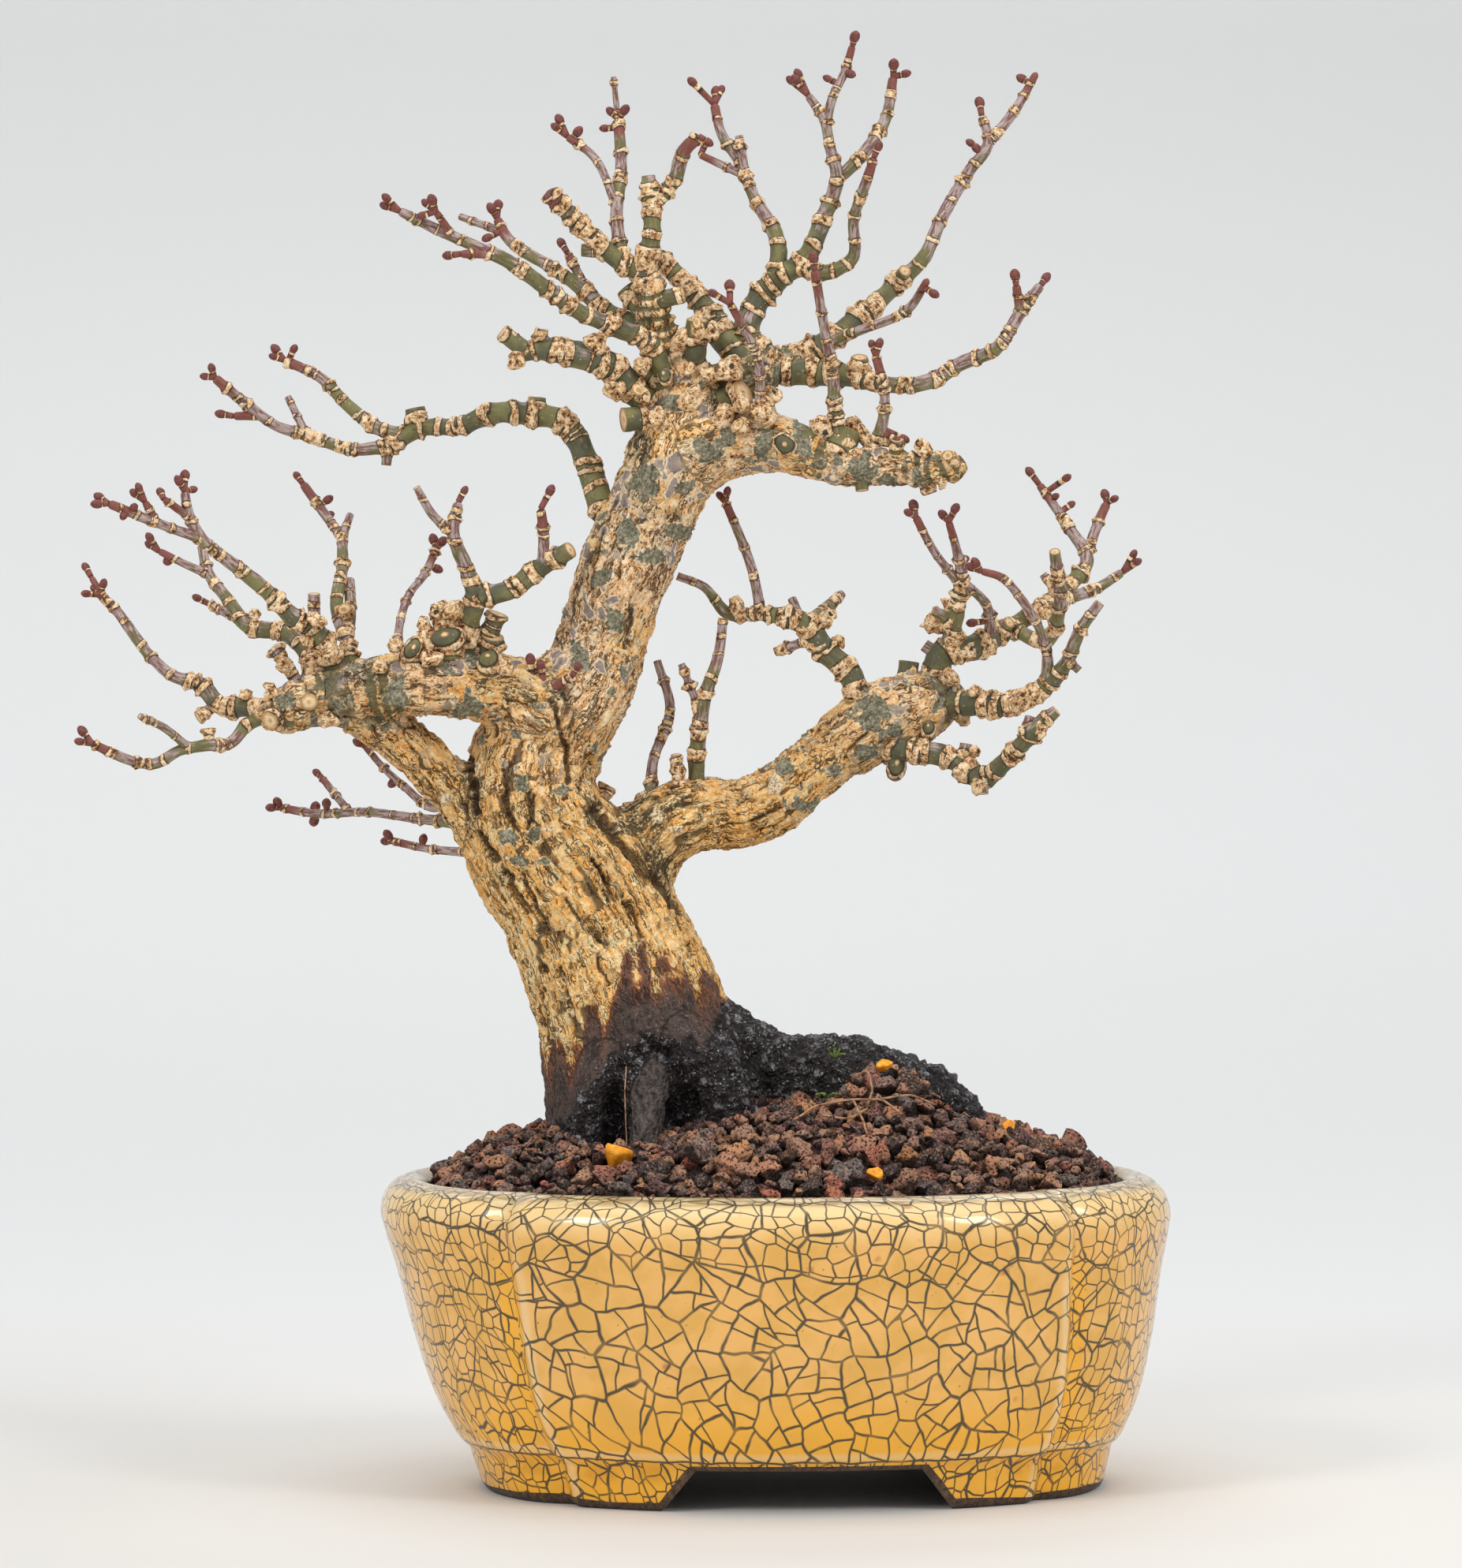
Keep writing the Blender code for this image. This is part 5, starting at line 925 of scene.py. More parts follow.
def near_axis(spots, points, radii, along):
    """For each place: how far outside a route, length along, its radius, and the way around."""
    starts, runs = points[:-1], np.diff(points, axis=0)
    squares = np.maximum((runs ** 2).sum(1), 1e-9)
    sides, others, _ = frames(points)
    result = np.empty((len(spots), 5))
    for low in range(0, len(spots), CHUNK):
        chunk = spots[low:low + CHUNK]
        reach = chunk[:, None] - starts[None]
        share = np.clip((reach * runs).sum(2) / squares, 0, 1)
        off = reach - share[..., None] * runs
        distance = np.sqrt((off ** 2).sum(2))
        radius = radii[:-1] + share * np.diff(radii)
        best = np.argmin(distance - radius, axis=1)
        rows = np.arange(len(chunk))
        t = share[rows, best]
        off = off[rows, best] / np.maximum(distance[rows, best], 1e-6)[:, None]
        side = sides[best] * (1 - t)[:, None] + sides[best + 1] * t[:, None]
        other = others[best] * (1 - t)[:, None] + others[best + 1] * t[:, None]
        result[low:low + CHUNK] = np.stack([
            distance[rows, best] - radius[rows, best], along[best] + t * np.diff(along)[best],
            radius[rows, best], (off * side).sum(1), (off * other).sum(1)], axis=1)
    return result


def wood_fields(spots, solids):
    """Return, for each place, the row of near_axis for every route, far ones left far away."""
    fields = np.full((len(solids), len(spots), 5), FAR)
    for index, (points, radii, along) in enumerate(solids.values()):
        margin = radii.max() + 8
        close = ((spots > points.min(0) - margin) & (spots < points.max(0) + margin)).all(1)
        fields[index, close] = near_axis(spots[close], points, radii, along)
    return fields


def settle(spots, solids, passes=2):
    """Move places on to one smooth skin round all the heavy wood, with filled crotches."""
    for _ in range(passes):
        height = skin_height(spots, solids)
        slope = np.stack([skin_height(spots + shift, solids) - height
                          for shift in 0.2 * np.eye(3)], axis=1) / 0.2
        length = np.maximum(np.linalg.norm(slope, axis=1), 0.3)
        spots = spots - slope / length[:, None] * np.clip(height / length, -1.5, 1.5)[:, None]
    return spots


def skin_height(spots, solids):
    """How far each place is outside the wood, eased where limbs meet."""
    outside = wood_fields(spots, solids)[:, :, 0]
    return -CROTCH_FILL * np.log(np.exp(-np.clip(outside, -30, 30) / CROTCH_FILL).sum(0) + 1e-12)


def stain(spots, line, drip):
    """How far below a marked line each place lies, in millimetres, with drips along it."""
    across, up, _ = front_view(spots)
    edge = np.interp(across, *np.array(line, float).T)
    drips = noise(np.stack([across, up / 9.0, spots[:, 1]], axis=1) / 1.9, 63) - 0.5
    drips = drips + 0.55 * (noise(spots / 5.0, 61) - 0.5)
    return edge - up + drip * drips + 3 * (noise(spots / 1.3, 62) - 0.5)


def marked(spots, ovals, low, high, edge=0.0):
    """Whether each place is in a marked oval of the front view, from 0 to 1 or the oval's depth."""
    across, up, _ = front_view(spots)
    found = np.zeros(len(spots))
    for x, z, half_width, half_height, *depth in ovals:
        away = np.hypot((across - x) / half_width, (up - z) / half_height) + edge
        found = np.maximum(found, (1 - ramp(away, low, high)) * (depth[0] if depth else 1))
    return found


def smooth_patches(spots):
    """Where the bark has stayed smooth: marked places in front, drawn cells elsewhere."""
    _, up, depth = front_view(spots)
    edge = 0.9 * (noise(spots / 1.7, 71) - 0.5) + 0.5 * (noise(spots / 0.8, 73) - 0.5)
    found = marked(spots, SMOOTH_PATCHES, 0.74, 0.96, edge) * (depth < 4)
    first, second, number = cells(spots / (4.2, 4.2, 3.2), 72)
    drawn = (number > 0.80 - 0.2 * (depth > 2)) * ramp(up, 122, 160)
    return np.maximum(found, drawn * ramp(second - first - np.abs(edge) * 0.5, 0.1, 0.26))


def furrows(spots):
    """How deep in a marked furrow each place lies, in millimetres."""
    across, up, depth = front_view(spots)
    across = across + 1.3 * (noise(spots / 2.2, 74) - 0.5)
    found = np.zeros(len(spots))
    for deep, half, *points in FURROWS:
        for (x, z), (x1, z1) in zip(points, points[1:]):
            run, rise = x1 - x, z1 - z
            share = ((across - x) * run + (up - z) * rise) / (run ** 2 + rise ** 2)
            share = np.clip(share, 0, 1)
            away = np.hypot(across - x - share * run, up - z - share * rise) / half
            found = np.maximum(found, deep * (1 - ramp(away, 0.3, 1.25)) * (depth < 3))
    return found * ramp(noise(spots / 2.6, 75), 0.15, 0.45)


def bark_relief(around, radius, along, offset):
    """Swelling of old bark, how deep in a crack each place is, and its place along the grain."""
    ring = np.stack([around[0] * radius, around[1] * radius, along], axis=1) + offset
    bend = 2.2 * (noise(ring / 9.0, 41) - 0.5)
    run = ring + np.stack([bend, -bend, 0 * bend], axis=1)
    shift = 1.5 * (noise(ring / 2.6, 46) - 0.5)
    run = run + np.stack([shift, shift, 2 * shift], axis=1)
    long_crack = 1 - ramp(np.abs(noise(run / (2.4, 2.4, 14.0), 42) - 0.5), 0.01, 0.085)
    short_crack = 1 - ramp(np.abs(noise(run / (1.5, 1.5, 4.4), 43) - 0.5), 0.01, 0.09)
    keep = ramp(noise(run / 6.0, 44), 0.25, 0.6)
    crack = np.maximum(long_crack * (0.3 + 0.7 * keep), 0.55 * short_crack)
    lobes = np.stack([around[0] * 2.1, around[1] * 2.1, along / 30], axis=1)
    return noise(lobes + offset, 45) - 0.5, crack, ring


def joined_wood(solids):
    """The trunk, limbs and big roots as one closed mesh, on a fine grid."""
    raw = Gather()
    turn = np.arange(WOOD_SIDES) / WOOD_SIDES * math.tau
    for points, radii, _ in solids.values():
        sides, others, ahead = frames(points)
        spots = points[:, None] + radii[:, None, None] * ring_round(turn, sides, others)
        ends = np.stack([points[0] - ahead[0] * radii[0] * 0.5,
                         points[-1] + ahead[-1] * radii[-1] * 0.5])
        raw.add(np.vstack([spots.reshape(-1, 3), ends]), tube_faces(len(points), WOOD_SIDES))
    wood = raw.piece("heavy_wood")
    remesh = wood.modifiers.new("join", "REMESH")
    remesh.mode = "VOXEL"
    remesh.voxel_size = settings().wood_voxel
    return plain_mesh(wood)


def build_heavy_wood(routes):
    """Trunk, limbs and big roots as one skin with cracked bark, in two pieces."""
    solids = solid_routes(routes)
    wood = joined_wood(solids)
    spots = settle(spots_of(wood.data), solids)
    fields = wood_fields(spots, solids)
    weight = np.exp(-np.clip(fields[:, :, 0], 0, 30) / 0.8)
    weight /= weight.sum(0)
    swell, crack, grain = np.zeros(len(spots)), np.zeros(len(spots)), np.zeros((len(spots), 3))
    radius = (weight * fields[:, :, 2]).sum(0)
    for index, share in enumerate(weight):
        close = share > 0.01
        row, part = fields[index, close], share[close]
        one_swell, one_crack, ring = bark_relief(row[:, 3:].T, row[:, 2], row[:, 1], 31.7 * index)
        swell[close] += part * one_swell
        crack[close] += part * one_crack
        grain[close & (share > 0.5)] = ring[part > 0.5]
    dark = ramp(stain(spots, STAIN_LINE, 9), -1.0, 13.0)
    wet = ramp(stain(spots, SOAK_LINE, 5), -1.5, 2.5)
    smooth_root = weight[list(solids).index("front_root")]
    patch = smooth_patches(spots) * (1 - dark)
    rugged = 1 - patch
    knobs = cells(spots / 2.6, 51)[0]
    lumps = noise(spots / 3.2, 52) - 0.5
    fine = noise(spots / 0.9, 53) - 0.5
    collar = ramp(patch, 0.02, 0.4) * (1 - ramp(patch, 0.5, 0.95))
    bark = (2.2 * swell * np.clip(radius / 18, 0.25, 1) - settings().crack_depth / MM * crack * rugged
            + 0.4 * fine * rugged + 0.45 * collar + 0.7 * lumps
            + 0.6 * (noise(spots / 1.8, 58) - 0.5) * rugged)
    pebbly = 0.5 - cells(spots / 1.25, 55)[0]
    rooty = 1.8 * lumps + 1.2 * (0.55 - knobs) + 1.0 * pebbly + 0.5 * fine + 1.8 * swell
    hollow = marked(spots, ROOT_HOLLOWS, 0.45, 1.0) * (front_view(spots)[2] < -6)
    rooty = rooty * (0.4 + 0.6 * wet) - hollow * (1 - smooth_root)
    furrow = furrows(spots)
    crack = np.maximum(crack, np.minimum(furrow, 1)) * rugged
    hoops = marked(spots, RINGED_WOOD, 0.7, 1.0) * rugged
    hoop = (grain[:, 2] + 1.6 * (noise(spots / 3, 57) - 0.5)) / 2.6
    hoop = 1 - ramp(np.abs(hoop % 1 - 0.5), 0.1, 0.34)
    bark = bark - furrow + hoops * (0.75 * hoop - 0.2)
    height = bark * (1 - dark) + rooty * dark * (1 - 0.85 * smooth_root)
    move_to(wood.data, spots)
    spots = spots + normals_of(wood.data) * height[:, None]
    move_to(wood.data, spots)
    # Painted shade: where the bark is blackened in the crotches between limbs
    grime = marked(spots, CROTCH_SHADE_PLACES, 0.4, 1.1, 1.2 * (noise(spots / 2.4, 76) - 0.5))
    for name, value in (("crack", crack), ("stain", dark), ("wet", wet), ("patch", patch),
                        ("collar", collar), ("grain", grain), ("smooth_root", smooth_root),
                        # the tops of the root's lumps, where a painted highlight goes
                        ("raised", 0.5 + 0.9 * (0.45 - knobs) + 0.6 * pebbly),
                        ("hoops", hoops), ("hoop", hoop), ("grime", grime)):
        keep_values(wood.data, name, value)
    wood.data.update()
    material = bark_finish()
    for name, lower in (("trunk_and_roots", True), ("trunk_top_and_limbs", False)):
        finish_piece(half_of(wood, name, lower), material, "bark", "maple_tree")
    bpy.data.objects.remove(wood, do_unlink=True)


# Painted shade that blackens the bark in the crotches: across, up, half-width and half-height
CROTCH_SHADE_PLACES = (
    (-31.5, 135.6, 8, 5.5), (-24, 138, 7, 3), (-48, 161, 3.6, 4.6), (-65, 141, 2.4, 9),
    (-27.5, 126, 2.6, 6), (-40, 137, 2.6, 5), (-86, 165, 6, 2.6), (30, 165, 6, 2.4),
    (-31, 210, 2.4, 4), (-14, 219, 5, 3))

# Heavy wood that still has the rings of young bark: across, up, half-width and half-height
RINGED_WOOD = (
    (-10, 228, 10, 10), (-1, 229, 8, 8), (-28, 237, 12, 12), (-98, 158.5, 11, 11),
    (29, 207, 8, 8), (4, 211, 5, 5), (30, 159, 5, 5), (-84, 160, 7, 7))

# Hollows under the arch of the root flare: across, up, half-width, half-height and depth
ROOT_HOLLOWS = ((-35.2, 70, 4.6, 13, 5.5), (-24.0, 71, 5.5, 12, 6.0), (-17.5, 67, 3.5, 7, 3.0),
                (-28.8, 87.4, 5.0, 2.8, 2.6))


def half_of(wood, name, lower):
    """Return the wood below or above the split as a closed piece of its own."""
    bm = bmesh.new()
    bm.from_mesh(wood.data)
    out = [face for face in bm.faces if (face.calc_center_median().z < SPLIT_Z * MM) != lower]
    bmesh.ops.delete(bm, geom=out, context="FACES")
    rim = [edge for edge in bm.edges if edge.is_boundary]
    for edge in rim:
        edge.smooth = False
    loop = bmesh.ops.edgenet_fill(bm, edges=rim)["faces"]
    bmesh.ops.triangulate(bm, faces=loop)
    mesh = bpy.data.meshes.new(name)
    bm.to_mesh(mesh)
    bm.free()
    return add_object(name, mesh)


def bark_finish():
    """Old bark: tan ridges, dark cracks, grey flakes, smooth patches, stained black roots, painted
    shade in the crotches and painted highlights on the roots.
    """
    values = settings()
    bark = Finish("bark_old", Specular_IOR_Level=0.25)
    band, blend, clouds, colours, kept = bark.tools()
    at = bark.object_place()
    crack, stained, patch, collar = kept("crack"), kept("stain"), kept("patch"), kept("collar")
    bend = bark.scaled(clouds(at, 3.4, output=1), (3.0, 3.0, 3.0))
    grain = bark.moved(kept("grain", vector=True), bend)
    streaks = clouds(bark.scaled(grain, (1, 1, 0.2)), 0.62, 4, 0.6)
    flecks = clouds(bark.scaled(grain, (1, 1, 0.45)), 1.1, 4, 0.65)
    speck = clouds(at, 0.55, 2, 0.6)
    broad = clouds(at, 14)
    up = bark.parts(at)[2]
    height = band(up, 132.0, 172.0)
    tone = streaks * 0.36 + flecks * 0.36 + speck * 0.28 + (broad - 0.5) * 0.18 + 0.06 - height * 0.03
    colour = colours(tone, (0.375, values.bark_crack), (0.425, (0.34, 0.145, 0.032)),
                     (0.47, values.bark_tan), (0.54, values.bark_cream), (0.605, (1.0, 0.80, 0.46)))
    greyed = colours(tone, (0.38, (0.03, 0.02, 0.014)), (0.43, (0.24, 0.14, 0.085)),
                     (0.48, (0.80, 0.51, 0.29)), (0.55, (1.0, 0.87, 0.69)))
    spread = band(clouds(grain, 4.0), 0.34, 0.52)
    hairs = crack * 0
    for size, stretch, width in ((3.1, 0.13, 0.028), (1.7, 0.22, 0.030), (0.9, 0.4, 0.026)):
        vein = clouds(bark.scaled(grain, (1, 1, stretch)), size, 3, 0.55) - 0.5
        hairs = hairs.most(band(abs(vein), width, width * 0.3) * spread)
    pits = bark.cells(bark.scaled(grain, (1, 1, 0.6)), 1.05)
    pits = band(pits, 0.24, 0.13) * band(flecks, 0.58, 0.44)
    net = bark.scaled(bark.moved(at, bend), (1, 1, 0.75))
    rim = bark.cells(net, 2.9, 0.9, EDGES) * 2.9
    pick = bark.parts(bark.cells(net, 2.9, 0.9, output=1))[0]
    islands = band(pick, 0.76, 0.78) * band(clouds(at, 11, 1), 0.42, 0.52) * height
    moss = band(clouds(at, 11), 0.54, 0.70) * band(tone, 0.52, 0.44)
    colour = bark.layers(
        colour, (height * band(broad, 0.62, 0.42, 0.1, 0.6), greyed),
        (hairs * 0.88, values.bark_crack), (pits * 0.78, values.bark_crack),
        (islands * band(rim, 0.06, 0.12) * 0.9, (0.86, 0.70, 0.50)),
        (islands * band(rim + (speck - 0.5) * 0.5, 0.30, 0.42),
         blend(flecks, (0.15, 0.115, 0.105), (0.52, 0.42, 0.38))),
        (moss * 0.3, (0.085, 0.075, 0.02)))
    murk = band(up, 104.0, 126.0) * band(up, 174.0, 152.0) * band(broad, 0.40, 0.56)
    colour = blend(murk * 0.6, colour, (0.78, 0.66, 0.50), "MULTIPLY")
    # Painted shade: near black in the crotches between limbs
    grime = kept("grime") * band(flecks + (speck - 0.5) * 0.6, 0.66, 0.44)
    skin = colours(speck * 0.5 + flecks * 0.5, (0.36, (0.075, 0.070, 0.042)),
                   (0.5, (0.21, 0.190, 0.125)), (0.62, (0.46, 0.42, 0.30)))
    colour = bark.layers(
        colour, (grime * 0.92, (0.034, 0.032, 0.022)),
        (band(crack + (speck - 0.5) * 0.5, 0.45, 0.9) * 0.8, values.bark_crack),
        (band(collar, 0.15, 0.6) * 0.85,
         blend(band(speck, 0.4, 0.55), (0.40, 0.25, 0.12), (0.95, 0.80, 0.56))),
        (band(patch, 0.45, 0.8), skin))
    hoop = band(kept("hoop") + (speck - 0.5) * 0.7, 0.25, 0.6)
    ringed_skin = blend(hoop, blend(flecks, (0.05, 0.055, 0.03), (0.22, 0.20, 0.10)), colour)
    colour = blend(kept("hoops") * 0.85, colour, ringed_skin)
    worn = stained + (streaks - 0.5) * 0.9 * (1 - stained) * band(stained, 0.0, 0.15)
    soaked = colours(worn + (flecks - 0.5) * 0.6, (0.0, (0.50, 0.20, 0.07)),
                     (0.18, (0.26, 0.105, 0.055)), (0.5, (0.155, 0.088, 0.064)),
                     (0.9, (0.095, 0.066, 0.054)))
    wet = band(kept("wet") + (speck - 0.5) * 0.9, 0.35, 0.65)
    # Painted highlight: lighter grey on the tops of the root's raised lumps
    raised = band(kept("raised") * wet + (speck - 0.5) * 1.2, 0.55, 0.95)
    pale = band(clouds(at, 0.9, 3, 0.7), 0.60, 0.70)
    # Painted highlight: small wet glints on the soaked roots
    glint = band(clouds(at, 0.6, 2, 0.6), 0.615, 0.67) * band(clouds(at, 5, 1), 0.38, 0.55)
    root_skin = colours(flecks, (0.36, (0.022, 0.017, 0.015)), (0.46, (0.068, 0.054, 0.049)),
                        (0.62, (0.15, 0.118, 0.105)))
    soaked = bark.layers(
        soaked, (wet, blend(flecks, (0.012, 0.010, 0.010), (0.034, 0.029, 0.028))),
        (band(flecks, 0.47, 0.38) * 0.7, ROOT_BLACK), (hairs * 0.7, ROOT_BLACK),
        (raised * 0.8, (0.33, 0.31, 0.32)), (pale * 0.7, (0.27, 0.175, 0.125)),
        (glint * (wet * 0.5 + 0.25), (0.52, 0.52, 0.55)),
        (band(kept("smooth_root"), 0.35, 0.7), root_skin))
    colour = blend(band(worn, 0.02, 0.14), colour, soaked)
    rough = 0.86 - stained * 0.15 - wet * stained * 0.33 + (speck - 0.5) * 0.3
    relief = (clouds(at, 1.2, 4, 0.7) - bark.cells(at, 0.85)) * stained * (0.25 + wet * 0.5)
    relief = tone * 0.8 + speck * 0.3 - pits * 0.25 + relief
    return bark.done(Base_Color=colour, Roughness=rough, Normal=bark.bump(relief, 0.8, 1.1))


ROOT_BLACK = (0.015, 0.010, 0.009)


def twig_tube(gather, route, seed, cut, cork_share=None):
    """One branch with cork rings, knuckles and either a cut end or a rounded tip."""
    points, radii, along = rounded(route, TWIG_STEP)
    widest = radii.max()
    sides = 18 if widest > 2.4 else 14 if widest > 1.5 else 10
    side, other, ahead = frames(points)
    turn = np.arange(sides) / sides * math.tau
    at, angle = along[:, None], turn[None]
    height = np.zeros((len(points), sides))
    cork = height.copy()
    draw = np.random.default_rng(seed)
    total, spot, flip = along[-1], draw.uniform(0.4, 1.6), draw.uniform(0, math.tau)
    while spot < total:
        radius = np.interp(spot, along, radii)
        corky = np.clip((radius - 0.95) / 1.25, 0, 1) if cork_share is None else cork_share
        half = draw.uniform(0.22, 0.42) + corky * draw.uniform(0.0, 0.55)
        rise = draw.uniform(0.12, 0.3) + corky * draw.uniform(0.1, 0.6)
        tilt = 0.22 * radius * np.sin(angle - draw.uniform(0, math.tau))
        ring = np.exp(-(np.abs(at - spot - tilt) / half) ** 3)
        split = np.exp(-((at - spot - tilt) / 0.2) ** 2) * draw.uniform(0, 0.8)
        wave = np.sin(draw.integers(2, 5) * angle + draw.uniform(0, 6))
        wave = 0.7 + 0.45 * wave * draw.uniform(0.4, 1)
        height = np.maximum(height, rise * ring * wave * (1 - split))
        cork = np.maximum(cork, ring * (1 - 0.6 * split))
        if draw.uniform() < 0.6:
            flip += math.pi / 2
            lumps = np.maximum(np.abs(np.cos(angle - flip)) - 0.55, 0) / 0.45
            bump = lumps * np.exp(-((at - spot) / (0.55 + 0.3 * corky)) ** 2)
            height += draw.uniform(0.25, 0.75) * (0.7 + 0.8 * corky) * bump
            cork = np.maximum(cork, bump * 0.9)
        close = draw.uniform() < 0.36 + 0.24 * corky
        spot += draw.uniform(0.8, 1.6) if close else draw.uniform(2.9, 6.8) - 1.2 * corky
    height *= settings().cork_rise
    base = radii * 0.93
    if not cut:
        base = base * (1 - 0.55 * ramp(along, total - 0.6, total + 0.1))
    ring = ring_round(turn, side, other)
    spots = (points[:, None] + (base[:, None] + height)[:, :, None] * ring).reshape(-1, 3)
    rough = (noise(spots / 0.8, 81) - 0.5) * 0.30 * (0.2 + cork.ravel())
    rough += (noise(spots / 2.1, 82) - 0.5) * 0.5 * np.repeat(np.clip(radii - 1, 0, 1), sides)
    ring = ring.reshape(-1, 3)
    spots = spots + ring * rough[:, None]
    ends = np.stack([points[0], points[-1] + ahead[-1] * (-0.25 if cut else 0.35 * base[-1])])
    vector = np.stack([(np.cos(turn)[None] * radii[:, None]).ravel(),
                       (np.sin(turn)[None] * radii[:, None]).ravel(),
                       np.repeat(along, sides)], axis=1) + seed * 7.3
    young = 1 - np.clip((radii - 0.8) / 1.3, 0, 1)
    tip = ramp(along, total - 9, total - 1) * (widest < 2.4) * (not cut)
    face = np.zeros(len(spots) + 2)
    if cut:
        face[-sides - 2:] = (0.55,) * sides + (0, 1)
    gather.add(np.vstack([spots, ends]), tube_faces(len(points), sides),
               cork=np.append(cork.ravel(), (0, 0)), grain=np.vstack([vector, vector[0], vector[-1]]),
               # how far each place faces up, for the painted highlight on the upper sides
               top=np.append(ring[:, 2], (0, 0)),
               young=np.append(np.repeat(young, sides), (young[0], young[-1])),
               tip=np.append(np.repeat(tip, sides), (tip[0], tip[-1])), face=face)


def cork_lump(gather, middle, radius, seed, kind):
    """A knob on a branch: corky, cut across, or healed over with smooth skin."""
    draw = np.random.default_rng(seed)
    ahead = np.array((draw.uniform(-0.5, 0.5), -1.0, draw.uniform(-0.1, 0.8)))
    ahead /= np.linalg.norm(ahead)
    side, other, _ = frames(np.stack([middle, middle + ahead]))
    rings, sides = 9, 14
    polar = (np.arange(rings) + 0.7) / (rings + 0.4) * math.pi
    turn = np.arange(sides) / sides * math.tau
    ring = (draw.uniform(0.65, 1.2) * np.cos(turn)[:, None] * side[0]
            + draw.uniform(0.65, 1.2) * np.sin(turn)[:, None] * other[0])
    way = (np.sin(polar)[:, None, None] * ring[None]
           - np.cos(polar)[:, None, None] * ahead).reshape(-1, 3)
    way = np.vstack([way, -ahead, ahead])
    front = way @ ahead
    if kind == CUT:
        way -= np.maximum(front - 0.8, 0)[:, None] * ahead
    spots = middle + way * radius
    lumpy = 1 + (1.2 * (noise(spots / (0.7 * radius), 83) - 0.5)
                 + 0.4 * (noise(spots / 0.7, 84) - 0.5)) * (kind != HEALED or 0.3)
    dimple = np.exp(-((1 - front) / 0.1) ** 2) * draw.uniform(0, 0.5) * (kind == CORKY)
    spots = middle + way * radius * (lumpy - dimple)[:, None]
    cork = np.clip(1 - 1.6 * dimple, 0, 1)
    if kind == HEALED:
        cork = ramp(np.abs(front - 0.35), 0.35, 0.15) + ramp(-front, 0.0, 0.3)
    face = np.where(front > 0.8, 0.6 + 0.4 * ramp(front, 0.85, 1.0), 0) * (kind == CUT)
    face = face + (kind == HEALED) * (0.45 * (front > 0.9) + 0.5 * (front > 0.99))
    none = np.zeros(len(spots))
    gather.add(spots, tube_faces(rings, sides), cork=cork, grain=spots, top=none, young=none,
               tip=none, face=face)


def build_twigs(routes):
    """Branches, twigs and cut stubs, with their cork rings, in three pieces."""
    material = twig_finish()
    groups = {"twigs_left": Gather(), "twigs_crown": Gather(), "twigs_right": Gather()}

    def group_of(x, z):
        if z > CROWN_UP and x > CROWN_LEFT or z > CROWN_UP_LEFT:
            return groups["twigs_crown"]
        return groups["twigs_left" if x < TREE_MIDDLE else "twigs_right"]

    for seed, twig in enumerate(TWIGS):
        route = routes[twig.name]
        middle = route[len(route) // 2]
        twig_tube(group_of(*middle[:2]), route, seed, cut=not twig.buds)
    for seed, (parent, x0, z0, x1, z1, radius, step) in enumerate(STUBS, 200):
        root, _ = nearest_on(routes[parent], x0, z0)
        route = [(root[0], root[1], radius * 1.1, root[3]), (x1, z1, radius, root[3] + step)]
        twig_tube(group_of(x1, z1), route, seed, cut=True, cork_share=0.9)
    knobs = [(parent, *row) for parent, rows in KNOBS for row in rows]
    for seed, (parent, x, z, radius, forward, *kind) in enumerate(knobs, 400):
        root, _ = nearest_on(routes[parent], x, z)
        middle = place([(x, z, root[3] - forward)])[0]
        cork_lump(group_of(x, z), middle, radius, seed, kind[0] if kind else CORKY)
    for name, gather in groups.items():
        finish_piece(gather.piece(name), material, "bark", "maple_tree")


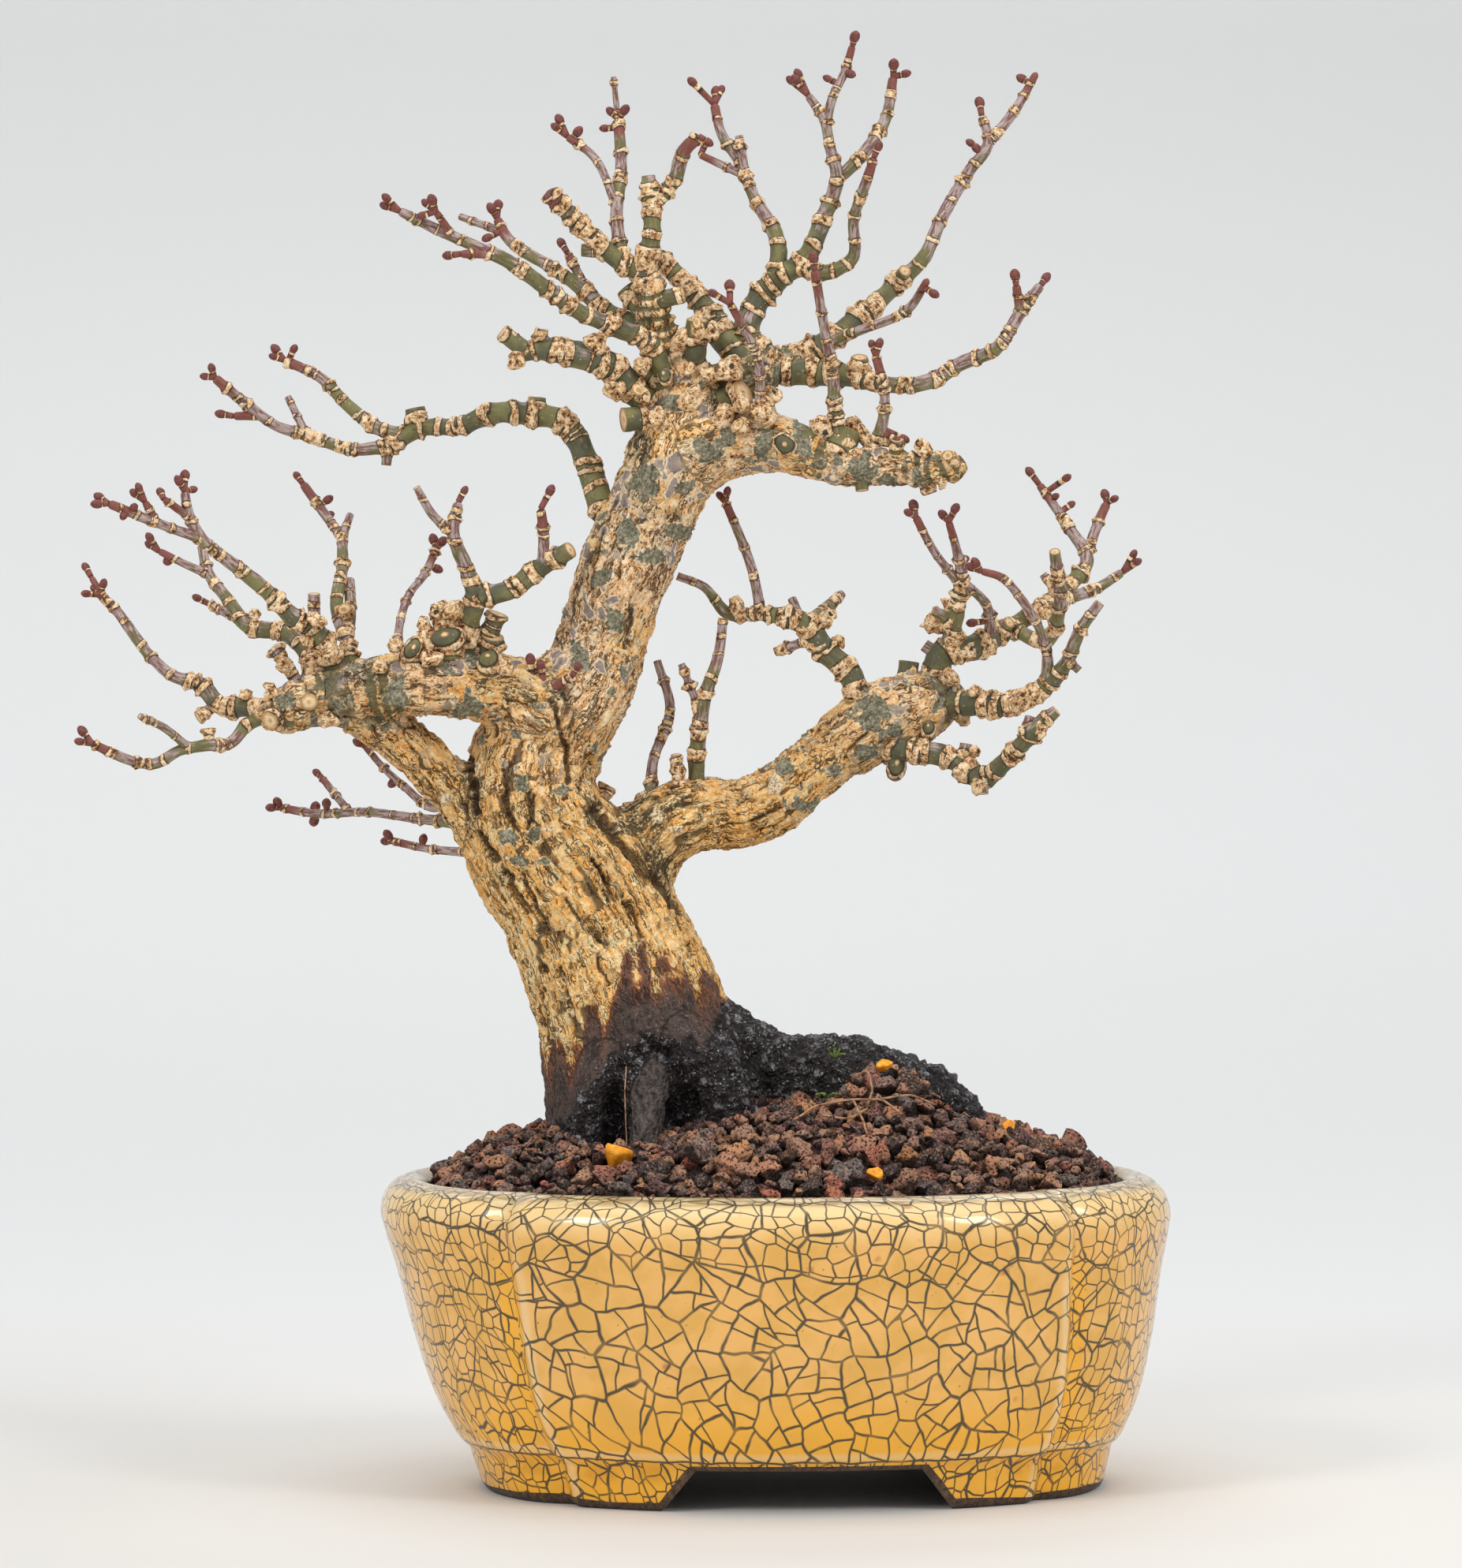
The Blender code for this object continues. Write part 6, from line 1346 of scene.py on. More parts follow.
def twig_finish():
    """Young bark: olive skin turning grey on the outer twigs and, as a painted highlight, on the upper
    sides; cream cork rings, red tips and cut faces.
    """
    values = settings()
    twig = Finish("bark_young", Specular_IOR_Level=0.35)
    band, blend, clouds, colours, kept = twig.tools()
    at, grain = twig.object_place(), kept("grain", vector=True)
    cork, young, face = kept("cork"), kept("young"), kept("face")
    fine = clouds(at, 0.45, 3, 0.65)
    streak = clouds(twig.scaled(grain, (1, 1, 0.22)), 0.55, 3, 0.6)
    broad = clouds(at, 6)
    fresh = band(clouds(at, 9, 1), 0.45, 0.62)
    old = band(young, 0.35, 0.05) * band(broad, 0.40, 0.56)
    green = twig.layers(
        values.twig_green, (fresh * 0.7, (0.25, 0.24, 0.085)),
        (band(streak, 0.35, 0.65) * 0.7, (0.25, 0.225, 0.10)),
        (band(fine, 0.60, 0.68) * 0.5, (0.06, 0.045, 0.03)), (old * 0.75, (0.092, 0.098, 0.062)))
    grey = blend(band(streak, 0.38, 0.62), (0.20, 0.082, 0.065), values.twig_grey)
    # The grey lies on the outer twigs as their real waxy coat, and on their upper sides as a painted
    # highlight
    bloom_and_top_highlight = broad + young * 0.42 + (streak - 0.5) * 0.3 + kept("top") * 0.09
    tip = band(kept("tip") + (broad - 0.5) * 0.6, 0.25, 0.8)
    edge = band(cork, 0.10, 0.30) * band(cork, 0.66, 0.46)
    skin = twig.layers(
        green, (band(bloom_and_top_highlight, 0.62, 0.80), grey),
        (band(twig.cells(grain, 1.5), 0.15, 0.09) * 0.6, (0.62, 0.50, 0.34)),
        (tip, blend(streak, values.bud_red, (0.36, 0.135, 0.095))), (edge * 0.9, (0.035, 0.02, 0.014)))
    lump = clouds(at, 1.25, 4, 0.6)
    cream = colours(lump * 0.6 + fine * 0.25 + streak * 0.15, (0.40, (0.055, 0.027, 0.014)),
                    (0.438, (0.33, 0.155, 0.06)), (0.485, (0.74, 0.44, 0.20)),
                    (0.56, (1.0, 0.78, 0.51)))
    across = twig.scaled(grain, (1, 1, 2.6))
    slits = band(abs(clouds(across, 1.5) - 0.5), 0.03, 0.012) * band(clouds(at, 1.6, 1), 0.42, 0.52)
    holes = band(twig.cells(across, 1.7), 0.20, 0.12).most(slits)
    wood = colours(face + (fine - 0.5) * 0.35, (0.4, (0.16, 0.08, 0.035)), (0.62, (0.62, 0.36, 0.15)),
                   (0.8, (0.92, 0.70, 0.42)), (0.97, (0.55, 0.33, 0.14)))
    colour = twig.layers(
        skin, (band(cork + (fine - 0.5) * 0.25, 0.34, 0.55),
               blend(holes * 0.85, cream, (0.04, 0.022, 0.014))),
        (band(face + (fine - 0.5) * 0.3, 0.35, 0.5), wood))
    relief = fine * 0.4 + streak * 0.3 + lump * cork * 0.9
    return twig.done(Base_Color=colour, Roughness=0.6 + cork * 0.25 + (fine - 0.5) * 0.2,
                     Normal=twig.bump(relief, 0.5, 0.8))


def lean(height):
    """How far the pot has leaned to the left at a height."""
    return RIM_LEAN * height / RIM_Z


def groove_angle_at(height):
    """Direction of the front right groove at a height, from straight to the right."""
    return GROOVE_ANGLE_FOOT + (GROOVE_ANGLE_RIM - GROOVE_ANGLE_FOOT) * np.clip(height / RIM_Z, 0, 1)


def pot_outline(half_width, height, angle, groove=GROOVE_DEPTH):
    """Radius of the four-lobed pot at each direction: an oval pinched at four grooves."""
    half_depth = half_width - (RIM_HALF_WIDTH - RIM_HALF_DEPTH)
    groove_angle = groove_angle_at(height)
    across, along = np.abs(np.cos(angle)) / half_width, np.abs(np.sin(angle)) / half_depth
    radius = (across ** OUTLINE_POWER + along ** OUTLINE_POWER) ** (-1 / OUTLINE_POWER)
    away = (np.arctan2(np.abs(np.sin(angle)), np.abs(np.cos(angle))) - groove_angle) * radius
    width = np.where(away > 0, GROOVE_FRONT_WIDTH, GROOVE_SIDE_WIDTH)
    shoulder = SHOULDER_RISE * np.exp(-((away - SHOULDER_AWAY) / SHOULDER_WIDTH) ** 2)
    pinch = groove * np.exp(-np.abs(away / width) ** GROOVE_POWER)
    return radius - pinch + shoulder * (groove > INNER_GROOVE)


def eased(section, step=1.0):
    """Round the turns of a section of (half-width, height)."""
    knots = np.array(section, float)
    return smooth_through(knots, np.linalg.norm(np.diff(knots, axis=0), axis=1), step)


def pot_ring(half, height, groove=GROOVE_DEPTH, sides=POT_SIDES, gap=0.0):
    """One level of the pot, or of what fills it."""
    angle = np.arange(sides) / sides * math.tau
    radius = pot_outline(half, height, angle, groove) - gap
    return np.stack([POT_X + lean(height) + radius * np.cos(angle), radius * np.sin(angle),
                     np.full(sides, height)], axis=1)


def foot_slot():
    """The slot through the foot ring, front to back, wider at the ground."""
    bm = bmesh.new()
    bmesh.ops.create_cube(bm, size=1)
    for vert in bm.verts:
        half = SLOT_HALF_TOP if vert.co.z > 0 else SLOT_HALF_BOTTOM
        height = SLOT_TOP_Z if vert.co.z > 0 else -1.0
        vert.co = Vector((POT_X + 2 * vert.co.x * half, vert.co.y * CUT_LENGTH, height)) * MM
    return bm


def drain_hole(side):
    """One of the two round holes through the floor."""
    bm = bmesh.new()
    bmesh.ops.create_cone(bm, cap_ends=True, segments=48, radius1=DRAIN_RADIUS * MM,
                          radius2=DRAIN_RADIUS * MM, depth=FLOOR_Z * MM)
    bmesh.ops.translate(bm, verts=bm.verts,
                        vec=Vector((POT_X + side * DRAIN_X, 0, UNDERSIDE_Z + 2)) * MM)
    return bm


def build_pot():
    """The glazed pot, on its slotted foot ring."""
    levels = [pot_ring(FOOT_INNER, height, FOOT_GROOVE) for height in (UNDERSIDE_Z, 0.0)]
    levels += [pot_ring(half, height) for half, height in eased(OUTER_SECTION)]
    levels += [pot_ring(half, height, INNER_GROOVE) for half, height in eased(INNER_SECTION, 4.0)]
    gather = Gather()
    ends = np.array([(POT_X, 0, UNDERSIDE_Z), (POT_X + lean(FLOOR_Z), 0, FLOOR_Z)])
    gather.add(np.vstack(levels + [ends]), tube_faces(len(levels), POT_SIDES))
    pot = gather.piece("glazed_pot")
    cutters = []
    for shape in (foot_slot(), drain_hole(-1), drain_hole(1)):
        mesh = bpy.data.meshes.new("cutter")
        bmesh.ops.recalc_face_normals(shape, faces=shape.faces)
        shape.to_mesh(mesh)
        shape.free()
        cutters.append(add_object("cutter", mesh))
        cut = pot.modifiers.new("cut", "BOOLEAN")
        cut.operation, cut.solver, cut.object = "DIFFERENCE", "MANIFOLD", cutters[-1]
    plain_mesh(pot)
    for cutter in cutters:
        bpy.data.objects.remove(cutter, do_unlink=True)
    keep_wall_places(pot.data)
    finish_piece(pot, glaze_finish(), "glaze", "pot")
    pot.data.set_sharp_from_angle(angle=math.radians(42))


def keep_wall_places(mesh):
    """Keep where each vertex is along and up the wall, and how near to a groove it is."""
    spots = spots_of(mesh)
    x, y, z = (spots - (POT_X, 0, 0)).T
    x = x - lean(z)
    angle = np.arctan2(y, x)
    turns = np.linspace(-math.pi, math.pi, 1441)
    radius = pot_outline(*WALL_MIDDLE, turns)
    loop = np.stack([radius * np.cos(turns), radius * np.sin(turns)], axis=1)
    around = np.concatenate([[0], np.cumsum(np.linalg.norm(np.diff(loop, axis=0), axis=1))])
    length = np.interp(angle, turns, around)
    reach = np.hypot(x, y)
    rim = pot_outline(LIP_HALF_WIDTH, RIM_Z, angle, groove=0.0)
    up = np.where(z > LIP_Z, z + np.maximum(rim - reach, 0), z)
    away = (np.arctan2(np.abs(y), np.abs(x)) - groove_angle_at(z)) * reach
    keep_values(mesh, "wall", np.stack([length, up, 0 * up], axis=1))
    keep_values(mesh, "groove", away)
    halves, heights = np.array(OUTER_SECTION[:-3]).T
    wall = pot_outline(np.interp(z, heights, halves), z, angle)
    keep_values(mesh, "inside", ((reach < wall - WALL_THICKNESS) & (z < INSIDE_TOP_Z)).astype(float))


def crack_lines(glaze, spot, size, width, fine_above, more):
    """Long cracks round each plate, shorter ones that part it, and a finer net near the rim."""
    edge = glaze.cells(spot, size, 0.8, {**FLAT, **EDGES}) * size
    chance = glaze.parts(glaze.cells(spot, size, 0.8, FLAT, output=1))
    middle = glaze.parts(glaze.cells(spot, size, 0.8, FLAT, output=2))
    x, y, _ = glaze.parts(spot)
    fine = ((middle[1] > fine_above) * (middle[1] < 200.0)).most(more)
    x, y = x - middle[0], y - middle[1]
    turn = chance[0] * math.pi
    cosine, sine = turn.maths("COSINE"), turn.maths("SINE")
    first = x * cosine + y * sine + (chance[1] - 0.5) * size * 0.15 + x * y * 0.03
    half = (first > 0.0) * 2 - 1
    second = y * cosine - x * sine + (chance[2] - 0.5 + half * 0.16) * size * 0.4 + x * x * 0.03
    quarter = (second > 0.0) * 2 - 1
    third = first + (half * 0.2 + quarter * 0.05) * size
    skip = ((chance[1] * 7 + quarter).maths("FRACT") > 0.62) * 9
    tiny = glaze.cells(spot, size / 2.3, 0.72, {**FLAT, **EDGES}) * (size / 2.3) + (1 - fine) * 9
    lines = glaze.band(edge, width * 1.3, width * 0.4)
    for away, thin in ((abs(first) + fine * 9, 0.9), (abs(second) + fine * 9, 0.8),
                       (abs(third) + skip + fine * 9, 0.7), (tiny, 0.66)):
        lines = lines.most(glaze.band(away, width * thin * 1.3, width * thin * 0.4))
    return lines


def glaze_finish():
    """Crackled yellow glaze: darker low down and in the grooves, paler on the groove shoulders from
    thin glaze and a painted highlight, with bare clay under the foot.
    """
    values = settings()
    glaze = Finish("glaze_crackle", IOR=1.52, Coat_Weight=0.15, Coat_Roughness=0.05,
                   Specular_IOR_Level=0.42)
    band, blend, clouds, colours, kept = glaze.tools()
    at, wall, away = glaze.object_place(), kept("wall", vector=True), kept("groove")
    along, level, _ = glaze.parts(wall)
    across, _, up = glaze.parts(at)
    waver = glaze.parts(clouds(wall, 26, 1, 0.4, output=1))
    small = glaze.parts(clouds(wall, 5.5, 1, output=1))
    x = along + (waver[0] - 0.5) * 9 + (small[0] - 0.5) * 1.9
    y = level + (waver[1] - 0.5) * 9 + (small[1] - 0.5) * 1.9
    foot = level < FOOT_LINE_Z + (small[2] - 0.5) * 0.8
    side = (away < 0.3) * (1 - foot)
    spot = glaze.joined(x * (1 + side * 0.3) + side * 777 + foot * 533, y + foot * 300)
    lines = crack_lines(glaze, spot, values.crackle_size / MM * 1.28, 0.32, 50.0, foot.most(side))
    border = band(abs(level - (FOOT_LINE_Z + 0.2) - (small[0] - 0.5) * 1.2), 0.3, 0.14)
    lines = lines.most(border) * band(clouds(wall, 6.0), 0.25, 0.55, 0.7, 1.0)
    low_down = band(level + (waver[1] - 0.5) * 9, 30.0, 11.0)
    pooled = band(abs(away + 0.6), 3.0, 1.0) * band(level, 55.0, 44.0)
    thick = low_down.most(pooled * 0.95)
    tone = clouds(at, 9, 3, 0.55)
    # Paler along the groove's shoulder: thinner glaze there, and a painted highlight
    thin_glaze_and_highlight_ridge = band(abs(away - 4.4), 1.8, 0.3) * band(level, 56.0, 40.0)
    foot_amber = band(abs(level - 7.5), 3.0, 0.4) * band(tone, 0.4, 0.62)
    pale_rim = band(level + (small[1] - 0.5) * 3, 53.0, 60.0)
    lip_tone = clouds(glaze.joined(along * 0.35, level), 2.2, 3, 0.6)
    colour = glaze.layers(
        values.glaze_yellow, (band(tone, 0.38, 0.62), (0.90, 0.50, 0.14)),
        (thick * band(tone, 0.25, 0.6, 0.55, 1.0), values.glaze_amber),
        (thin_glaze_and_highlight_ridge * 0.5, (0.92, 0.70, 0.38)), (foot_amber * 0.45, (0.56, 0.23, 0.012)),
        (band(abs(level - 11.4), 1.3, 0.2) * 0.5, (0.90, 0.68, 0.36)),
        (pale_rim * 0.85, (0.95, 0.67, 0.31)),
        (band(level, 62.5, 66.0) * 0.8,
         blend(band(lip_tone, 0.42, 0.6), (0.36, 0.25, 0.12), (0.70, 0.56, 0.32))),
        (band(clouds(at, 7.0), 0.69, 0.76) * 0.75, (0.45, 0.16, 0.04)),
        (band(glaze.cells(at, 3.4), 0.07, 0.028) * 0.8, (0.12, 0.06, 0.02)),
        (band(glaze.cells(at, 1.7), 0.085, 0.034) * 0.5, (0.12, 0.06, 0.02)),
        (lines * 0.95, (0.042, 0.036, 0.022)))
    slot = (abs(across - POT_X) + up * 0.75 + (tone - 0.5) * 1.2) < (SLOT_HALF_BOTTOM + 1.3)
    bare = (up < 1.9 + (waver[0] - 0.5) * 2.6).most(slot * (up < 9.6)).most(kept("inside") > 0.5)
    clay = colours(clouds(at, 0.9, 4, 0.65), (0.35, (0.035, 0.022, 0.015)),
                   (0.55, (0.10, 0.06, 0.035)), (0.75, (0.20, 0.12, 0.07)))
    colour = blend(bare, colour, clay)
    rough = band(bare, 0.0, 1.0, 0.13, 0.85) + lines * 0.12
    relief = clouds(at, 3.5) * 0.4 - lines * 0.12 + bare * clouds(at, 0.7) * 0.6
    return glaze.done(Base_Color=colour, Roughness=rough, Normal=glaze.bump(relief, 0.12, 0.5))


# The packed gravel: its gap to the wall, how far under the grains, its top and its mesh
BED_GAP = 0.35
BED_SINK = 2.6
BED_TOP_Z = 74.5
BED_SIDES, BED_RINGS = 220, 26

GRAIN_KINDS = 8
FRONT_Y = -18
THREAD_SIDES = 7
BUD_SIDES = 10

# How deep each layer lies, least and most size as a share, spacing as a share, and tries
GRAIN_LAYERS = ((3.6, 1.0, 1.3, 0.86, 2500), (0.4, 0.75, 1.35, 0.80, 9000),
                (-0.7, 0.38, 0.62, 0.72, 4000))

# How far along a bud, and how wide there as a share
BUD_PROFILE = ((0.0, 0.2), (0.03, 0.62), (0.12, 0.88), (0.27, 1.06), (0.46, 1.14), (0.65, 1.06),
               (0.83, 0.78), (0.95, 0.38))


def mound_height(x, y):
    """Height of the gravel at a place from the middle of the pot's rim."""
    away = np.hypot(x / MOUND_HALF_WIDTH, y / MOUND_HALF_DEPTH)
    power = 2.3 + 1.4 * (x / MOUND_HALF_WIDTH) ** 2
    heap = np.hypot(x - HEAP_PLACE[0], y - HEAP_PLACE[1]) / HEAP_SPREAD
    dip = np.hypot((x - ROOT_DIP[0]) / DIP_SPREAD[0], (y - ROOT_DIP[1]) / DIP_SPREAD[1])
    return (MOUND_EDGE_Z + MOUND_RISE * (1 - np.minimum(away, 1.0) ** power)
            + HEAP_RISE * np.exp(-heap ** 2) - DIP_DEPTH * np.exp(-dip ** 2))


def gravel_under(spots):
    """Height of the gravel under places in the pot's axes."""
    return mound_height(spots[:, 0] - POT_X - lean(RIM_Z), spots[:, 1])


def lying_at(across, up):
    """Where the front view's line through a point first meets the gravel, or passes nearest."""
    depths = np.linspace(-52, 45, 195)
    spots = place(np.stack([0 * depths + across, 0 * depths + up, depths], axis=1))
    outside = np.hypot((spots[:, 0] - POT_X - lean(RIM_Z)) / MOUND_HALF_WIDTH,
                       spots[:, 1] / MOUND_HALF_DEPTH)
    above = spots[:, 2] - gravel_under(spots) + FAR * np.maximum(outside - 0.88, 0)
    index = int(np.argmax(above <= 0)) if (above <= 0).any() else int(np.argmin(above))
    return np.append(spots[index, :2], gravel_under(spots[index:index + 1]))


def resting(across, depth, lift):
    """A place on the gravel at a depth in the front view, raised by a lift."""
    spot = place([(across, MOUND_EDGE_Z, depth)])
    return np.append(spot[0, :2], gravel_under(spot) + lift)


# The kind of socket that takes each kind of value
SOCKETS = {float: "NodeSocketFloat", bpy.types.Collection: "NodeSocketCollection",
           bpy.types.Material: "NodeSocketMaterial"}


def grow(item, build, **values):
    """Run Geometry Nodes on an object, with named inputs and a finish, and keep its plain mesh."""
    tree = bpy.data.node_groups.new(item.name, "GeometryNodeTree")
    for way in ("INPUT", "OUTPUT"):
        tree.interface.new_socket("Geometry", in_out=way, socket_type="NodeSocketGeometry")
    sockets = {name: tree.interface.new_socket(name, in_out="INPUT", socket_type=SOCKETS[type(value)])
               for name, value in values.items()}

    def node(kind, choices=None, inputs=None):
        return add_node(tree, kind, choices, inputs).outputs

    start = node("NodeGroupInput")
    real = node("GeometryNodeRealizeInstances", inputs={0: build(node, start)})
    painted = node("GeometryNodeSetMaterial", inputs={"Geometry": real[0], "Material": start["Finish"]})
    node("NodeGroupOutput", inputs={0: painted[0]})
    modifier = item.modifiers.new("grown", "NODES")
    modifier.node_group = tree
    for name, socket in sockets.items():
        modifier[socket.identifier] = values[name]
    return plain_mesh(item)


def instances(name, spots, turns, sizes, prototypes, kinds, tints, material):
    """One of the prototypes at each place, turned and sized."""
    mesh = bpy.data.meshes.new(name)
    mesh.from_pydata((np.asarray(spots) * MM).tolist(), [], [])
    for key, values in (("turn", turns), ("size", sizes), ("tint", tints)):
        keep_values(mesh, key, np.asarray(values, float))
    mesh.attributes.new("kind", "INT", "POINT").data.foreach_set("value", np.asarray(kinds, np.int32))
    shapes = bpy.data.collections.new(f"{name}_shapes")
    for prototype in prototypes:
        bpy.context.scene.collection.objects.unlink(prototype)
        shapes.objects.link(prototype)

    def build(node, start):
        picked = node("GeometryNodeCollectionInfo", {"transform_space": "ORIGINAL"}, {
            "Collection": start["Shapes"], "Separate Children": True, "Reset Children": True})
        kind, turn, size = [
            node("GeometryNodeInputNamedAttribute", {"data_type": data_type}, {"Name": key})[0]
            for key, data_type in (("kind", "INT"), ("turn", "FLOAT_VECTOR"), ("size", "FLOAT_VECTOR"))]
        sized = node("ShaderNodeVectorMath", {"operation": "SCALE"}, {0: size, "Scale": start["Size"]})
        spin = node("FunctionNodeEulerToRotation", inputs={0: turn})
        return node("GeometryNodeInstanceOnPoints", inputs={
            "Points": start["Geometry"], "Instance": picked[0], "Pick Instance": True,
            "Instance Index": kind, "Rotation": spin[0], "Scale": sized[0]})[0]

    item = grow(add_object(name, mesh), build, Shapes=shapes, Size=MM, Finish=material)
    for prototype in prototypes:
        bpy.data.objects.remove(prototype, do_unlink=True)
    bpy.data.collections.remove(shapes)
    return item


def strands(name, lines, radius, material):
    """A round thread along each line of points."""
    spots, edges = [], []
    for line in lines:
        edges += [(len(spots) + index, len(spots) + index + 1) for index in range(len(line) - 1)]
        spots += [tuple(spot * MM) for spot in line]
    mesh = bpy.data.meshes.new(name)
    mesh.from_pydata(spots, edges, [])

    def build(node, start):
        curve = node("GeometryNodeMeshToCurve", inputs={"Mesh": start["Geometry"]})
        circle = node("GeometryNodeCurvePrimitiveCircle", inputs={
            "Resolution": THREAD_SIDES, "Radius": start["Radius"]})
        return node("GeometryNodeCurveToMesh", inputs={
            "Curve": curve[0], "Profile Curve": circle[0], "Fill Caps": True})[0]

    item = grow(add_object(name, mesh), build, Radius=radius * MM, Finish=material)
    return finish_piece(item, material, "bark", "maple_tree")


def lava_grain(name, seed, fineness=2, cuts=9, pitting=0.0):
    """A broken grain about 1 m wide: a ball cut by planes and pitted."""
    bm = bmesh.new()
    bmesh.ops.create_icosphere(bm, subdivisions=fineness, radius=0.5)
    mesh = bpy.data.meshes.new(name)
    bm.to_mesh(mesh)
    bm.free()
    draw = np.random.default_rng(seed)
    spots = spots_of(mesh) * MM
    for cut in draw.normal(size=(cuts, 3)):
        cut /= np.linalg.norm(cut)
        over = np.maximum(spots @ cut - draw.uniform(0.20, 0.38), 0)
        spots -= over[:, None] * cut
    spots *= draw.uniform(0.85, 1.25, 3)
    pits = np.maximum(0.42 - cells(spots * 4.6, seed + 80)[0], 0)
    spots *= (1.02 + 0.32 * noise(spots * 5.0, seed) + pitting * (noise(spots * 9.0, seed + 60) - 0.5)
              - pitting * pits)[:, None]
    mesh.vertices.foreach_set("co", spots.astype(np.float32).ravel())
    return add_object(name, mesh)


def grain_places(solids):
    """Draw the places, sizes and tints of the grains, layer by layer."""
    draw = np.random.default_rng(settings().gravel_seed)
    found = np.empty((0, 5))
    width = settings().grain_size / MM
    for sink, low, high, apart, tries in GRAIN_LAYERS:
        spread = draw.uniform(-1, 1, (tries, 2)) * (MOUND_HALF_WIDTH + 1, MOUND_HALF_DEPTH + 1)
        sizes = width * (low + (high - low) * draw.uniform(0, 1, tries) ** 1.4)
        angle = np.arctan2(spread[:, 1], spread[:, 0])
        room = pot_outline(70.5, RIM_Z, angle, INNER_GROOVE) - 0.45 * sizes
        keep = np.hypot(*spread.T) < room
        spread, sizes = spread[keep], sizes[keep]
        levels = mound_height(*spread.T) - sink + draw.uniform(-0.55, 0.55, len(sizes))
        spots = np.stack([spread[:, 0] + POT_X + lean(RIM_Z), spread[:, 1], levels], axis=1)
        clear = skin_height(spots, solids) > -0.25 * sizes
        for spot, size in zip(spots[clear], sizes[clear]):
            near = np.linalg.norm(found[:, :3] - spot, axis=1)
            if not (near < apart * 0.5 * (found[:, 3] + size)).any():
                found = np.vstack([found, [*spot, size, draw.uniform()]])
    return found, draw


def build_gravel(routes):
    """Lava grains in layers over a dark bed, with the larger marked ones."""
    found, draw = grain_places(solid_routes(routes))
    spots, sizes, tints = found[:, :3], np.repeat(found[:, 3:4], 3, axis=1), found[:, 4] * 0.83
    sizes = sizes * draw.uniform(0.8, 1.15, sizes.shape)
    marked_spots = np.array([lying_at(*row[:2]) + (0, 0, 0.12 * row[3]) for row in MARKED_GRAINS])
    marked_sizes = np.array([(width, 0.9 * width, height) for _, _, width, height, _ in MARKED_GRAINS])
    free = np.ones(len(spots), bool)
    for spot, size in zip(marked_spots, marked_sizes):
        free &= np.linalg.norm((spots - spot) / (size * 0.5 + 1.3), axis=1) > 1
    for _, across, depth, length, height in YELLOW_GRAINS:
        away = spots - resting(across, depth, 0.5 * height)
        free &= np.linalg.norm(away / (0.5 * length + 1.9), axis=1) > 1
    spots, sizes = np.vstack([spots[free], marked_spots]), np.vstack([sizes[free], marked_sizes])
    tints = np.append(tints[free], [row[4] for row in MARKED_GRAINS])
    turns = draw.uniform(0, math.tau, (len(spots), 3))
    turns[-len(marked_spots):, :2] = 0
    kinds = draw.integers(0, GRAIN_KINDS, len(spots))
    lower = spots[:, 2] < gravel_under(spots) - 2.0
    near = ~lower & (spots[:, 1] < FRONT_Y) & (sizes[:, 0] > 3)
    material = lava_finish()
    for name, part, fine in (("grains_below", lower, 2), ("grains_on_top", ~lower & ~near, 2),
                             ("grains_in_front", near, 3)):
        shapes = [lava_grain(f"grain_{index}", index + 20, fine, 8, 0.24 * (fine - 1))
                  for index in range(GRAIN_KINDS)]
        item = instances(name, spots[part], turns[part], sizes[part], shapes, kinds[part],
                         tints[part], material)
        # How far each place faces up, for the painted shade on the grains' undersides
        keep_values(item.data, "up", normals_of(item.data)[:, 2])
        finish_piece(item, material, "lava_gravel", "soil")
        item.data.set_sharp_from_angle(angle=math.radians(38))
    build_gravel_bed(material)


def build_gravel_bed(material):
    """The packed gravel under the grains, filling the pot."""
    levels = []
    for half, height in eased(INNER_SECTION, 6.0)[::-1]:
        levels.append(pot_ring(half, height, INNER_GROOVE, BED_SIDES, BED_GAP))
        levels[-1][:, 2] = max(height, FLOOR_Z + BED_GAP)
    rim = levels[-1] - (POT_X + lean(INNER_SECTION[0][1]), 0, 0)
    for ring in range(BED_RINGS):
        spots = rim * (1 - (ring + 0.4) / BED_RINGS) + (POT_X + lean(RIM_Z), 0, 0)
        wave = 1.6 * (noise(spots * (0.4, 0.4, 0), 33) - 0.5)
        spots[:, 2] = gravel_under(spots) - BED_SINK + wave
        levels.append(spots)
    ends = np.array([(POT_X + lean(FLOOR_Z), 0, FLOOR_Z + BED_GAP),
                     (POT_X + lean(RIM_Z), 0, BED_TOP_Z)])
    spots = np.vstack(levels + [ends])
    gather = Gather()
    gather.add(spots, tube_faces(len(levels), BED_SIDES), tint=np.full(len(spots), 0.15),
               up=np.zeros(len(spots)))
    finish_piece(gather.piece("gravel_bed"), material, "lava_gravel", "soil")


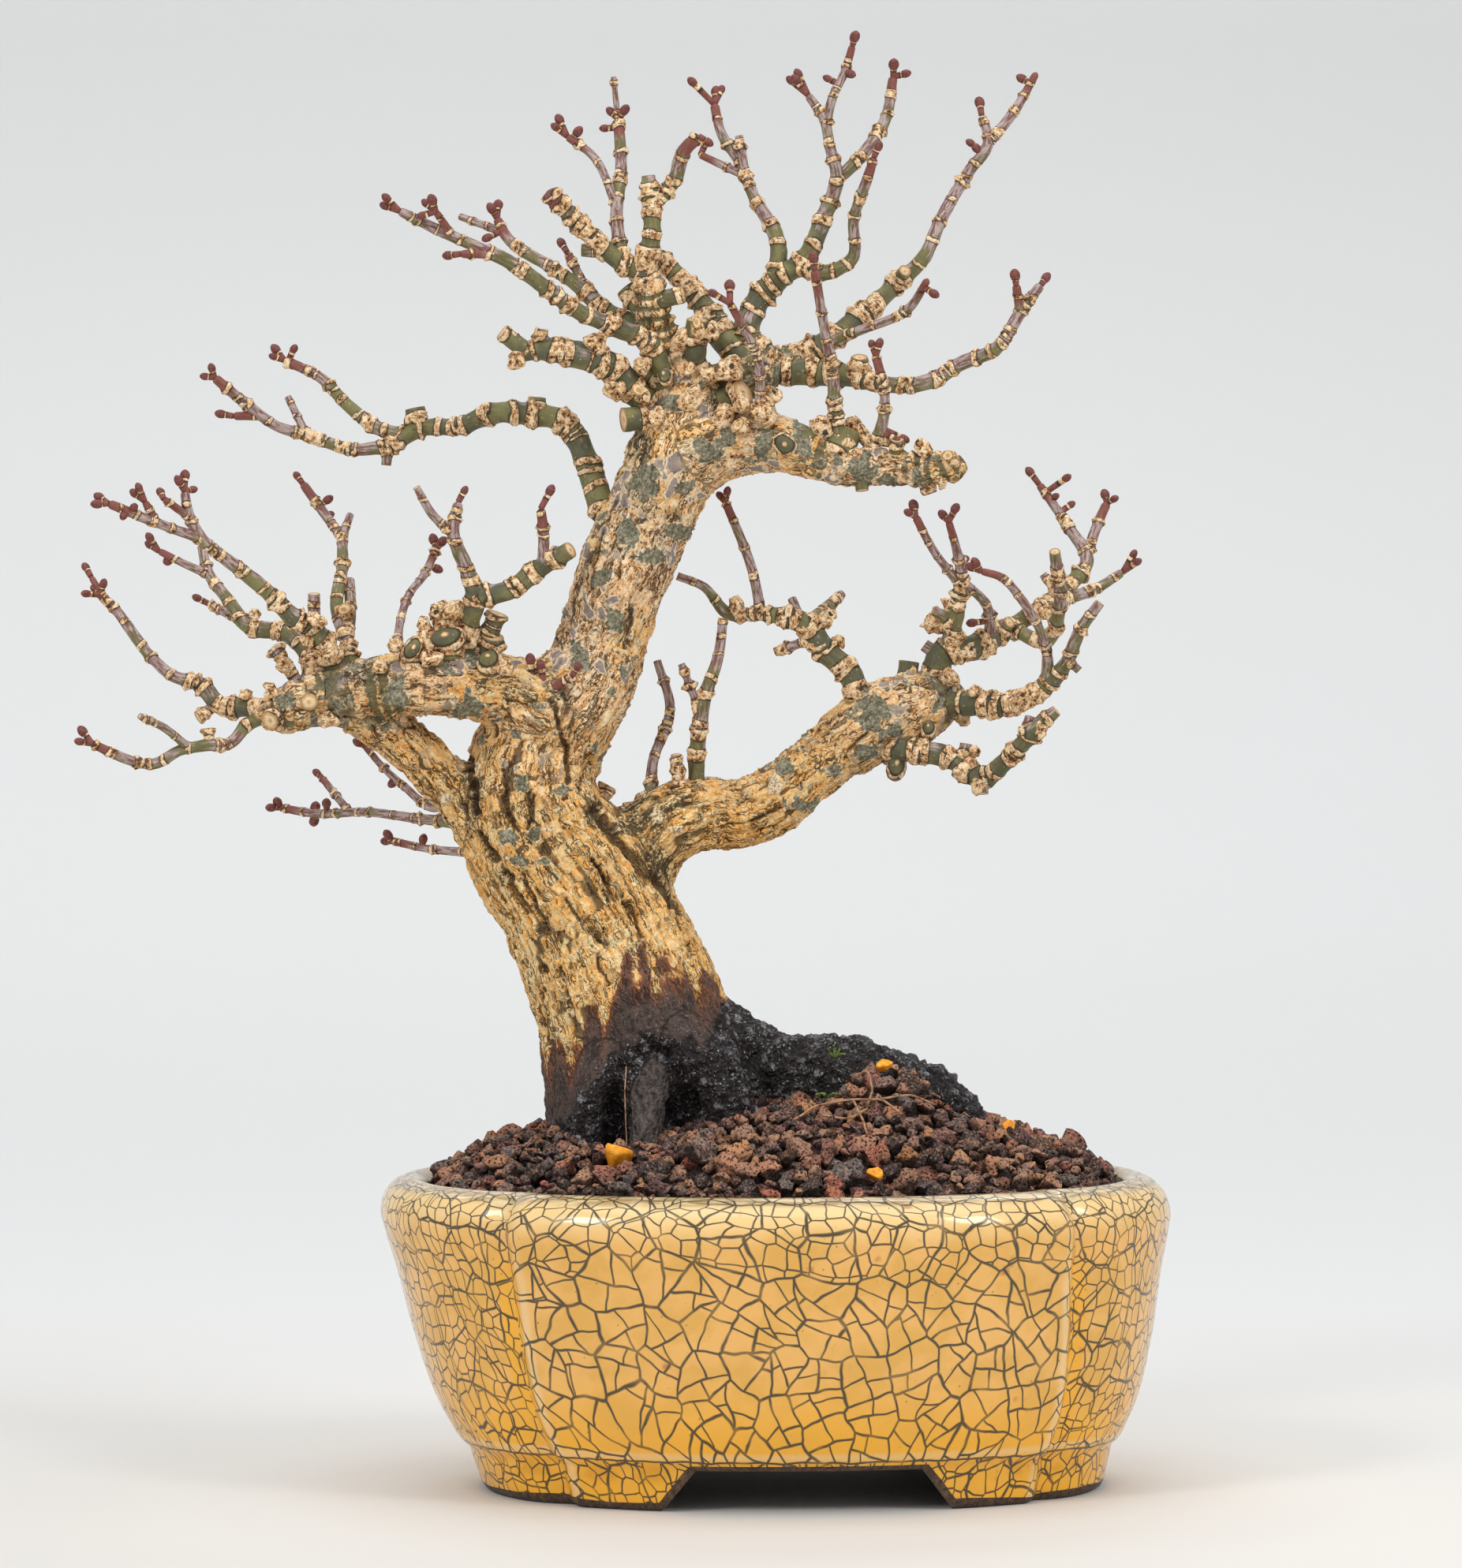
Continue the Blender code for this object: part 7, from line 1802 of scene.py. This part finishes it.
def lava_finish():
    """Porous lava: near black, dark red and brown grains, a few rusty ones, with painted shade on the
    grains' undersides.
    """
    lava = Finish("lava_rock", Specular_IOR_Level=0.3)
    band, _, clouds, colours, kept = lava.tools()
    at, tint = lava.object_place(), kept("tint")
    rough = clouds(at, 0.6, 4, 0.7)
    soft = clouds(at, 2.2)
    colour = colours(
        tint + (soft - 0.5) * 0.10, (0.0, (0.25, 0.20, 0.18)), (0.14, (0.10, 0.088, 0.088)),
        (0.28, (0.33, 0.135, 0.11)), (0.42, (0.46, 0.17, 0.115)), (0.52, (0.20, 0.12, 0.10)),
        (0.64, (0.34, 0.20, 0.15)), (0.71, (0.64, 0.17, 0.10)), (0.78, (0.62, 0.32, 0.16)),
        (0.90, (0.85, 0.34, 0.10)))
    shade = (tint * 37).maths("FRACT")
    # Painted shade: darker where a grain's surface faces down
    facing = kept("up") + (soft - 0.5) * 0.8
    pit = band(lava.cells(at, 0.8), 0.36, 0.22)
    colour = lava.layers(
        colour, (band(shade, 0.48, 0.15) * 0.82, (0.045, 0.032, 0.031)),
        (band(shade, 0.62, 0.95) * 0.65, (0.78, 0.40, 0.22)),
        (band(rough, 0.50, 0.62) * 0.55, (0.76, 0.45, 0.30)),
        (band(rough, 0.47, 0.39) * 0.65, (0.04, 0.024, 0.021)),
        (band(facing, 0.42, -0.38) * 0.85, (0.016, 0.010, 0.009)),
        (pit * 0.85, (0.018, 0.011, 0.010)))
    relief = rough * 0.9 + soft * 0.4 - pit * 0.7
    return lava.done(Base_Color=colour, Roughness=0.66 + (rough - 0.5) * 0.4,
                     Normal=lava.bump(relief, 0.9, 1.1))


def mottled(name, blotch, stops, rough, relief, stretch=None, **constants):
    """A finish with one kind of blotch, which carries its colour, its roughness and its relief."""
    finish = Finish(name, **constants)
    at = finish.object_place()
    tone = finish.clouds(finish.scaled(at, stretch) if stretch else at, *blotch)
    return finish.done(Base_Color=finish.colours(tone, *stops), Roughness=rough[0] + tone * rough[1],
                       Normal=finish.bump(tone, *relief))


def build_yellow_grains():
    """The four bright grains that lie in the gravel."""
    gather = Gather()
    for index, (_, across, depth, length, height) in enumerate(YELLOW_GRAINS):
        grain = lava_grain("grain", 40 + index, fineness=3, cuts=7)
        spots = spots_of(grain.data) * MM
        spots = spots / (spots.max(0) - spots.min(0)) * (length, 0.85 * length, height)
        faces = [tuple(face.vertices) for face in grain.data.polygons]
        gather.add(spots + resting(across, depth, GRAIN_BEDDING * height), faces)
        bpy.data.objects.remove(grain, do_unlink=True)
    material = mottled(
        "yellow_grain", (1.1, 3, 0.6),
        ((0.3, (0.70, 0.20, 0.008)), (0.5, (1.0, 0.38, 0.015)), (0.7, (1.0, 0.58, 0.07))),
        (0.45, 0.3), (0.4, 0.7), Specular_IOR_Level=0.4, Subsurface_Weight=0.15, Subsurface_Scale=0.002)
    finish_piece(gather.piece("yellow_crumbs"), material, "yellow_grain",
                 *(f"yellow_grain_{row[0]}" for row in YELLOW_GRAINS))


def build_rootlets():
    """Fine roots that lie on the gravel, and a green sprig beside the big root."""
    root = mottled("rootlet", (1.5, 3, 0.6), ((0.35, (0.17, 0.08, 0.042)), (0.6, (0.56, 0.31, 0.17))),
                   (0.6, 0.3), (0.2, 0.5), Specular_IOR_Level=0.3)
    draw = np.random.default_rng(8)
    lines = []
    for line in ROOTLETS:
        spots = np.array([lying_at(*spot) for spot in line]) + (0, -0.9, 2.1)
        keys = np.linspace(0, len(spots) - 1, (len(spots) - 1) * 8 + 1)
        fine = np.stack([np.interp(keys, np.arange(len(spots)), axis) for axis in spots.T], axis=1)
        fine[1:-1] += draw.uniform(-0.22, 0.22, (len(fine) - 2, 3))
        for _ in range(3):
            fine[1:-1] = (fine[:-2] + 2 * fine[1:-1] + fine[2:]) / 4
        lines.append(fine)
    strands("rootlets", lines, 0.24, root)
    strands("hanging_thread", [place(THREAD)], 0.13, root)
    leaf = mottled("sprig_green", (1.2,), ((0.35, (0.05, 0.10, 0.015)), (0.65, (0.22, 0.34, 0.06))),
                   (0.7, 0.1), (0.1, 0.5), Specular_IOR_Level=0.3)
    foot = place([SPRIG_FOOT])[0]
    blades = [np.array([foot, foot + (dx * 0.5, -0.6, 1.2), foot + (dx, dy - 0.6, rise)])
              for dx, dy, rise in SPRIG_BLADES]
    tangle = lying_at(7, 77) + (0, -0.5, 1.4)
    for turn in draw.uniform(0, math.tau, 9):
        reach = np.array((math.cos(turn), math.sin(turn) * 0.6, 0.35)) * draw.uniform(1.2, 3)
        blades.append(np.array([tangle, tangle + reach * 0.5 + (0, 0, 0.7), tangle + reach]))
    strands("green_sprig", blades, 0.2, leaf)


def bud_places(routes):
    """For each bud: its base, its direction and its size, and the place that its neck grows from."""
    owned = [(twig.name, x, z) for twig in TWIGS for x, z in twig.buds]
    for x, z in LOOSE_BUDS:
        name = min((twig.name for twig in TWIGS), key=lambda key: nearest_on(routes[key], x, z)[1])
        owned.append((name, x, z))
    length = settings().bud_length / MM
    draw = np.random.default_rng(12)
    found = []
    for index, (name, x, z) in enumerate(owned):
        root, _ = nearest_on(routes[name], x, z)
        root_spot, middle = place([(root[0], root[1], root[3]),
                                   (x, z, root[3] + (0.8 if index % 2 else -0.8))])
        run = (middle - root_spot) / max(np.linalg.norm(middle - root_spot), 1e-6)
        size = length * draw.uniform(0.85, 1.1)
        found.append((middle - run * 0.42 * size, run, size, root_spot))
    return found


def bud_shape():
    """A bud 1 m long, pointing up, with how far along it each place is."""
    turn = np.arange(BUD_SIDES) / BUD_SIDES * math.tau
    rings = [np.stack([radius * 0.35 * (1 + 0.09 * np.cos(2 * turn)) * np.cos(turn),
                       radius * 0.33 * np.sin(turn), np.full(BUD_SIDES, at)], axis=1)
             for at, radius in BUD_PROFILE]
    rings.append(np.array([(0, 0, -0.02), (0, 0, 1.0)]))
    gather = Gather()
    gather.add(np.vstack(rings) / MM, tube_faces(len(BUD_PROFILE), BUD_SIDES),
               scale_line=np.append(np.repeat([at for at, _ in BUD_PROFILE], BUD_SIDES), (0, 1.0)))
    return gather.piece("bud_shape")


def bud_finish():
    """Dark red scales with paler seams and a corky foot."""
    bud = Finish("bud_scales", Specular_IOR_Level=0.45)
    band, blend, clouds, _, kept = bud.tools()
    line = kept("scale_line")
    tone = clouds(bud.object_place(), 0.7, 3, 0.6)
    seams = band((line * 3.3).maths("FRACT"), 0.14, 0.02)
    colour = bud.layers(
        blend(band(tone, 0.35, 0.68), settings().bud_red, (0.24, 0.065, 0.05)),
        (seams * 0.7, (0.40, 0.24, 0.15)), (band(line, 0.1, 0.0) * 0.8, (0.55, 0.38, 0.20)))
    return bud.done(Base_Color=colour, Roughness=0.42 + tone * 0.3,
                    Normal=bud.bump(tone - seams * 0.5, 0.2, 0.7))


def build_buds(routes):
    """Winter buds in pairs, each on its short neck."""
    found = bud_places(routes)
    material = bud_finish()
    turns = [tuple(Vector(run).to_track_quat("Z", "Y").to_euler()) for _, run, _, _ in found]
    item = instances("winter_buds", [row[0] for row in found], turns, [(row[2],) * 3 for row in found],
                     [bud_shape()], [0] * len(found), [0.0] * len(found), material)
    finish_piece(item, material, "bark", "maple_tree")
    necks = Gather()
    turn = np.arange(BUD_SIDES) / BUD_SIDES * math.tau
    radii = np.linspace(0.62, 0.7, 5)
    for base, run, _, root in found:
        points = np.linspace(root, base + run * 0.3, len(radii))
        side, other, _ = frames(points)
        spots = points[:, None] + radii[:, None, None] * ring_round(turn, side, other)
        spots = np.vstack([spots.reshape(-1, 3), points[[0, -1]]])
        none = np.zeros(len(spots))
        cork = np.append(np.repeat((0, 0, 0, 0.3, 1.0), BUD_SIDES), (0, 1.0))
        necks.add(spots, tube_faces(len(radii), BUD_SIDES), cork=cork, grain=spots, top=none,
                  young=none + 1, tip=none + 1, face=none)
    finish_piece(necks.piece("bud_necks"), bpy.data.materials["bark_young"], "bark", "maple_tree")


def finish_drain_fittings():
    """Moulded plastic for the drain meshes and drawn wire for their clips."""
    plastic = mottled(
        "drain_plastic", (1.2, 4, 0.6), ((0.35, (0.012, 0.013, 0.012)), (0.7, (0.05, 0.052, 0.048))),
        (0.45, 0.3), (0.08, 0.5), Specular_IOR_Level=0.4)
    wire = mottled(
        "drawn_wire", (0.8, 3, 0.6), ((0.35, (0.30, 0.27, 0.24)), (0.7, (0.62, 0.58, 0.52))),
        (0.3, 0.25), (0.05, 0.4), stretch=(0.3, 3.0, 3.0), Metallic=1.0)
    for side in ("left", "right"):
        for name, material in ((f"drain_mesh_{side}", plastic), (f"mesh_clip_{side}", wire)):
            data = frame["nodes"][name].data
            data.materials.clear()
            data.materials.append(material)


# The floor, in millimetres: its reach, where it curves up, the curve's radius and the top behind
FLOOR_REACH, CURVE_Y, CURVE_RADIUS, BACK_TOP = 4000, 1750, 500, 3000
SKY_COLOUR = (0.93, 0.965, 1.0, 1.0)
SKY_STRENGTH = 0.52


def build_stage():
    """A pale floor that curves up behind, soft lights and the camera."""
    gather = Gather()
    profile = [(-FLOOR_REACH, 0)]
    profile += [(CURVE_Y + CURVE_RADIUS * math.sin(t), CURVE_RADIUS * (1 - math.cos(t)))
                for t in np.linspace(0, math.pi / 2, 14)]
    profile.append((CURVE_Y + CURVE_RADIUS, BACK_TOP))
    spots = np.array([(x, y, z) for y, z in profile for x in (-FLOOR_REACH, FLOOR_REACH)], float)
    faces = [(row, row + 1, row + 3, row + 2) for row in range(0, 2 * len(profile) - 2, 2)]
    gather.add(spots, faces)
    floor = gather.piece("studio_floor")
    floor.data.materials.append(floor_finish())
    floor.data.shade_smooth()
    world = bpy.data.worlds.new("studio")
    world.use_nodes = True
    sky = world.node_tree.nodes["Background"].inputs
    sky["Color"].default_value, sky["Strength"].default_value = SKY_COLOUR, SKY_STRENGTH
    bpy.context.scene.world = world
    for name, spot, aim, size, power in LIGHTS:
        light = bpy.data.lights.new(name, "AREA")
        light.shape = "RECTANGLE"
        light.size, light.size_y = size
        light.energy = power
        item = bpy.data.objects.new(name, light)
        item.location = spot
        item.rotation_euler = (Vector(aim) - Vector(spot)).to_track_quat("-Z", "Y").to_euler()
        bpy.context.scene.collection.objects.link(item)
    data = bpy.data.cameras.new("camera")
    data.lens = CAMERA_LENS
    data.sensor_width = 36.0
    data.sensor_fit = "AUTO"
    data.clip_start, data.clip_end = 0.05, 50.0
    data.dof.use_dof = False
    camera = bpy.data.objects.new("camera", data)
    camera.location = CAMERA_PLACE
    aim = Vector(CAMERA_AIM) - Vector(CAMERA_PLACE)
    camera.rotation_euler = aim.to_track_quat("-Z", "Y").to_euler()
    bpy.context.scene.collection.objects.link(camera)
    bpy.context.scene.camera = camera
    bpy.context.scene.view_settings.view_transform = "Standard"


def floor_finish():
    """Pale paper, a little uneven, with a painted shadow to the left in front."""
    paper = Finish("studio_paper", Specular_IOR_Level=0.2)
    cloud = paper.clouds(paper.object_place(), 260, 3, 0.5)
    across, deep, _ = paper.parts(paper.object_place())
    behind = paper.band(deep, -300.0, 500.0)
    # Painted shadow: the floor darker to the left, in front
    shaded = paper.band(across, -15.0, -130.0) * (1 - behind)
    colour = paper.layers(
        settings().floor_white, (behind, (0.76, 0.765, 0.765)), (shaded * 0.5, (0.56, 0.54, 0.50)),
        (cloud * 0.5, (0.77, 0.75, 0.72)))
    return paper.done(Base_Color=colour, Roughness=0.75 + (cloud - 0.5) * 0.1)


# Name, place, aim, width and height in metres, and power in watts
LIGHTS = (("overhead", (0.1, -0.35, 1.5), (0.0, 0.0, 0.1), (1.6, 1.2), 9.3),
          ("window_left", (-0.95, -1.0, 0.95), (0.0, 0.0, 0.1), (0.32, 0.5), 6.5),
          ("window_right", (1.0, -0.95, 0.95), (0.0, 0.0, 0.1), (0.32, 0.5), 5.5),
          ("backdrop_wash", (0.0, 1.7, 2.1), (0.0, 2.2, 0.6), (2.6, 0.6), 20.5))



class MAPLE_OT_stage(bpy.types.Operator):
    """Set up the pale floor, the soft lights and the camera"""

    bl_idname = "maple.stage"
    bl_label = "Stage"
    bl_options = {"REGISTER", "UNDO"}

    def execute(self, context):
        build_stage()
        return {"FINISHED"}


class MAPLE_OT_heavy_wood(bpy.types.Operator):
    """Grow the trunk, the limbs and the roots that show, with their old bark"""

    bl_idname = "maple.heavy_wood"
    bl_label = "Trunk, limbs and roots"
    bl_options = {"REGISTER", "UNDO"}

    def execute(self, context):
        build_heavy_wood(all_routes())
        return {"FINISHED"}


class MAPLE_OT_twigs(bpy.types.Operator):
    """Grow the ringed branches, the twigs and the cut stubs"""

    bl_idname = "maple.twigs"
    bl_label = "Twigs and stubs"
    bl_options = {"REGISTER", "UNDO"}

    def execute(self, context):
        build_twigs(all_routes())
        return {"FINISHED"}


class MAPLE_OT_buds(bpy.types.Operator):
    """Set the winter buds on their necks"""

    bl_idname = "maple.buds"
    bl_label = "Winter buds"
    bl_options = {"REGISTER", "UNDO"}

    def execute(self, context):
        build_buds(all_routes())
        return {"FINISHED"}


class MAPLE_OT_pot(bpy.types.Operator):
    """Make the four-lobed pot with its crackled glaze"""

    bl_idname = "maple.pot"
    bl_label = "Glazed pot"
    bl_options = {"REGISTER", "UNDO"}

    def execute(self, context):
        build_pot()
        return {"FINISHED"}


class MAPLE_OT_gravel(bpy.types.Operator):
    """Fill the pot with lava gravel"""

    bl_idname = "maple.gravel"
    bl_label = "Lava gravel"
    bl_options = {"REGISTER", "UNDO"}

    def execute(self, context):
        build_gravel(all_routes())
        return {"FINISHED"}


class MAPLE_OT_yellow_grains(bpy.types.Operator):
    """Lay the four bright grains in the gravel"""

    bl_idname = "maple.yellow_grains"
    bl_label = "Yellow grains"
    bl_options = {"REGISTER", "UNDO"}

    def execute(self, context):
        build_yellow_grains()
        return {"FINISHED"}


class MAPLE_OT_rootlets(bpy.types.Operator):
    """Lay the fine roots on the gravel, and the green sprig"""

    bl_idname = "maple.rootlets"
    bl_label = "Fine roots and sprig"
    bl_options = {"REGISTER", "UNDO"}

    def execute(self, context):
        build_rootlets()
        return {"FINISHED"}


class MAPLE_OT_drain_fittings(bpy.types.Operator):
    """Give the drain meshes and their clips plastic and wire"""

    bl_idname = "maple.drain_fittings"
    bl_label = "Drain fittings"
    bl_options = {"REGISTER", "UNDO"}

    def execute(self, context):
        finish_drain_fittings()
        return {"FINISHED"}


class MAPLE_PT_bonsai(bpy.types.Panel):
    """Sizes and colours of the bonsai, and the buttons that build it"""

    bl_idname = "MAPLE_PT_bonsai"
    bl_label = "Maple bonsai"
    bl_space_type = "VIEW_3D"
    bl_region_type = "UI"
    bl_category = "Bonsai"

    def draw(self, context):
        column = self.layout.column()
        for name in Settings.__annotations__:
            column.prop(context.scene.maple_bonsai, name)
        for piece in OPERATORS:
            column.operator(piece.bl_idname)


OPERATORS = (MAPLE_OT_stage, MAPLE_OT_heavy_wood, MAPLE_OT_twigs, MAPLE_OT_pot, MAPLE_OT_gravel,
             MAPLE_OT_yellow_grains, MAPLE_OT_rootlets, MAPLE_OT_buds, MAPLE_OT_drain_fittings)


def register():
    """Register the settings, the operators and the panel."""
    for kind in (Settings, *OPERATORS, MAPLE_PT_bonsai):
        bpy.utils.register_class(kind)
    bpy.types.Scene.maple_bonsai = PointerProperty(type=Settings)


def unregister():
    """Take the settings, the operators and the panel out again."""
    del bpy.types.Scene.maple_bonsai
    for kind in reversed((Settings, *OPERATORS, MAPLE_PT_bonsai)):
        bpy.utils.unregister_class(kind)


def main():
    """Build every piece."""
    register()
    bpy.ops.maple.stage()
    bpy.ops.maple.heavy_wood()
    bpy.ops.maple.twigs()
    bpy.ops.maple.pot()
    bpy.ops.maple.gravel()
    bpy.ops.maple.yellow_grains()
    bpy.ops.maple.rootlets()
    bpy.ops.maple.buds()
    bpy.ops.maple.drain_fittings()


if __name__ == "__main__":
    main()
